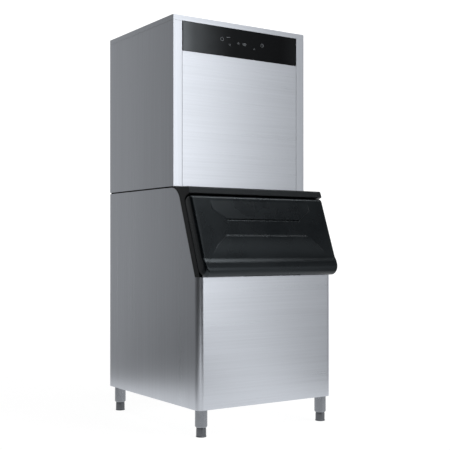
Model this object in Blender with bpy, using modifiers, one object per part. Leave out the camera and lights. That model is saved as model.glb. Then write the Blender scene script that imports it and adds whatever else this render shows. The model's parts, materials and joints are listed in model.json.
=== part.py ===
"""A flake ice maker: an ice-making head standing on an insulated storage bin with a flip-up lid.

Metres, +Z up. X runs across the machine, -Y is its front. The floor is at Z = 0 and the origin is
under the middle of the whole machine. The auger column in the head is the most detailed mechanism.
"""

import math

import bmesh
import bpy
from mathutils import Matrix, Vector

# Driving dimensions of the whole machine
WIDTH = 0.560
HEAD_DEPTH = 0.480
HEAD_HEIGHT = 0.5825
BIN_DEPTH = 0.640
BIN_HEIGHT = 0.7325
LEG_HEIGHT = 0.090
SEAM_HEIGHT = 0.005
REAR_REACH = 0.018

# Clearances shared by all pieces, and how far a cut runs past what it cuts
GAP = 0.0003
RUNNING_GAP = 0.0006
OVERRUN = 0.010
WELD_DISTANCE = 0.00001

# Smoothness of round work
ARC_STEP = math.radians(18)
ROUND_SIDES = 20
SMALL_SIDES = 12
LEG_SIDES = 16
SMOOTH_ANGLE = math.radians(35)
FLAT_ANGLE = math.radians(0.5)

# Sheet metal and bin walls
SHEET = 0.001
PAN_SHEET = 0.0015
PANEL_SEAM = 0.0008
FOAM_WALL = 0.045
FOAM_FLOOR = 0.055
LINER_WALL = 0.003
LINER_CORNER = 0.025
SHELL_CORNER = 0.022
SHELL_RETURN = 0.018
LEDGE_WIDTH = 0.016

# Sloping door: its tilt, where its cut would meet the seam, and how far its foot hangs below the seam
DOOR_TILT = math.radians(20.5)
CUT_SETBACK = 0.027
CUT_ROUND = 0.060
DOOR_DROP = 0.2995
FRAME_THICKNESS = 0.0272
FRAME_FRONT_ROUND = 0.008
FRAME_TAIL = 0.002
FRAME_INNER_ROUND = 0.018
LID_THICKNESS = 0.0384
LID_GAP = 0.0015
LID_TOP = 0.0415
LID_TOP_GAP = 0.003
LID_BACK_ROUND = 0.0185
LID_TOP_ROUND = 0.014
LID_SIDE_GAP = 0.001
LID_WALL = 0.003
LID_EDGE_ROUND = 0.009
NOSE_ROUND = 0.024
NOSE_START = 0.260
NOSE_RAMP = 0.014
NOSE_SOLID = 0.026
EMBOSS = 0.004
EMBOSS_ROUND = 0.002
VISOR_START = 0.064
VISOR_END = 0.1292
VISOR_SHOULDER = 0.094
VISOR_TOP_MARGIN = 0.074
VISOR_FOOT_MARGIN = 0.127
GRIP_START = 0.189
GRIP_SHOULDER = 0.220
GRIP_TOP_MARGIN = 0.109
GRIP_SHOULDER_MARGIN = 0.071
GRIP_FOOT_MARGIN = 0.017
FINGER_MARGIN = 0.159
FINGER_WIDTH = 0.018
FINGER_DEPTH = 0.022
FINGER_SETBACK = 0.012
MOUTH_TOP = 0.0815
MOUTH_FOOT = 0.2795
MOUTH_SIDE_GAP = 0.0013
MOUTH_ROUND = 0.012
COLLAR_WALL = 0.0037
COLLAR_DEPTH = 0.055
BEAM_LIP_LENGTH = 0.034
BEAM_LIP_HEIGHT = 0.011
LID_OPENING = math.radians(95)

# Lid inner panel, its gasket and the hinge
INNER_PANEL = 0.0025
INNER_PANEL_STANDOFF = 0.0065
INNER_PANEL_TOP_LAP = 0.0165
INNER_PANEL_FOOT_LAP = 0.014
INNER_PANEL_MARGIN = 0.0005
PLUG_TOP_MARGIN = 0.0165
PLUG_FOOT_MARGIN = 0.0135
PLUG_MARGIN = 0.016
PLUG_RISE = 0.0145
PLUG_TAPER = 0.012
GASKET_TOP_LAP = 0.015
GASKET_FOOT_LAP = 0.0115
GASKET_REACH = 0.029
GASKET_BAND = 0.011
EAR_THICKNESS = 0.010
EAR_INSET = 0.008
EAR_ROUND = 0.009
EAR_NECK = 0.007
EAR_SLOT_GAP = 0.002
HINGE_PIN_RADIUS = 0.004
HINGE_PIN_LENGTH = 0.0205
HINGE_BOSS_RADIUS = 0.008
HINGE_BOSS_LENGTH = 0.0025
HINGE_PIN_END_GAP = 0.0005

# Seam gasket, bin drain and ice level sensor
SEAM_BAND = 0.016
SEAM_INSET = 0.003
DRAIN_RADIUS = 0.013
DRAIN_BORE = 0.009
DRAIN_FLANGE_RADIUS = 0.0185
DRAIN_FLANGE = 0.004
DRAIN_ABOVE_FLOOR = 0.020
SENSOR_RADIUS = 0.005
SENSOR_DROP = 0.060
SENSOR_FROM_BACK = 0.120
SENSOR_BRACKET_LENGTH = 0.012
SENSOR_LENGTH = 0.150

# Legs and feet
LEG_INSET = 0.029
LEG_RADIUS = 0.0205
LEG_FOOT_RADIUS = 0.0175
LEG_CHAMFER = 0.004
SLEEVE_HEIGHT = 0.059
LEG_STUD_RADIUS = 0.007
LEG_STUD_HEIGHT = 0.018
SOCKET_RADIUS = 0.015
SOCKET_HEIGHT = 0.022
FOOT_STUD_RADIUS = 0.006
FOOT_STUD_HEIGHT = 0.026
FOOT_WAIST_RADIUS = 0.0155
FOOT_RADIUS = 0.0165
FOOT_PAD_RADIUS = 0.0175
FOOT_PAD_HEIGHT = 0.004
FOOT_SHOULDER = 0.005
FOOT_TRAVEL = 0.020

# Head casing
COVER_SKIRT = 0.018
STILE_WIDTH = 0.0345
PANEL_RETURN = 0.015
DISPLAY_HEIGHT = 0.101
DISPLAY_MARGIN = 0.003
DISPLAY_GLASS = 0.004
DISPLAY_PROUD = 0.0005
DISPLAY_HOUSING_DEPTH = 0.016
DISPLAY_HOUSING_MARGIN = 0.012
RAIL_HEIGHT = 0.028
RAIL_DEPTH = 0.016
BOARD_WIDTH = 0.180
BOARD_HEIGHT = 0.066
BOARD_THICKNESS = 0.0016
BOARD_STANDOFF = 0.008
PAN_RIM = 0.020
DIVIDER_FROM_COLUMN = 0.120
DIVIDER_FRONT = 0.036
DIVIDER_TOP_GAP = 0.004
DIVIDER_FOLD = 0.014

# Louvres: slots with hoods pressed out of the sheet
LOUVRE_LENGTH = 0.170
LOUVRE_PITCH = 0.022
LOUVRE_HEIGHT = 0.009
LOUVRE_REACH = 0.006
LOUVRE_SHEET = 0.0008
BACK_LOUVRE_ROWS = 8
BACK_LOUVRE_COLUMN = 0.142
BACK_LOUVRE_FOOT = 0.372
SIDE_LOUVRE_ROWS = 12
SIDE_LOUVRE_FOOT = 0.060

# Electrical box and inlet gland
BOX_WIDTH = 0.215
BOX_DEPTH = 0.075
BOX_HEIGHT = 0.100
BOX_FRONT = 0.040
BOX_FOOT = 0.335
BOX_COVER = 0.0015
BOX_COVER_LIP = 0.008
GLAND_FROM_SIDE = 0.090
GLAND_Z = 0.060
GLAND_RADIUS = 0.012
GLAND_NUT_RADIUS = 0.016
GLAND_NUT = 0.006
GLAND_BORE = 0.005

# Compressor on its four grommets
COMPRESSOR_RADIUS = 0.078
COMPRESSOR_HEIGHT = 0.205
COMPRESSOR_FROM_BACK = 0.098
COMPRESSOR_SIDE_GAP = 0.012
COMPRESSOR_SEAM = 0.003
COMPRESSOR_SEAM_HEIGHT = 0.012
PLATE_LENGTH = 0.170
PLATE_WIDTH = 0.110
PLATE_THICKNESS = 0.003
GROMMET_HEIGHT = 0.018
GROMMET_RADIUS = 0.012
GROMMET_NECK_RADIUS = 0.008
GROMMET_NECK_HEIGHT = 0.005
GROMMET_INSET = 0.014
TERMINAL_WIDTH = 0.050
TERMINAL_DEPTH = 0.026
TERMINAL_HEIGHT = 0.060
TERMINAL_FOOT = 0.095

# Condenser, shroud and fan
COIL_THICKNESS = 0.036
COIL_LENGTH = 0.300
COIL_HEIGHT = 0.300
COIL_FRONT = 0.060
COIL_FOOT = 0.030
COIL_SIDE_GAP = 0.014
COIL_PLATE = 0.002
FIN_PITCH = 0.012
FIN_THICKNESS = 0.005
FIN_DEPTH = 0.005
BEND_COUNT = 5
BEND_TUBE_RADIUS = 0.0045
BEND_RADIUS = 0.0125
SHROUD_SHEET = 0.002
SHROUD_DEPTH = 0.026
SHROUD_RADIUS = 0.126
SHROUD_WALL = 0.003
FAN_RADIUS = 0.118
FAN_BLADES = 5
FAN_WIDTH = 0.020
FAN_BLADE_THICKNESS = 0.002
FAN_BLADE_PITCH = math.radians(26)
FAN_BLADE_SPAN = math.radians(48)
FAN_HUB_RADIUS = 0.024
FAN_SHAFT_RADIUS = 0.004
FAN_SHAFT_LENGTH = 0.014
FAN_MOTOR_RADIUS = 0.036
FAN_MOTOR_LENGTH = 0.056
FAN_MOTOR_GAP = 0.006
MOTOR_ARM_RADIUS = 0.003

# Refrigerant piping
DRIER_RADIUS = 0.010
DRIER_LENGTH = 0.110
DRIER_NECK_RADIUS = 0.004
DRIER_FOOT = 0.150
DRIER_FROM_BACK = 0.030
DRIER_CLIP = 0.004
TUBE_RADIUS = 0.004
SUCTION_RADIUS = 0.006
TUBE_BEND = 0.018
VALVE_BODY_RADIUS = 0.009
VALVE_BODY_LENGTH = 0.040
VALVE_DOME_RADIUS = 0.017
VALVE_DOME = 0.012

# Auger column: gearbox, barrel, auger, breaker head and chute
COLUMN_FROM_SIDE = 0.120
COLUMN_Y = 0.290
GEARBOX_SIZE = 0.140
GEARBOX_HEIGHT = 0.078
GEARBOX_ROUND = 0.012
GEARBOX_NECK_RADIUS = 0.052
GEARBOX_NECK = 0.008
SPIGOT_RADIUS = 0.012
SPIGOT_DEPTH = 0.030
MOTOR_RADIUS = 0.040
MOTOR_LENGTH = 0.090
MOTOR_FLANGE_RADIUS = 0.046
MOTOR_FLANGE = 0.008
BARREL_BORE = 0.045
BARREL_JACKET = 0.064
BARREL_FLANGE_RADIUS = 0.058
BARREL_FLANGE = 0.010
BARREL_HEIGHT = 0.260
BARREL_PORT_RADIUS = 0.010
BARREL_PORT_REACH = 0.078
FEED_PORT_RISE = 0.040
AUGER_SHAFT_RADIUS = 0.017
AUGER_RADIUS = 0.0442
AUGER_PITCH = 0.046
AUGER_TURNS = 5
AUGER_STEPS = 16
AUGER_ROOT = 0.006
AUGER_EDGE = 0.003
AUGER_START = 0.014
JOURNAL_RADIUS = 0.010
JOURNAL_HEIGHT = 0.018
HEAD_RADIUS = 0.058
HEAD_BODY_HEIGHT = 0.062
HEAD_ROOF = 0.012
BEARING_RADIUS = 0.022
BEARING_HEIGHT = 0.012
BREAKER_RIBS = 6
BREAKER_RIB = 0.006
BREAKER_RIB_DEPTH = 0.007
SPOUT_WIDTH = 0.078
SPOUT_HEIGHT = 0.042
SPOUT_WALL = 0.004
SPOUT_REACH = 0.078
CHUTE_WIDTH = 0.110
CHUTE_WALL = 0.0025
CHUTE_FRONT = 0.060
CHUTE_LENGTH = 0.110
CHUTE_SLOPE = 0.060
CHUTE_ROOF_RISE = 0.014
CHUTE_CLAMP = 0.012

# Water side: reservoir, float, hose and inlet
TANK_WIDTH = 0.186
TANK_DEPTH = 0.074
TANK_HEIGHT = 0.095
TANK_FOOT = 0.262
TANK_BACK_GAP = 0.012
TANK_SIDE_GAP = 0.012
TANK_WALL = 0.003
TANK_ROUND = 0.008
TANK_BRACKET_INSET = 0.030
FLOAT_RADIUS = 0.019
FLOAT_LENGTH = 0.042
FLOAT_ARM_LENGTH = 0.096
FLOAT_ARM_RADIUS = 0.002
FLOAT_PIVOT_RADIUS = 0.005
FLOAT_PIVOT_INSET = 0.020
FLOAT_PIVOT_DROP = 0.018
FLOAT_PIN_RADIUS = 0.002
FLOAT_EYE_WIDTH = 0.008
FLOAT_RISE = math.radians(14)
FLOAT_HANG = math.radians(18)
FLOAT_CHEEK = 0.003
HOSE_RADIUS = 0.008
HOSE_BEND = 0.022
HOSE_STUB_RADIUS = 0.007
HOSE_STUB = 0.012
INLET_RADIUS = 0.012
INLET_NUT_RADIUS = 0.017
INLET_NUT = 0.008
INLET_BORE = 0.006
INLET_FROM_SIDE = 0.034
INLET_Z = 0.335

# Where the flat outlines of a few pieces narrow, as shares of their own size
CHEEK_SHARE = 0.5
WIRE_ROOT_SHARE = 0.8
TERMINAL_ROUND_SHARE = 0.2
DOME_SHARES = ((0.0, 1.0), (0.45, 0.97), (0.80, 0.86), (1.0, 0.62))

FINISHES = {
    "steel": ((0.62, 0.63, 0.64), 0.32, 1.0),
    "galvanised": ((0.55, 0.56, 0.57), 0.45, 1.0),
    "black_plastic": ((0.012, 0.013, 0.014), 0.45, 0.0),
    "charcoal_plastic": ((0.028, 0.031, 0.034), 0.42, 0.0),
    "display_black": ((0.008, 0.008, 0.009), 0.08, 0.0),
    "rubber": ((0.02, 0.02, 0.02), 0.8, 0.0),
    "foam": ((0.85, 0.78, 0.55), 0.9, 0.0),
    "white_plastic": ((0.85, 0.87, 0.88), 0.4, 0.0),
    "compressor_black": ((0.015, 0.015, 0.016), 0.35, 0.0),
    "copper": ((0.72, 0.36, 0.22), 0.3, 1.0),
    "aluminium": ((0.75, 0.76, 0.77), 0.4, 1.0),
    "cast_grey": ((0.35, 0.37, 0.38), 0.55, 0.0),
    "brass": ((0.75, 0.58, 0.28), 0.35, 1.0),
    "board_green": ((0.02, 0.16, 0.06), 0.5, 0.0),
    "blue_plastic": ((0.05, 0.16, 0.42), 0.45, 0.0),
}


def rounded(corners):
    """The outline through (a, b, radius) corners, each with a radius turned into an arc."""
    points = []
    for index, (a, b, radius) in enumerate(corners):
        here = Vector((a, b))
        if radius == 0:
            points.append(here)
            continue
        before = Vector(corners[index - 1][:2])
        after = Vector(corners[(index + 1) % len(corners)][:2])
        to_before = (before - here).normalized()
        to_after = (after - here).normalized()
        half = to_before.angle(to_after) / 2
        centre = here + (to_before + to_after).normalized() * radius / math.sin(half)
        start = here + to_before * radius / math.tan(half) - centre
        turn = math.pi - 2 * half
        if to_before.cross(to_after) > 0:
            turn = -turn
        steps = max(1, math.ceil(abs(turn) / ARC_STEP))
        for step in range(steps + 1):
            points.append(centre + Matrix.Rotation(turn * step / steps, 2) @ start)
    return [(point.x, point.y) for point in points]


def box_outline(low_a, low_b, high_a, high_b, radius=0.0):
    """A rectangle's outline, its corners rounded by radius."""
    corners = ((low_a, low_b), (high_a, low_b), (high_a, high_b), (low_a, high_b))
    return rounded([(a, b, radius) for a, b in corners])


# Levels, from the floor up
BIN_FOOT = LEG_HEIGHT
BIN_TOP = BIN_FOOT + BIN_HEIGHT
HEAD_FOOT = BIN_TOP + SEAM_HEIGHT
HEAD_TOP = HEAD_FOOT + HEAD_HEIGHT
PAN_FLOOR = HEAD_FOOT + PAN_SHEET

# Where the lid's inner pieces end round the mouth
INNER_PANEL_TOP = MOUTH_TOP - INNER_PANEL_TOP_LAP
INNER_PANEL_FOOT = MOUTH_FOOT + INNER_PANEL_FOOT_LAP
PLUG_TOP = MOUTH_TOP + PLUG_TOP_MARGIN
PLUG_FOOT = MOUTH_FOOT - PLUG_FOOT_MARGIN
GASKET_TOP = MOUTH_TOP - GASKET_TOP_LAP
GASKET_FOOT = MOUTH_FOOT + GASKET_FOOT_LAP

HALF = WIDTH / 2
COLUMN_X = -HALF + COLUMN_FROM_SIDE
DIVIDER_X = COLUMN_X + DIVIDER_FROM_COLUMN
INSIDE = HALF - SHEET - GAP


def door_offset(down, out):
    """A point on the door's section, down its slope and out of its frame's face, from the head's front at BIN_TOP."""
    sine, cosine = math.sin(DOOR_TILT), math.cos(DOOR_TILT)
    face = -CUT_SETBACK - FRAME_THICKNESS / cosine
    return face - down * sine - out * cosine, -down * cosine + out * sine


def down_at_drop(out, drop):
    """How far down the slope a point of the door's section lies that is this far below BIN_TOP."""
    return (drop + out * math.sin(DOOR_TILT)) / math.cos(DOOR_TILT)


def lid_corners(inset, back, nose_drop):
    """Corners of the lid's section, inset by a wall: (down, out, radius)."""
    face = LID_THICKNESS - inset
    nose = face + EMBOSS
    return [
        (LID_TOP + inset, back, max(LID_BACK_ROUND - inset, 0)),
        (LID_TOP + inset, face, LID_TOP_ROUND - inset),
        (NOSE_START, face, NOSE_ROUND),
        (NOSE_START + NOSE_RAMP, nose, NOSE_ROUND),
        (down_at_drop(nose, nose_drop), nose, NOSE_ROUND - inset),
        (down_at_drop(back, nose_drop), back, 0.0),
    ]


def door_section(corners):
    """Door corners (down, out, radius) turned into an outline of offsets (y, z)."""
    return rounded([(*door_offset(down, out), radius) for down, out, radius in corners])


LID_REACH = -min(y for y, z in door_section(lid_corners(0.0, LID_GAP, DOOR_DROP)))
HEAD_FRONT = LID_REACH - (LID_REACH + HEAD_DEPTH + REAR_REACH) / 2
BACK = HEAD_FRONT + HEAD_DEPTH
BIN_FRONT = BACK - BIN_DEPTH
PIVOT_DOWN = LID_TOP + LID_BACK_ROUND
PIVOT_OUT = LID_GAP + LID_BACK_ROUND

# How a flat outline stands: across X it is a side view, across Y a front view, across Z a plan
SIDE = Matrix(((0, 0, 1, 0), (1, 0, 0, 0), (0, 1, 0, 0), (0, 0, 0, 1)))
FRONT = Matrix(((1, 0, 0, 0), (0, 0, -1, 0), (0, 1, 0, 0), (0, 0, 0, 1)))
PLAN = Matrix.Identity(4)
DOOR = (
    Matrix.Translation((0, HEAD_FRONT + door_offset(0, 0)[0], BIN_TOP))
    @ Matrix.Rotation(-DOOR_TILT, 4, "X")
    @ FRONT
)


def door_point(down, out):
    """World (y, z) of a point on the door's section."""
    y, z = door_offset(down, out)
    return HEAD_FRONT + y, BIN_TOP + z


def door_outline(corners):
    """World side-view outline of door corners (down, out, radius)."""
    return [(HEAD_FRONT + y, BIN_TOP + z) for y, z in door_section(corners)]


def clear_scene():
    for item in list(bpy.data.objects):
        bpy.data.objects.remove(item, do_unlink=True)


def collection(name):
    made = bpy.data.collections.new(name)
    bpy.context.scene.collection.children.link(made)
    return made


def finish_material(key):
    """The Principled material of a finish, made once."""
    if key in bpy.data.materials:
        return bpy.data.materials[key]
    colour, roughness, metallic = FINISHES[key]
    material = bpy.data.materials.new(key)
    material.use_nodes = True
    shader = material.node_tree.nodes["Principled BSDF"]
    shader.inputs["Base Color"].default_value = (*colour, 1.0)
    shader.inputs["Roughness"].default_value = roughness
    shader.inputs["Metallic"].default_value = metallic
    material.diffuse_color = (*colour, 1.0)
    return material


def add_object(name, mesh, finish, place=None):
    """A part with its finish, placed in the machine's collection."""
    item = bpy.data.objects.new(name, mesh)
    PARTS.objects.link(item)
    if finish:
        mesh.materials.append(finish_material(finish))
    if place is not None:
        item.matrix_world = place
    return item


def mesh_from(name, work):
    """A Blender mesh from a bmesh, shaded smooth where it is round."""
    mesh = bpy.data.meshes.new(name)
    work.to_mesh(mesh)
    work.free()
    mesh.shade_smooth()
    mesh.set_sharp_from_angle(angle=SMOOTH_ANGLE)
    return mesh


def box(name, low, high, finish=None):
    """A plain box between two corners."""
    size = Vector(high) - Vector(low)
    work = bmesh.new()
    bmesh.ops.create_cube(work, size=1, matrix=Matrix.Diagonal((*size, 1)))
    middle = (Vector(low) + Vector(high)) / 2
    return add_object(name, mesh_from(name, work), finish, Matrix.Translation(middle))


def rod(name, start, end, radius, finish=None, end_radius=None, sides=ROUND_SIDES):
    """A cylinder or cone between two points."""
    start, end = Vector(start), Vector(end)
    work = bmesh.new()
    bmesh.ops.create_cone(
        work,
        cap_ends=True,
        segments=sides,
        radius1=radius,
        radius2=radius if end_radius is None else end_radius,
        depth=(end - start).length,
    )
    turn = Vector((0, 0, 1)).rotation_difference(end - start).to_matrix().to_4x4()
    place = Matrix.Translation((start + end) / 2) @ turn
    return add_object(name, mesh_from(name, work), finish, place)


def plate(name, loops, low, high, stand, finish=None):
    """A flat outline, with any holes, given thickness from low to high across the way it stands."""
    curve = bpy.data.curves.new(name, "CURVE")
    curve.dimensions = "2D"
    curve.fill_mode = "BOTH"
    curve.extrude = (high - low) / 2
    for loop in loops:
        spline = curve.splines.new("POLY")
        spline.points.add(len(loop) - 1)
        for point, (a, b) in zip(spline.points, loop):
            point.co = (a, b, 0, 1)
        spline.use_cyclic_u = True
    guide = bpy.data.objects.new(name, curve)
    PARTS.objects.link(guide)
    mesh = bpy.data.meshes.new_from_object(guide.evaluated_get(bpy.context.evaluated_depsgraph_get()))
    bpy.data.objects.remove(guide)
    bpy.data.curves.remove(curve)
    work = bmesh.new()
    work.from_mesh(mesh)
    bpy.data.meshes.remove(mesh)
    bmesh.ops.remove_doubles(work, verts=work.verts, dist=WELD_DISTANCE)
    bmesh.ops.recalc_face_normals(work, faces=work.faces)
    bmesh.ops.dissolve_limit(work, angle_limit=FLAT_ANGLE, verts=work.verts, edges=work.edges)
    place = stand @ Matrix.Translation((0, 0, (low + high) / 2))
    return add_object(name, mesh_from(name, work), finish, place)


def turned(name, profile, place, finish=None, closed=False, sides=ROUND_SIDES):
    """A profile of (radius, height) points, down its outer side, turned about the local Z axis."""
    work = bmesh.new()
    points = [work.verts.new((radius, 0, height)) for radius, height in profile]
    for first, second in zip(points, points[1:]):
        work.edges.new((first, second))
    if closed:
        work.edges.new((points[-1], points[0]))
    item = add_object(name, mesh_from(name, work), finish, place)
    screw = item.modifiers.new("Turn", "SCREW")
    screw.steps = sides
    screw.render_steps = sides
    screw.use_merge_vertices = True
    screw.merge_threshold = WELD_DISTANCE
    return item


def bent_route(points, radius):
    """The points of a tube's route, with each inner corner turned into an arc."""
    route = [Vector(points[0])]
    for before, here, after in zip(points, points[1:], points[2:]):
        here = Vector(here)
        to_before = (Vector(before) - here).normalized()
        to_after = (Vector(after) - here).normalized()
        half = to_before.angle(to_after) / 2
        centre = here + (to_before + to_after).normalized() * radius / math.sin(half)
        start = here + to_before * radius / math.tan(half) - centre
        axis = to_after.cross(to_before).normalized()
        turn = math.pi - 2 * half
        steps = max(2, math.ceil(turn / ARC_STEP / 2))
        for step in range(steps + 1):
            route.append(centre + Matrix.Rotation(turn * step / steps, 3, axis) @ start)
    route.append(Vector(points[-1]))
    return route


def pipe(name, points, radius, bend, finish=None, fineness=2):
    """A round tube or wire along a route."""
    curve = bpy.data.curves.new(name, "CURVE")
    curve.dimensions = "3D"
    curve.bevel_depth = radius
    curve.bevel_resolution = fineness
    curve.use_fill_caps = True
    route = bent_route(points, bend)
    spline = curve.splines.new("POLY")
    spline.points.add(len(route) - 1)
    for point, place in zip(spline.points, route):
        point.co = (*place, 1)
    guide = bpy.data.objects.new(name, curve)
    PARTS.objects.link(guide)
    mesh = bpy.data.meshes.new_from_object(guide.evaluated_get(bpy.context.evaluated_depsgraph_get()))
    bpy.data.objects.remove(guide)
    work = bmesh.new()
    work.from_mesh(mesh)
    bmesh.ops.remove_doubles(work, verts=work.verts, dist=WELD_DISTANCE)
    bmesh.ops.recalc_face_normals(work, faces=work.faces)
    return add_object(name, mesh_from(name, work), finish)


def sheet(name, path, low, high, inward, finish=None):
    """Folded sheet metal: an open plan path raised from low to high, its thickness on the inward side."""
    work = bmesh.new()
    points = [work.verts.new((x, y, low)) for x, y in path]
    edges = [work.edges.new(pair) for pair in zip(points, points[1:])]
    raised = bmesh.ops.extrude_edge_only(work, edges=edges)["geom"]
    tops = [item for item in raised if isinstance(item, bmesh.types.BMVert)]
    bmesh.ops.translate(work, verts=tops, vec=(0, 0, high - low))
    item = add_object(name, mesh_from(name, work), finish)
    wall = item.modifiers.new("Sheet", "SOLIDIFY")
    wall.thickness = SHEET
    wall.offset = inward
    wall.use_even_offset = True
    return item


def combine(target, operation, others):
    """Booleans of other solids on a target; the others become hidden guides."""
    for other in others:
        step = target.modifiers.new(other.name, "BOOLEAN")
        step.operation = operation
        step.solver = "EXACT"
        step.object = other
        for holder in list(other.users_collection):
            holder.objects.unlink(other)
        CUTTERS.objects.link(other)
        other.hide_render = True
        other.display_type = "WIRE"
        other.name = "guide_" + target.name + "_" + other.name


def cut(target, *others):
    combine(target, "DIFFERENCE", others)


def join(target, *others):
    combine(target, "UNION", others)


def bevel(item, width, segments=2, angle=None):
    """Rounded edges on a solid."""
    edge = item.modifiers.new("Edges", "BEVEL")
    edge.width = width
    edge.segments = segments
    edge.limit_method = "WEIGHT" if angle is None else "ANGLE"
    if angle is not None:
        edge.angle_limit = angle


def hang_on(item, name, point, direction):
    """Parent a moving piece to an empty that stands on its joint's axis."""
    axis = bpy.data.objects.get(name)
    if axis is None:
        axis = bpy.data.objects.new(name, None)
        PARTS.objects.link(axis)
        turn = Vector((0, 0, 1)).rotation_difference(Vector(direction)).to_matrix().to_4x4()
        axis.matrix_world = Matrix.Translation(point) @ turn
    bpy.context.view_layer.update()
    world = item.matrix_world.copy()
    item.parent = axis
    item.matrix_parent_inverse = axis.matrix_world.inverted()
    item.matrix_world = world


# Storage bin


def cut_line(lowered):
    """Corners of the side view's sloping cut, moved into the bin by an offset: foot, slope and rounded top."""
    cosine = math.cos(DOOR_TILT)
    top = BIN_TOP - lowered
    foot = BIN_TOP - DOOR_DROP - GAP - lowered
    setback = CUT_SETBACK - lowered / cosine
    slope_top = HEAD_FRONT - setback - (BIN_TOP - top) * math.tan(DOOR_TILT)
    slope_foot = HEAD_FRONT - setback - (BIN_TOP - foot) * math.tan(DOOR_TILT)
    return slope_top, top, slope_foot, foot


def door_cutter(name, lowered, width):
    """Everything in front of and above the sloping cut."""
    slope_top, top, slope_foot, foot = cut_line(lowered)
    ahead = BIN_FRONT - OVERRUN
    corners = [
        (ahead, foot, 0),
        (slope_foot, foot, 0),
        (slope_top, top, CUT_ROUND),
        (BACK + OVERRUN, top, 0),
        (BACK + OVERRUN, top + OVERRUN, 0),
        (ahead, top + OVERRUN, 0),
    ]
    return plate(name, [rounded(corners)], -width, width, SIDE)


def bin_side(name, lowered, width):
    """Everything below and behind the sloping cut."""
    slope_top, top, slope_foot, _ = cut_line(lowered)
    tangent = math.tan(DOOR_TILT)
    deep = BIN_TOP - DOOR_DROP - OVERRUN
    corners = [
        (slope_top - (top - deep) * tangent, deep, 0),
        (slope_top, top, CUT_ROUND),
        (BACK + OVERRUN, top, 0),
        (BACK + OVERRUN, deep, 0),
    ]
    return plate(name, [rounded(corners)], -width, width, SIDE)


def wrap_path(inset):
    """Plan path of the shell: back return, side, rounded corners, front, side, back return."""
    side, front, back = HALF - inset, BIN_FRONT + inset, BACK - inset
    corners = [
        (-side + SHELL_RETURN, back, 0),
        (-side, back, 0),
        (-side, front, SHELL_CORNER - inset),
        (side, front, SHELL_CORNER - inset),
        (side, back, 0),
        (side - SHELL_RETURN, back, 0),
    ]
    return rounded(corners)


def make_bin_shell():
    shell = sheet("bin_shell", wrap_path(0.0), BIN_FOOT, BIN_TOP, 1.0, "steel")
    cut(shell, door_cutter("slope", 0.0, HALF + OVERRUN))
    ledge_top = cut_line(0.0)[3]
    side = HALF - SHELL_CORNER
    ledge = box(
        "ledge",
        (-side, BIN_FRONT + SHEET / 2, ledge_top - SHEET),
        (side, BIN_FRONT + LEDGE_WIDTH, ledge_top),
    )
    join(shell, ledge)


def make_bin_back_panel():
    back = BACK - SHEET - GAP
    panel = box("bin_back_panel", (-INSIDE, back - SHEET, BIN_FOOT), (INSIDE, back, BIN_TOP), "galvanised")
    cut(panel, drain_hole("panel_drain_hole"))


def make_bin_base():
    """Bottom plate with a welded socket over each leg."""
    front = BIN_FRONT + SHEET + GAP
    back = BACK - 2 * SHEET - 2 * GAP
    corners = [
        (-INSIDE, front, SHELL_CORNER - SHEET),
        (INSIDE, front, SHELL_CORNER - SHEET),
        (INSIDE, back, 0),
        (-INSIDE, back, 0),
    ]
    base = plate("bin_base", [rounded(corners)], BIN_FOOT, BIN_FOOT + PAN_SHEET, PLAN, "galvanised")
    for index, (x, y) in enumerate(leg_places()):
        foot, top = BIN_FOOT + PAN_SHEET / 2, BIN_FOOT + SOCKET_HEIGHT
        join(base, rod(f"socket_{index}", (x, y, foot), (x, y, top), SOCKET_RADIUS, sides=SMALL_SIDES))
    for index, (x, y) in enumerate(leg_places()):
        top = BIN_FOOT + LEG_STUD_HEIGHT + GAP
        bore = LEG_STUD_RADIUS + GAP
        cut(base, rod(f"socket_bore_{index}", (x, y, BIN_FOOT - OVERRUN), (x, y, top), bore, sides=SMALL_SIDES))


def cavity_outline(grow, open_top):
    """Side view of the bin's inside grown by a wall; open it also takes the door's mouth and the top."""
    front = BIN_FRONT + SHEET + FOAM_WALL + LINER_WALL - grow
    back = BACK - SHEET - FOAM_WALL - LINER_WALL + grow
    floor = BIN_FOOT + FOAM_FLOOR + LINER_WALL - grow
    sill_down = MOUTH_FOOT + COLLAR_WALL + GAP
    tangent = math.tan(DOOR_TILT)
    sill_y, sill_z = door_point(sill_down, -FRAME_THICKNESS)
    rise = sill_z - (front - sill_y) * tangent
    if open_top:
        ahead = BIN_FRONT - OVERRUN
        return [
            (back, BIN_TOP + OVERRUN),
            (back, floor),
            (front, floor),
            (front, rise),
            (ahead, rise + (front - ahead) * tangent),
            (ahead, BIN_TOP + OVERRUN),
        ]
    slope_top, top, slope_foot, foot = cut_line(GAP)
    slope_z = BIN_TOP - (HEAD_FRONT - CUT_SETBACK + GAP - front) / tangent
    corners = [
        (back, top, 0),
        (back, floor, 0),
        (front, floor, 0),
        (front, slope_z, 0),
        (slope_top, top, CUT_ROUND),
    ]
    return rounded(corners)


def inner_half(grow):
    """Half the bin's inner width, grown by a wall."""
    return HALF - SHEET - FOAM_WALL - LINER_WALL + grow


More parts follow.
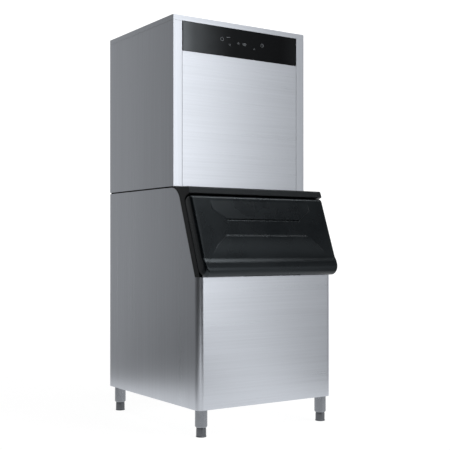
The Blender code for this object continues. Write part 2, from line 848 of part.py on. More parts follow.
def make_bin_foam():
    """Insulation poured between the shell and the liner."""
    inset = SHEET + GAP
    front, back = BIN_FRONT + inset, BACK - 2 * inset
    side = HALF - inset
    corners = [
        (-side, front, SHELL_CORNER - inset),
        (side, front, SHELL_CORNER - inset),
        (side, back, 0),
        (-side, back, 0),
    ]
    low, high = BIN_FOOT + PAN_SHEET + GAP, BIN_TOP - LINER_WALL - GAP
    foam = plate("bin_foam", [rounded(corners)], low, high, PLAN, "foam")
    cut(foam, door_cutter("foam_slope", SHEET + GAP, HALF + OVERRUN))
    half = inner_half(LINER_WALL + GAP)
    cut(foam, plate("foam_inside", [cavity_outline(LINER_WALL + GAP, True)], -half, half, SIDE))
    for index, (x, y) in enumerate(leg_places()):
        top = BIN_FOOT + SOCKET_HEIGHT + GAP
        cut(foam, rod(f"foam_socket_{index}", (x, y, BIN_FOOT), (x, y, top), SOCKET_RADIUS + GAP, sides=SMALL_SIDES))
    cut(foam, drain_hole("foam_drain_hole"))


def make_bin_liner():
    """Moulded tub with a flange over the foam's rim."""
    half = inner_half(LINER_WALL)
    liner = plate("bin_liner", [cavity_outline(LINER_WALL, False)], -half, half, SIDE, "white_plastic")
    half = inner_half(0.0)
    cut(liner, plate("liner_inside", [cavity_outline(0.0, True)], -half, half, SIDE))
    flange_front = HEAD_FRONT + BEAM_LIP_LENGTH + GAP
    half = inner_half(0.0)
    back = BACK - SHEET - FOAM_WALL - LINER_WALL
    edge = BACK - 2 * SHEET - 2 * GAP
    low, high = BIN_TOP - LINER_WALL, BIN_TOP - GAP
    rim = [
        (-half, flange_front),
        (-INSIDE, flange_front),
        (-INSIDE, edge),
        (INSIDE, edge),
        (INSIDE, flange_front),
        (half, flange_front),
        (half, back),
        (-half, back),
    ]
    join(liner, plate("flange", [rim], low, high, PLAN))
    cut(liner, drain_hole("liner_drain_hole"))


def drain_height():
    return BIN_FOOT + FOAM_FLOOR + LINER_WALL + DRAIN_ABOVE_FLOOR


def drain_hole(name):
    """Clearance for the drain pipe through the bin's back wall."""
    z = drain_height()
    front = BACK - SHEET - FOAM_WALL - LINER_WALL - OVERRUN
    return rod(name, (0, front, z), (0, BACK + OVERRUN, z), DRAIN_RADIUS + GAP, sides=SMALL_SIDES)


def make_bin_drain():
    """Flanged pipe from the liner's back wall out behind the bin."""
    z = drain_height()
    wall = BACK - SHEET - FOAM_WALL - LINER_WALL - GAP
    drain = rod("bin_drain", (0, wall - DRAIN_FLANGE / 2, z), (0, BACK + REAR_REACH, z), DRAIN_RADIUS, "white_plastic", sides=SMALL_SIDES)
    join(drain, rod("drain_flange", (0, wall - DRAIN_FLANGE, z), (0, wall, z), DRAIN_FLANGE_RADIUS))
    bore_start = (0, wall - DRAIN_FLANGE - OVERRUN, z)
    cut(drain, rod("drain_bore", bore_start, (0, BACK + REAR_REACH + OVERRUN, z), DRAIN_BORE, sides=SMALL_SIDES))


def make_level_sensor():
    """Thermostat tube clipped along the liner's left wall, near the top of the ice."""
    wall = -inner_half(0.0) + GAP
    x = wall + SENSOR_BRACKET_LENGTH
    z = BIN_TOP - SENSOR_DROP
    back = BACK - SENSOR_FROM_BACK
    front = back - SENSOR_LENGTH
    sensor = rod("level_sensor", (x, front, z), (x, back, z), SENSOR_RADIUS, "copper", sides=SMALL_SIDES)
    for index, y in enumerate((front + SENSOR_BRACKET_LENGTH, back - SENSOR_BRACKET_LENGTH)):
        reach = SENSOR_BRACKET_LENGTH / 2
        join(
            sensor,
            box(
                f"sensor_clip_{index}",
                (wall, y - reach, z - SENSOR_RADIUS / 2),
                (x, y + reach, z + SENSOR_RADIUS / 2),
            ),
        )


def leg_places():
    """Plan centres of the four legs: front left, front right, rear left, rear right."""
    x = HALF - LEG_INSET
    front, rear = BIN_FRONT + LEG_INSET, BACK - LEG_INSET
    return [(-x, front), (x, front), (-x, rear), (x, rear)]


LEG_NAMES = ("front_left", "front_right", "rear_left", "rear_right")


def make_legs():
    """Round sleeves screwed into the base, each with a foot that screws in from below."""
    sleeve_foot = BIN_FOOT - SLEEVE_HEIGHT
    for name, (x, y) in zip(LEG_NAMES, leg_places()):
        bore = FOOT_STUD_RADIUS + GAP
        bore_top = FOOT_STUD_HEIGHT + OVERRUN
        top = SLEEVE_HEIGHT - GAP
        profile = [
            (0, SLEEVE_HEIGHT + LEG_STUD_HEIGHT),
            (LEG_STUD_RADIUS, SLEEVE_HEIGHT + LEG_STUD_HEIGHT),
            (LEG_STUD_RADIUS, top),
            (LEG_RADIUS, top),
            (LEG_RADIUS, LEG_CHAMFER),
            (LEG_FOOT_RADIUS, 0),
            (bore, 0),
            (bore, bore_top),
            (0, bore_top),
        ]
        turned(f"leg_{name}", profile, Matrix.Translation((x, y, sleeve_foot)), "steel", sides=LEG_SIDES)
        top = sleeve_foot - GAP
        profile = [
            (0, top + FOOT_STUD_HEIGHT),
            (FOOT_STUD_RADIUS, top + FOOT_STUD_HEIGHT),
            (FOOT_STUD_RADIUS, top),
            (FOOT_WAIST_RADIUS, top),
            (FOOT_RADIUS, top - FOOT_SHOULDER),
            (FOOT_RADIUS, FOOT_PAD_HEIGHT),
            (FOOT_PAD_RADIUS, FOOT_PAD_HEIGHT / 2),
            (FOOT_PAD_RADIUS, 0),
            (0, 0),
        ]
        turned(f"foot_{name}", profile, Matrix.Translation((x, y, 0)), "steel", sides=LEG_SIDES)


def make_seam_gasket():
    """Soft strip between the bin and the head."""
    side = HALF - SEAM_INSET
    front, back = HEAD_FRONT + SEAM_INSET, BACK - SEAM_INSET
    outer = box_outline(-side, front, side, back)
    inner = box_outline(-side + SEAM_BAND, front + SEAM_BAND, side - SEAM_BAND, back - SEAM_BAND)
    plate("seam_gasket", [outer, inner], BIN_TOP + GAP, HEAD_FOOT - GAP, PLAN, "rubber")


# Sloping door


def mouth_half():
    """Half the mouth's width, so that its collar stands just inside the liner."""
    return inner_half(0.0) - COLLAR_WALL - MOUTH_SIDE_GAP


def make_door_frame():
    """Moulded frame of the sloping door, with hinge ears and a collar that lines the mouth."""
    top = BIN_TOP - GAP
    lip_foot = LID_TOP - LID_TOP_GAP
    tail = HEAD_FRONT + FRAME_TAIL
    corners = [
        (*door_point(down_at_drop(LID_THICKNESS, GAP), LID_THICKNESS), FRAME_FRONT_ROUND),
        (*door_point(lip_foot, LID_THICKNESS), EMBOSS_ROUND),
        (*door_point(lip_foot, 0), FRAME_INNER_ROUND),
        (*door_point(down_at_drop(0, DOOR_DROP), 0), 0),
        (tail, BIN_TOP - DOOR_DROP, 0),
        (tail, top, 0),
    ]
    frame = plate("door_frame", [rounded(corners)], -HALF, HALF, SIDE, "black_plastic")
    cut(frame, bin_side("frame_room", -GAP, HALF + OVERRUN))
    half = mouth_half()
    lip = box(
        "beam_lip",
        (-half, HEAD_FRONT - CUT_SETBACK, top - BEAM_LIP_HEIGHT),
        (half, HEAD_FRONT + BEAM_LIP_LENGTH, top),
    )
    join(frame, lip)
    wall = COLLAR_WALL
    outer = box_outline(-half - wall, -MOUTH_FOOT - wall, half + wall, -MOUTH_TOP + wall, MOUTH_ROUND + wall)
    join(frame, plate("collar", [outer], -COLLAR_DEPTH, -FRAME_THICKNESS / 2, DOOR))
    mouth = box_outline(-half, -MOUTH_FOOT, half, -MOUTH_TOP, MOUTH_ROUND)
    cut(frame, plate("mouth", [mouth], -COLLAR_DEPTH - OVERRUN, OVERRUN, DOOR))
    for side in (-1, 1):
        join(frame, hinge_ear(f"ear_{side}", side))
    for side in (-1, 1):
        reach = HALF * side
        axis = door_point(PIVOT_DOWN, PIVOT_OUT)
        bore = rod(f"ear_bore_{side}", (reach / 2, *axis), (reach, *axis), HINGE_PIN_RADIUS + GAP, sides=SMALL_SIDES)
        cut(frame, bore)


def ear_outer():
    """Half the distance over the outer faces of the hinge ears."""
    return HALF - LID_SIDE_GAP - LID_WALL - EAR_INSET


def hinge_ear(name, side):
    """A round-ended ear that carries a hinge pin inside the lid."""
    corners = [
        (PIVOT_DOWN - EAR_NECK, -FRAME_THICKNESS / 2, 0),
        (PIVOT_DOWN + EAR_NECK, -FRAME_THICKNESS / 2, 0),
        (PIVOT_DOWN + EAR_NECK, PIVOT_OUT + EAR_NECK, EAR_NECK * 0.999),
        (PIVOT_DOWN - EAR_NECK, PIVOT_OUT + EAR_NECK, EAR_NECK * 0.999),
    ]
    outer = side * ear_outer()
    inner = outer - side * EAR_THICKNESS
    return plate(name, [door_outline(corners)], min(inner, outer), max(inner, outer), SIDE)


def make_hinge_pins():
    for name, side in (("left", -1), ("right", 1)):
        y, z = door_point(PIVOT_DOWN, PIVOT_OUT)
        outer = side * (ear_outer() + HINGE_PIN_LENGTH / 2 - HINGE_PIN_END_GAP)
        inner = outer - side * HINGE_PIN_LENGTH
        rod(f"hinge_pin_{name}", (inner, y, z), (outer, y, z), HINGE_PIN_RADIUS, "steel", sides=SMALL_SIDES)


def lid_half():
    return HALF - LID_SIDE_GAP


def weight_lid_edges(lid):
    """Round the lid's end edges most where they face outwards."""
    mesh = lid.data
    work = bmesh.new()
    work.from_mesh(mesh)
    layer = work.edges.layers.float.new("bevel_weight_edge")
    y0, z0 = door_point(0, 0)
    outward = Vector((-math.cos(DOOR_TILT), math.sin(DOOR_TILT)))
    for edge in work.edges:
        across = abs(edge.verts[0].co.z - edge.verts[1].co.z)
        if across > WELD_DISTANCE:
            continue
        outs = [(Vector(vert.co[:2]) - Vector((y0, z0))).dot(outward) for vert in edge.verts]
        edge[layer] = 1.0 if min(outs) > LID_THICKNESS / 2 else LID_GAP / LID_EDGE_ROUND
    work.to_mesh(mesh)
    work.free()


def trapezoid_pad(name, levels, low, high, stand):
    """A raised field of the lid: (down, half width) levels, as a plate with soft edges."""
    right = [(half, -down) for down, half in levels]
    left = [(-half, -down) for down, half in reversed(levels)]
    pad = plate(name, [right + left], low, high, stand)
    bevel(pad, EMBOSS_ROUND, 1, math.radians(60))
    return pad


def make_lid():
    """Moulded lid: a deep shell with a raised visor above, a raised grip field below and a hooked nose."""
    half = lid_half()
    lid = plate("bin_lid", [door_outline(lid_corners(0.0, LID_GAP, DOOR_DROP))], -half, half, SIDE, "charcoal_plastic")
    weight_lid_edges(lid)
    bevel(lid, LID_EDGE_ROUND, 3)
    visor_levels = [
        (0.0, half - VISOR_TOP_MARGIN),
        (VISOR_SHOULDER - VISOR_START, half - VISOR_TOP_MARGIN),
        (VISOR_END - VISOR_START, half - VISOR_FOOT_MARGIN),
    ]
    lean = Matrix.Rotation(-math.asin(EMBOSS / (VISOR_END - VISOR_START)), 4, "X")
    visor_stand = DOOR @ Matrix.Translation((0, -VISOR_START, LID_THICKNESS)) @ lean
    visor = trapezoid_pad("visor", visor_levels, -EMBOSS - LID_WALL, 0.0, visor_stand)
    grip_levels = [
        (GRIP_START, half - GRIP_TOP_MARGIN),
        (GRIP_SHOULDER, half - GRIP_SHOULDER_MARGIN),
        (NOSE_START + NOSE_RAMP, half - GRIP_FOOT_MARGIN),
    ]
    out = LID_THICKNESS + EMBOSS - GAP
    grip = trapezoid_pad("grip_field", grip_levels, LID_THICKNESS - LID_WALL, out, DOOR)
    join(lid, visor, grip)
    inside = half - LID_WALL
    hollow = [
        (LID_TOP + LID_BACK_ROUND + LID_WALL, -LID_GAP, 0),
        (LID_TOP + LID_BACK_ROUND + LID_WALL, LID_GAP + LID_WALL, 0),
        (LID_TOP + LID_WALL, LID_GAP + LID_WALL, LID_BACK_ROUND - LID_WALL),
        *lid_corners(LID_WALL, -LID_GAP, DOOR_DROP - NOSE_SOLID)[1:],
    ]
    hollow[-2] = (*hollow[-2][:2], LID_WALL)
    cut(lid, plate("lid_inside", [door_outline(hollow)], -inside, inside, SIDE))
    slot_outer = ear_outer() + EAR_SLOT_GAP
    slot_inner = ear_outer() - EAR_THICKNESS - EAR_SLOT_GAP
    slot = [
        (LID_TOP - OVERRUN, -OVERRUN, 0),
        (INNER_PANEL_TOP + EAR_SLOT_GAP, -OVERRUN, 0),
        (INNER_PANEL_TOP + EAR_SLOT_GAP, PIVOT_OUT + EAR_NECK + EAR_SLOT_GAP, 0),
        (LID_TOP - OVERRUN, PIVOT_OUT + EAR_NECK + EAR_SLOT_GAP, 0),
    ]
    for side in (-1, 1):
        low, high = sorted((side * slot_inner, side * slot_outer))
        cut(lid, plate(f"ear_slot_{side}", [door_outline(slot)], low, high, SIDE))
    y, z = door_point(PIVOT_DOWN, PIVOT_OUT)
    for side in (-1, 1):
        start, end = side * (inside + LID_WALL / 2), side * (inside - HINGE_BOSS_LENGTH)
        join(lid, rod(f"hinge_boss_{side}", (start, y, z), (end, y, z), HINGE_BOSS_RADIUS, sides=SMALL_SIDES))
    for side in (-1, 1):
        start = side * (ear_outer() + HINGE_PIN_LENGTH / 2)
        end = side * (inside - HINGE_BOSS_LENGTH - OVERRUN)
        radius = HINGE_PIN_RADIUS + GAP
        cut(lid, rod(f"hinge_bore_{side}", (start, y, z), (end, y, z), radius, sides=SMALL_SIDES))
    cut(lid, finger_recess())
    hang_on(lid, "lid_hinge", (0, y, z), (-1, 0, 0))


def finger_recess():
    """The groove under the nose that the fingers pull on."""
    front = HEAD_FRONT - LID_REACH + FINGER_SETBACK
    foot = BIN_TOP - DOOR_DROP
    half = lid_half() - FINGER_MARGIN
    outline = box_outline(-half, front, half, front + FINGER_WIDTH, FINGER_WIDTH * 0.49)
    return plate("finger_recess", [outline], foot - OVERRUN, foot + FINGER_DEPTH, PLAN)


def make_lid_inner_panel():
    """Formed inner panel whose plug fills the mouth when the lid is shut."""
    half = lid_half() - LID_WALL - INNER_PANEL_MARGIN
    notch = ear_outer() - EAR_THICKNESS - EAR_SLOT_GAP
    low, high = INNER_PANEL_STANDOFF, INNER_PANEL_STANDOFF + INNER_PANEL
    notch_foot = PIVOT_DOWN + EAR_NECK + OVERRUN
    outline = [
        (-notch, -INNER_PANEL_TOP),
        (-notch, -notch_foot),
        (-half, -notch_foot),
        (-half, -INNER_PANEL_FOOT),
        (half, -INNER_PANEL_FOOT),
        (half, -notch_foot),
        (notch, -notch_foot),
        (notch, -INNER_PANEL_TOP),
    ]
    panel = plate("lid_inner_panel", [outline], low, high, DOOR, "white_plastic")
    join(panel, plug_block("plug", 0.0, low + INNER_PANEL / 2))
    cut(panel, plug_block("plug_inside", INNER_PANEL, high + OVERRUN))
    y, z = door_point(PIVOT_DOWN, PIVOT_OUT)
    hang_on(panel, "lid_hinge", (0, y, z), (-1, 0, 0))


def plug_block(name, wall, top):
    """A block that tapers towards the bin, thinner all round by a wall."""
    face = INNER_PANEL_STANDOFF - PLUG_RISE + wall
    middle = -(PLUG_TOP + PLUG_FOOT) / 2
    width, height = mouth_half() - PLUG_MARGIN - wall, (PLUG_FOOT - PLUG_TOP) / 2 - wall
    work = bmesh.new()
    size = Matrix.Diagonal((2 * width, 2 * height, top - face, 1))
    bmesh.ops.create_cube(work, size=1, matrix=size)
    for vert in work.verts:
        if vert.co.z < 0:
            vert.co.x -= math.copysign(PLUG_TAPER, vert.co.x)
            vert.co.y -= math.copysign(PLUG_TAPER, vert.co.y)
    place = DOOR @ Matrix.Translation((0, middle, (top + face) / 2))
    return add_object(name, mesh_from(name, work), None, place)


def make_lid_gasket():
    half = mouth_half() + GASKET_REACH
    outer = box_outline(-half, -GASKET_FOOT, half, -GASKET_TOP)
    band = GASKET_BAND
    inner = box_outline(-half + band, -GASKET_FOOT + band, half - band, -GASKET_TOP - band)
    gasket = plate("lid_gasket", [outer, inner], GAP, INNER_PANEL_STANDOFF - GAP, DOOR, "rubber")
    y, z = door_point(PIVOT_DOWN, PIVOT_OUT)
    hang_on(gasket, "lid_hinge", (0, y, z), (-1, 0, 0))


# Head casing


def drop_opening():
    """Plan box of the ice drop: low x, low y, high x, high y."""
    half = CHUTE_WIDTH / 2 - CHUTE_WALL
    front = HEAD_FRONT + CHUTE_FRONT + CHUTE_WALL
    return COLUMN_X - half, front, COLUMN_X + half, front + CHUTE_LENGTH - 2 * CHUTE_WALL


def make_base_pan():
    """Tray that carries everything in the head, open where the ice drops."""
    low, high = SHEET + GAP, HEAD_FOOT + PAN_RIM
    front, back = HEAD_FRONT + low, BACK - 2 * low
    pan = box("head_base_pan", (-INSIDE, front, HEAD_FOOT), (INSIDE, back, high), "galvanised")
    wall = PAN_SHEET
    inside = box(
        "pan_inside",
        (-INSIDE + wall, front + wall, PAN_FLOOR),
        (INSIDE - wall, back - wall, high + OVERRUN),
    )
    low_x, low_y, high_x, high_y = drop_opening()
    cut(pan, inside, box("pan_drop", (low_x, low_y, HEAD_FOOT - OVERRUN), (high_x, high_y, PAN_FLOOR + OVERRUN)))


def panel_top():
    """Top edge of the side and front pieces, under the cover's skirt."""
    return HEAD_TOP - COVER_SKIRT - GAP


def side_panel(name, side):
    """Side panel folded round the front into a stile and round the back into a return."""
    edge = side * HALF
    path = [
        (edge - side * STILE_WIDTH, HEAD_FRONT),
        (edge, HEAD_FRONT),
        (edge, BACK),
        (edge - side * PANEL_RETURN, BACK),
    ]
    panel = sheet(name, path, HEAD_FOOT, panel_top(), side, "steel")
    top = panel_top()
    low, high = sorted((edge - side * SHEET / 2, edge - side * PANEL_RETURN))
    fold = box("top_fold_" + name, (low, HEAD_FRONT + SHEET / 2, top - SHEET), (high, BACK - SHEET / 2, top))
    join(panel, fold)
    return panel


def make_side_panels():
    side_panel("head_left_panel", -1)
    right = side_panel("head_right_panel", 1)
    foot = HEAD_FOOT + SIDE_LOUVRE_FOOT
    middle = HEAD_FRONT + COIL_FRONT + COIL_LENGTH / 2
    centres = [(middle, foot + row * LOUVRE_PITCH) for row in range(SIDE_LOUVRE_ROWS)]
    face = HALF - SHEET
    turn = Matrix.Translation((face, 0, 0)) @ SIDE
    add_louvres(right, centres, turn)


def add_louvres(panel, centres, stand):
    """Slots cut through a sheet at (along, up) centres, each under a hood that leans into the machine."""
    half = LOUVRE_LENGTH / 2
    for index, (along, up) in enumerate(centres):
        slot = box_outline(along - half, up, along + half, up + LOUVRE_HEIGHT)
        cut(panel, plate(f"slot_{index}", [slot], -SHEET, 2 * SHEET, stand))
    for index, (along, up) in enumerate(centres):
        lean = Matrix.Translation((along, up + LOUVRE_HEIGHT + LOUVRE_SHEET / 2, SHEET / 2)) @ Matrix.Rotation(
            math.atan2(LOUVRE_HEIGHT, LOUVRE_REACH), 4, "X"
        )
        length = math.hypot(LOUVRE_HEIGHT, LOUVRE_REACH)
        hood = box_outline(-half, -length, half, 0.0)
        hood_plate = plate(f"hood_{index}", [hood], -LOUVRE_SHEET / 2, LOUVRE_SHEET / 2, stand @ lean)
        join(panel, hood_plate)


def make_back_panel():
    back = BACK - SHEET - GAP
    side = INSIDE
    panel = box("head_back_panel", (-side, back - SHEET, HEAD_FOOT), (side, back, panel_top() - SHEET - GAP), "galvanised")
    foot = HEAD_FOOT + BACK_LOUVRE_FOOT
    centres = [
        (column, foot + row * LOUVRE_PITCH)
        for column in (-BACK_LOUVRE_COLUMN, BACK_LOUVRE_COLUMN)
        for row in range(BACK_LOUVRE_ROWS)
    ]
    turn = Matrix.Translation((0, back - SHEET, 0)) @ Matrix.Rotation(math.pi, 4, "Z") @ FRONT
    add_louvres(panel, centres, turn)
    for name, (x, z, radius) in back_fittings().items():
        hole = rod("hole_" + name, (x, back - OVERRUN, z), (x, BACK + OVERRUN, z), radius + GAP, sides=SMALL_SIDES)
        cut(panel, hole)


def back_fittings():
    """Where the water inlet and the cable gland pass the back panel: x, z and thread radius."""
    return {
        "water": (-HALF + INLET_FROM_SIDE, HEAD_FOOT + INLET_Z, INLET_RADIUS),
        "power": (HALF - GLAND_FROM_SIDE, HEAD_FOOT + GLAND_Z, GLAND_RADIUS),
    }


def make_top_cover():
    """Shallow lid of the head with a skirt all round."""
    foot = HEAD_TOP - COVER_SKIRT
    cover = box("top_cover", (-HALF, HEAD_FRONT, foot), (HALF, BACK, HEAD_TOP), "steel")
    inside = box(
        "cover_inside",
        (-HALF + SHEET, HEAD_FRONT + SHEET, foot - OVERRUN),
        (HALF - SHEET, BACK - SHEET, HEAD_TOP - SHEET),
    )
    cut(cover, inside)


def display_foot():
    return panel_top() - DISPLAY_HEIGHT


def front_opening_half():
    return HALF - STILE_WIDTH


def make_front_panel():
    """Lift-off tray between the stiles, under the display."""
    half = front_opening_half() - PANEL_SEAM
    low, high = HEAD_FOOT + PANEL_SEAM, display_foot() - PANEL_SEAM
    depth = HEAD_FRONT + PANEL_RETURN
    panel = box("head_front_panel", (-half, HEAD_FRONT, low), (half, depth, high), "steel")
    inside = box(
        "front_inside",
        (-half + SHEET, HEAD_FRONT + SHEET, low + SHEET),
        (half - SHEET, depth + OVERRUN, high - SHEET),
    )
    pan_front = HEAD_FRONT + SHEET
    pan_room = box(
        "front_pan_room",
        (-half - OVERRUN, pan_front, HEAD_FOOT - OVERRUN),
        (half + OVERRUN, depth + OVERRUN, HEAD_FOOT + PAN_RIM + GAP),
    )
    cut(panel, inside, pan_room)


def make_display():
    """Black glass strip with a shallow housing behind it, and the control board on it."""
    half = front_opening_half() - DISPLAY_MARGIN
    low, high = display_foot(), panel_top() - DISPLAY_PROUD
    front = HEAD_FRONT - DISPLAY_PROUD
    glass = box("display_panel", (-half, front, low), (half, front + DISPLAY_GLASS, high), "display_black")
    margin = DISPLAY_HOUSING_MARGIN
    housing_back = front + DISPLAY_HOUSING_DEPTH
    housing = box(
        "display_housing",
        (-half + margin, front + DISPLAY_GLASS / 2, low + margin),
        (half - margin, housing_back, high - margin),
    )
    join(glass, housing)
    middle = (low + high) / 2
    board_y = housing_back + BOARD_STANDOFF
    board = box(
        "control_board",
        (-BOARD_WIDTH / 2, board_y, middle - BOARD_HEIGHT / 2),
        (BOARD_WIDTH / 2, board_y + BOARD_THICKNESS, middle + BOARD_HEIGHT / 2),
        "board_green",
    )
    for side in (-1, 1):
        for end in (-1, 1):
            x = side * (BOARD_WIDTH / 2 - BOARD_STANDOFF)
            z = middle + end * (BOARD_HEIGHT / 2 - BOARD_STANDOFF)
            post = rod(
                f"standoff_{side}_{end}",
                (x, housing_back + GAP, z),
                (x, board_y + BOARD_THICKNESS / 2, z),
                BOARD_STANDOFF / 2,
                sides=SMALL_SIDES,
            )
            join(board, post)


def make_cross_rail():
    """Rail across the head behind the joint of display and front panel."""
    foot = display_foot() - RAIL_HEIGHT / 2
    front = HEAD_FRONT + DISPLAY_HOUSING_DEPTH + GAP
    rail = box("head_cross_rail", (-INSIDE, front, foot), (INSIDE, front + RAIL_DEPTH, foot + RAIL_HEIGHT), "galvanised")
    inside = box(
        "rail_inside",
        (-HALF - OVERRUN, front + PAN_SHEET, foot + PAN_SHEET),
        (HALF + OVERRUN, front + RAIL_DEPTH + OVERRUN, foot + RAIL_HEIGHT - PAN_SHEET),
    )
    cut(rail, inside)


def make_divider():
    """Bulkhead between the dry and the wet side, with a foot fold and holes for the pipes."""
    front = HEAD_FRONT + DIVIDER_FRONT
    back = BACK - 2 * SHEET - 2 * GAP - GAP
    foot = PAN_FLOOR + GAP
    top = panel_top() - SHEET - DIVIDER_TOP_GAP
    divider = box(
        "divider_panel",
        (DIVIDER_X, front, foot),
        (DIVIDER_X + SHEET, back - PAN_SHEET, top),
        "galvanised",
    )
    fold = box("divider_fold", (DIVIDER_X, front, foot), (DIVIDER_X + DIVIDER_FOLD, back - PAN_SHEET, foot + SHEET))
    join(divider, fold)
    for name, point, radius in divider_holes():
        start = Vector(point) - Vector((OVERRUN, 0, 0))
        end = Vector(point) + Vector((OVERRUN, 0, 0))
        cut(divider, rod("pass_" + name, start, end, radius, sides=SMALL_SIDES))


# Electrics


def make_electrical_box():
    """Box on the divider, and its cover in front."""
    left = DIVIDER_X + SHEET + GAP
    front = HEAD_FRONT + BOX_FRONT
    foot = HEAD_FOOT + BOX_FOOT
    high = (left + BOX_WIDTH, front + BOX_DEPTH, foot + BOX_HEIGHT)
    item = box("electrical_box", (left, front, foot), high, "galvanised")
    inside = box(
        "box_inside",
        (left + PAN_SHEET, front - OVERRUN, foot + PAN_SHEET),
        (left + BOX_WIDTH - PAN_SHEET, front + BOX_DEPTH - PAN_SHEET, foot + BOX_HEIGHT - PAN_SHEET),
    )
    cut(item, inside)
    face = front - GAP
    cover = box("electrical_cover", (left, face - BOX_COVER, foot), (left + BOX_WIDTH, face, foot + BOX_HEIGHT), "steel")
    inset = PAN_SHEET + GAP
    lip = box(
        "cover_lip",
        (left + inset, face - BOX_COVER / 2, foot + inset),
        (left + BOX_WIDTH - inset, face + BOX_COVER_LIP, foot + BOX_HEIGHT - inset),
    )
    join(cover, lip)
    inset = 2 * PAN_SHEET + GAP
    hollow = box(
        "cover_hollow",
        (left + inset, face, foot + inset),
        (left + BOX_WIDTH - inset, face + BOX_COVER_LIP + OVERRUN, foot + BOX_HEIGHT - inset),
    )
    cut(cover, hollow)


def back_fitting(name, place, nut_radius, nut, bore, finish, depth):
    """Threaded stub through the back panel with a hexagonal nut outside and one inside."""
    x, z, radius = place
    inner = BACK - 2 * SHEET - 2 * GAP
    end = BACK + REAR_REACH
    item = rod(name, (x, inner - depth, z), (x, end, z), radius, finish, sides=SMALL_SIDES)
    outer = BACK - SHEET
    join(item, rod(name + "_nut", (x, outer, z), (x, outer + nut, z), nut_radius, sides=6))
    join(item, rod(name + "_collar", (x, inner - nut, z), (x, inner, z), nut_radius, sides=6))
    cut(item, rod(name + "_bore", (x, inner - depth - OVERRUN, z), (x, end + OVERRUN, z), bore, sides=SMALL_SIDES))
    return item


def make_back_fittings():
    places = back_fittings()
    back_fitting("power_gland", places["power"], GLAND_NUT_RADIUS, GLAND_NUT, GLAND_BORE, "black_plastic", GLAND_NUT)
    back_fitting("water_inlet", places["water"], INLET_NUT_RADIUS, INLET_NUT, INLET_BORE, "brass", INLET_NUT)


# Refrigeration


def compressor_place():
    x = DIVIDER_X + SHEET + COMPRESSOR_SIDE_GAP + COMPRESSOR_RADIUS
    return x, BACK - COMPRESSOR_FROM_BACK


def grommet_places():
    x, y = compressor_place()
    reach_x = PLATE_WIDTH / 2 - GROMMET_INSET
    reach_y = PLATE_LENGTH / 2 - GROMMET_INSET
    return [(x + a * reach_x, y + b * reach_y) for a in (-1, 1) for b in (-1, 1)]


def make_compressor():
    """Hermetic can on a foot plate, standing on four grommets."""
    x, y = compressor_place()
    foot = PAN_FLOOR + GAP + GROMMET_HEIGHT
    crown = COMPRESSOR_RADIUS * DOME_SHARES[-1][1]
    belt = COMPRESSOR_HEIGHT / 2
    dome = (COMPRESSOR_HEIGHT - COMPRESSOR_SEAM_HEIGHT) / 2
    radius = COMPRESSOR_RADIUS - COMPRESSOR_SEAM
    upper = [(radius * width, belt + COMPRESSOR_SEAM_HEIGHT / 2 + rise * dome) for rise, width in reversed(DOME_SHARES)]
    lower = [(radius * width, belt - COMPRESSOR_SEAM_HEIGHT / 2 - rise * dome) for rise, width in DOME_SHARES]
    belt_points = [
        (COMPRESSOR_RADIUS, belt + COMPRESSOR_SEAM_HEIGHT / 2),
        (COMPRESSOR_RADIUS, belt - COMPRESSOR_SEAM_HEIGHT / 2),
    ]
    profile = [(0, upper[0][1]), (crown / 2, upper[0][1]), *upper, *belt_points, *lower, (0, lower[-1][1])]
    can = turned("compressor", profile, Matrix.Translation((x, y, foot)), "compressor_black")
    half_x, half_y = PLATE_WIDTH / 2, PLATE_LENGTH / 2
    outline = box_outline(x - half_x, y - half_y, x + half_x, y + half_y, GROMMET_RADIUS)
    join(can, plate("foot_plate", [outline], foot, foot + PLATE_THICKNESS, PLAN))
    saddle_top = foot + COMPRESSOR_SEAM_HEIGHT
    join(can, rod("saddle", (x, y, foot + PLATE_THICKNESS / 2), (x, y, saddle_top), crown / 2))
    for index, (gx, gy) in enumerate(grommet_places()):
        hole = rod(f"plate_hole_{index}", (gx, gy, foot - OVERRUN), (gx, gy, foot + OVERRUN), GROMMET_NECK_RADIUS + GAP, sides=SMALL_SIDES)
        cut(can, hole)
    for index, (gx, gy) in enumerate(grommet_places()):
        neck_top = GROMMET_HEIGHT + GROMMET_NECK_HEIGHT
        profile = [
            (0, neck_top),
            (GROMMET_NECK_RADIUS, neck_top),
            (GROMMET_NECK_RADIUS, GROMMET_HEIGHT - GAP),
            (GROMMET_RADIUS, GROMMET_HEIGHT - GAP),
            (GROMMET_RADIUS, 0),
            (0, 0),
        ]
        place = Matrix.Translation((gx, gy, PAN_FLOOR + GAP))
        turned(f"compressor_grommet_{index + 1}", profile, place, "rubber", sides=SMALL_SIDES)
    make_terminal_cover(x, y, foot)


def make_terminal_cover(x, y, foot):
    """Moulded cap over the compressor's terminals, on its front."""
    reach = COMPRESSOR_RADIUS + TERMINAL_DEPTH
    half = TERMINAL_WIDTH / 2
    low, high = foot + TERMINAL_FOOT, foot + TERMINAL_FOOT + TERMINAL_HEIGHT
    outline = rounded(
        [
            (x - half, y - reach, TERMINAL_WIDTH * TERMINAL_ROUND_SHARE),
            (x + half, y - reach, TERMINAL_WIDTH * TERMINAL_ROUND_SHARE),
            (x + half, y, 0),
            (x - half, y, 0),
        ]
    )
    cover = plate("terminal_cover", [outline], low, high, PLAN, "black_plastic")
    radius = COMPRESSOR_RADIUS + RUNNING_GAP
    cut(cover, rod("can_room", (x, y, low - OVERRUN), (x, y, high + OVERRUN), radius))


def coil_box():
    """Low and high corners of the condenser's fin block."""
    high_x = HALF - SHEET - COIL_SIDE_GAP
    front = HEAD_FRONT + COIL_FRONT
    foot = PAN_FLOOR + COIL_FOOT
    return (
        Vector((high_x - COIL_THICKNESS, front, foot)),
        Vector((high_x, front + COIL_LENGTH, foot + COIL_HEIGHT)),
    )


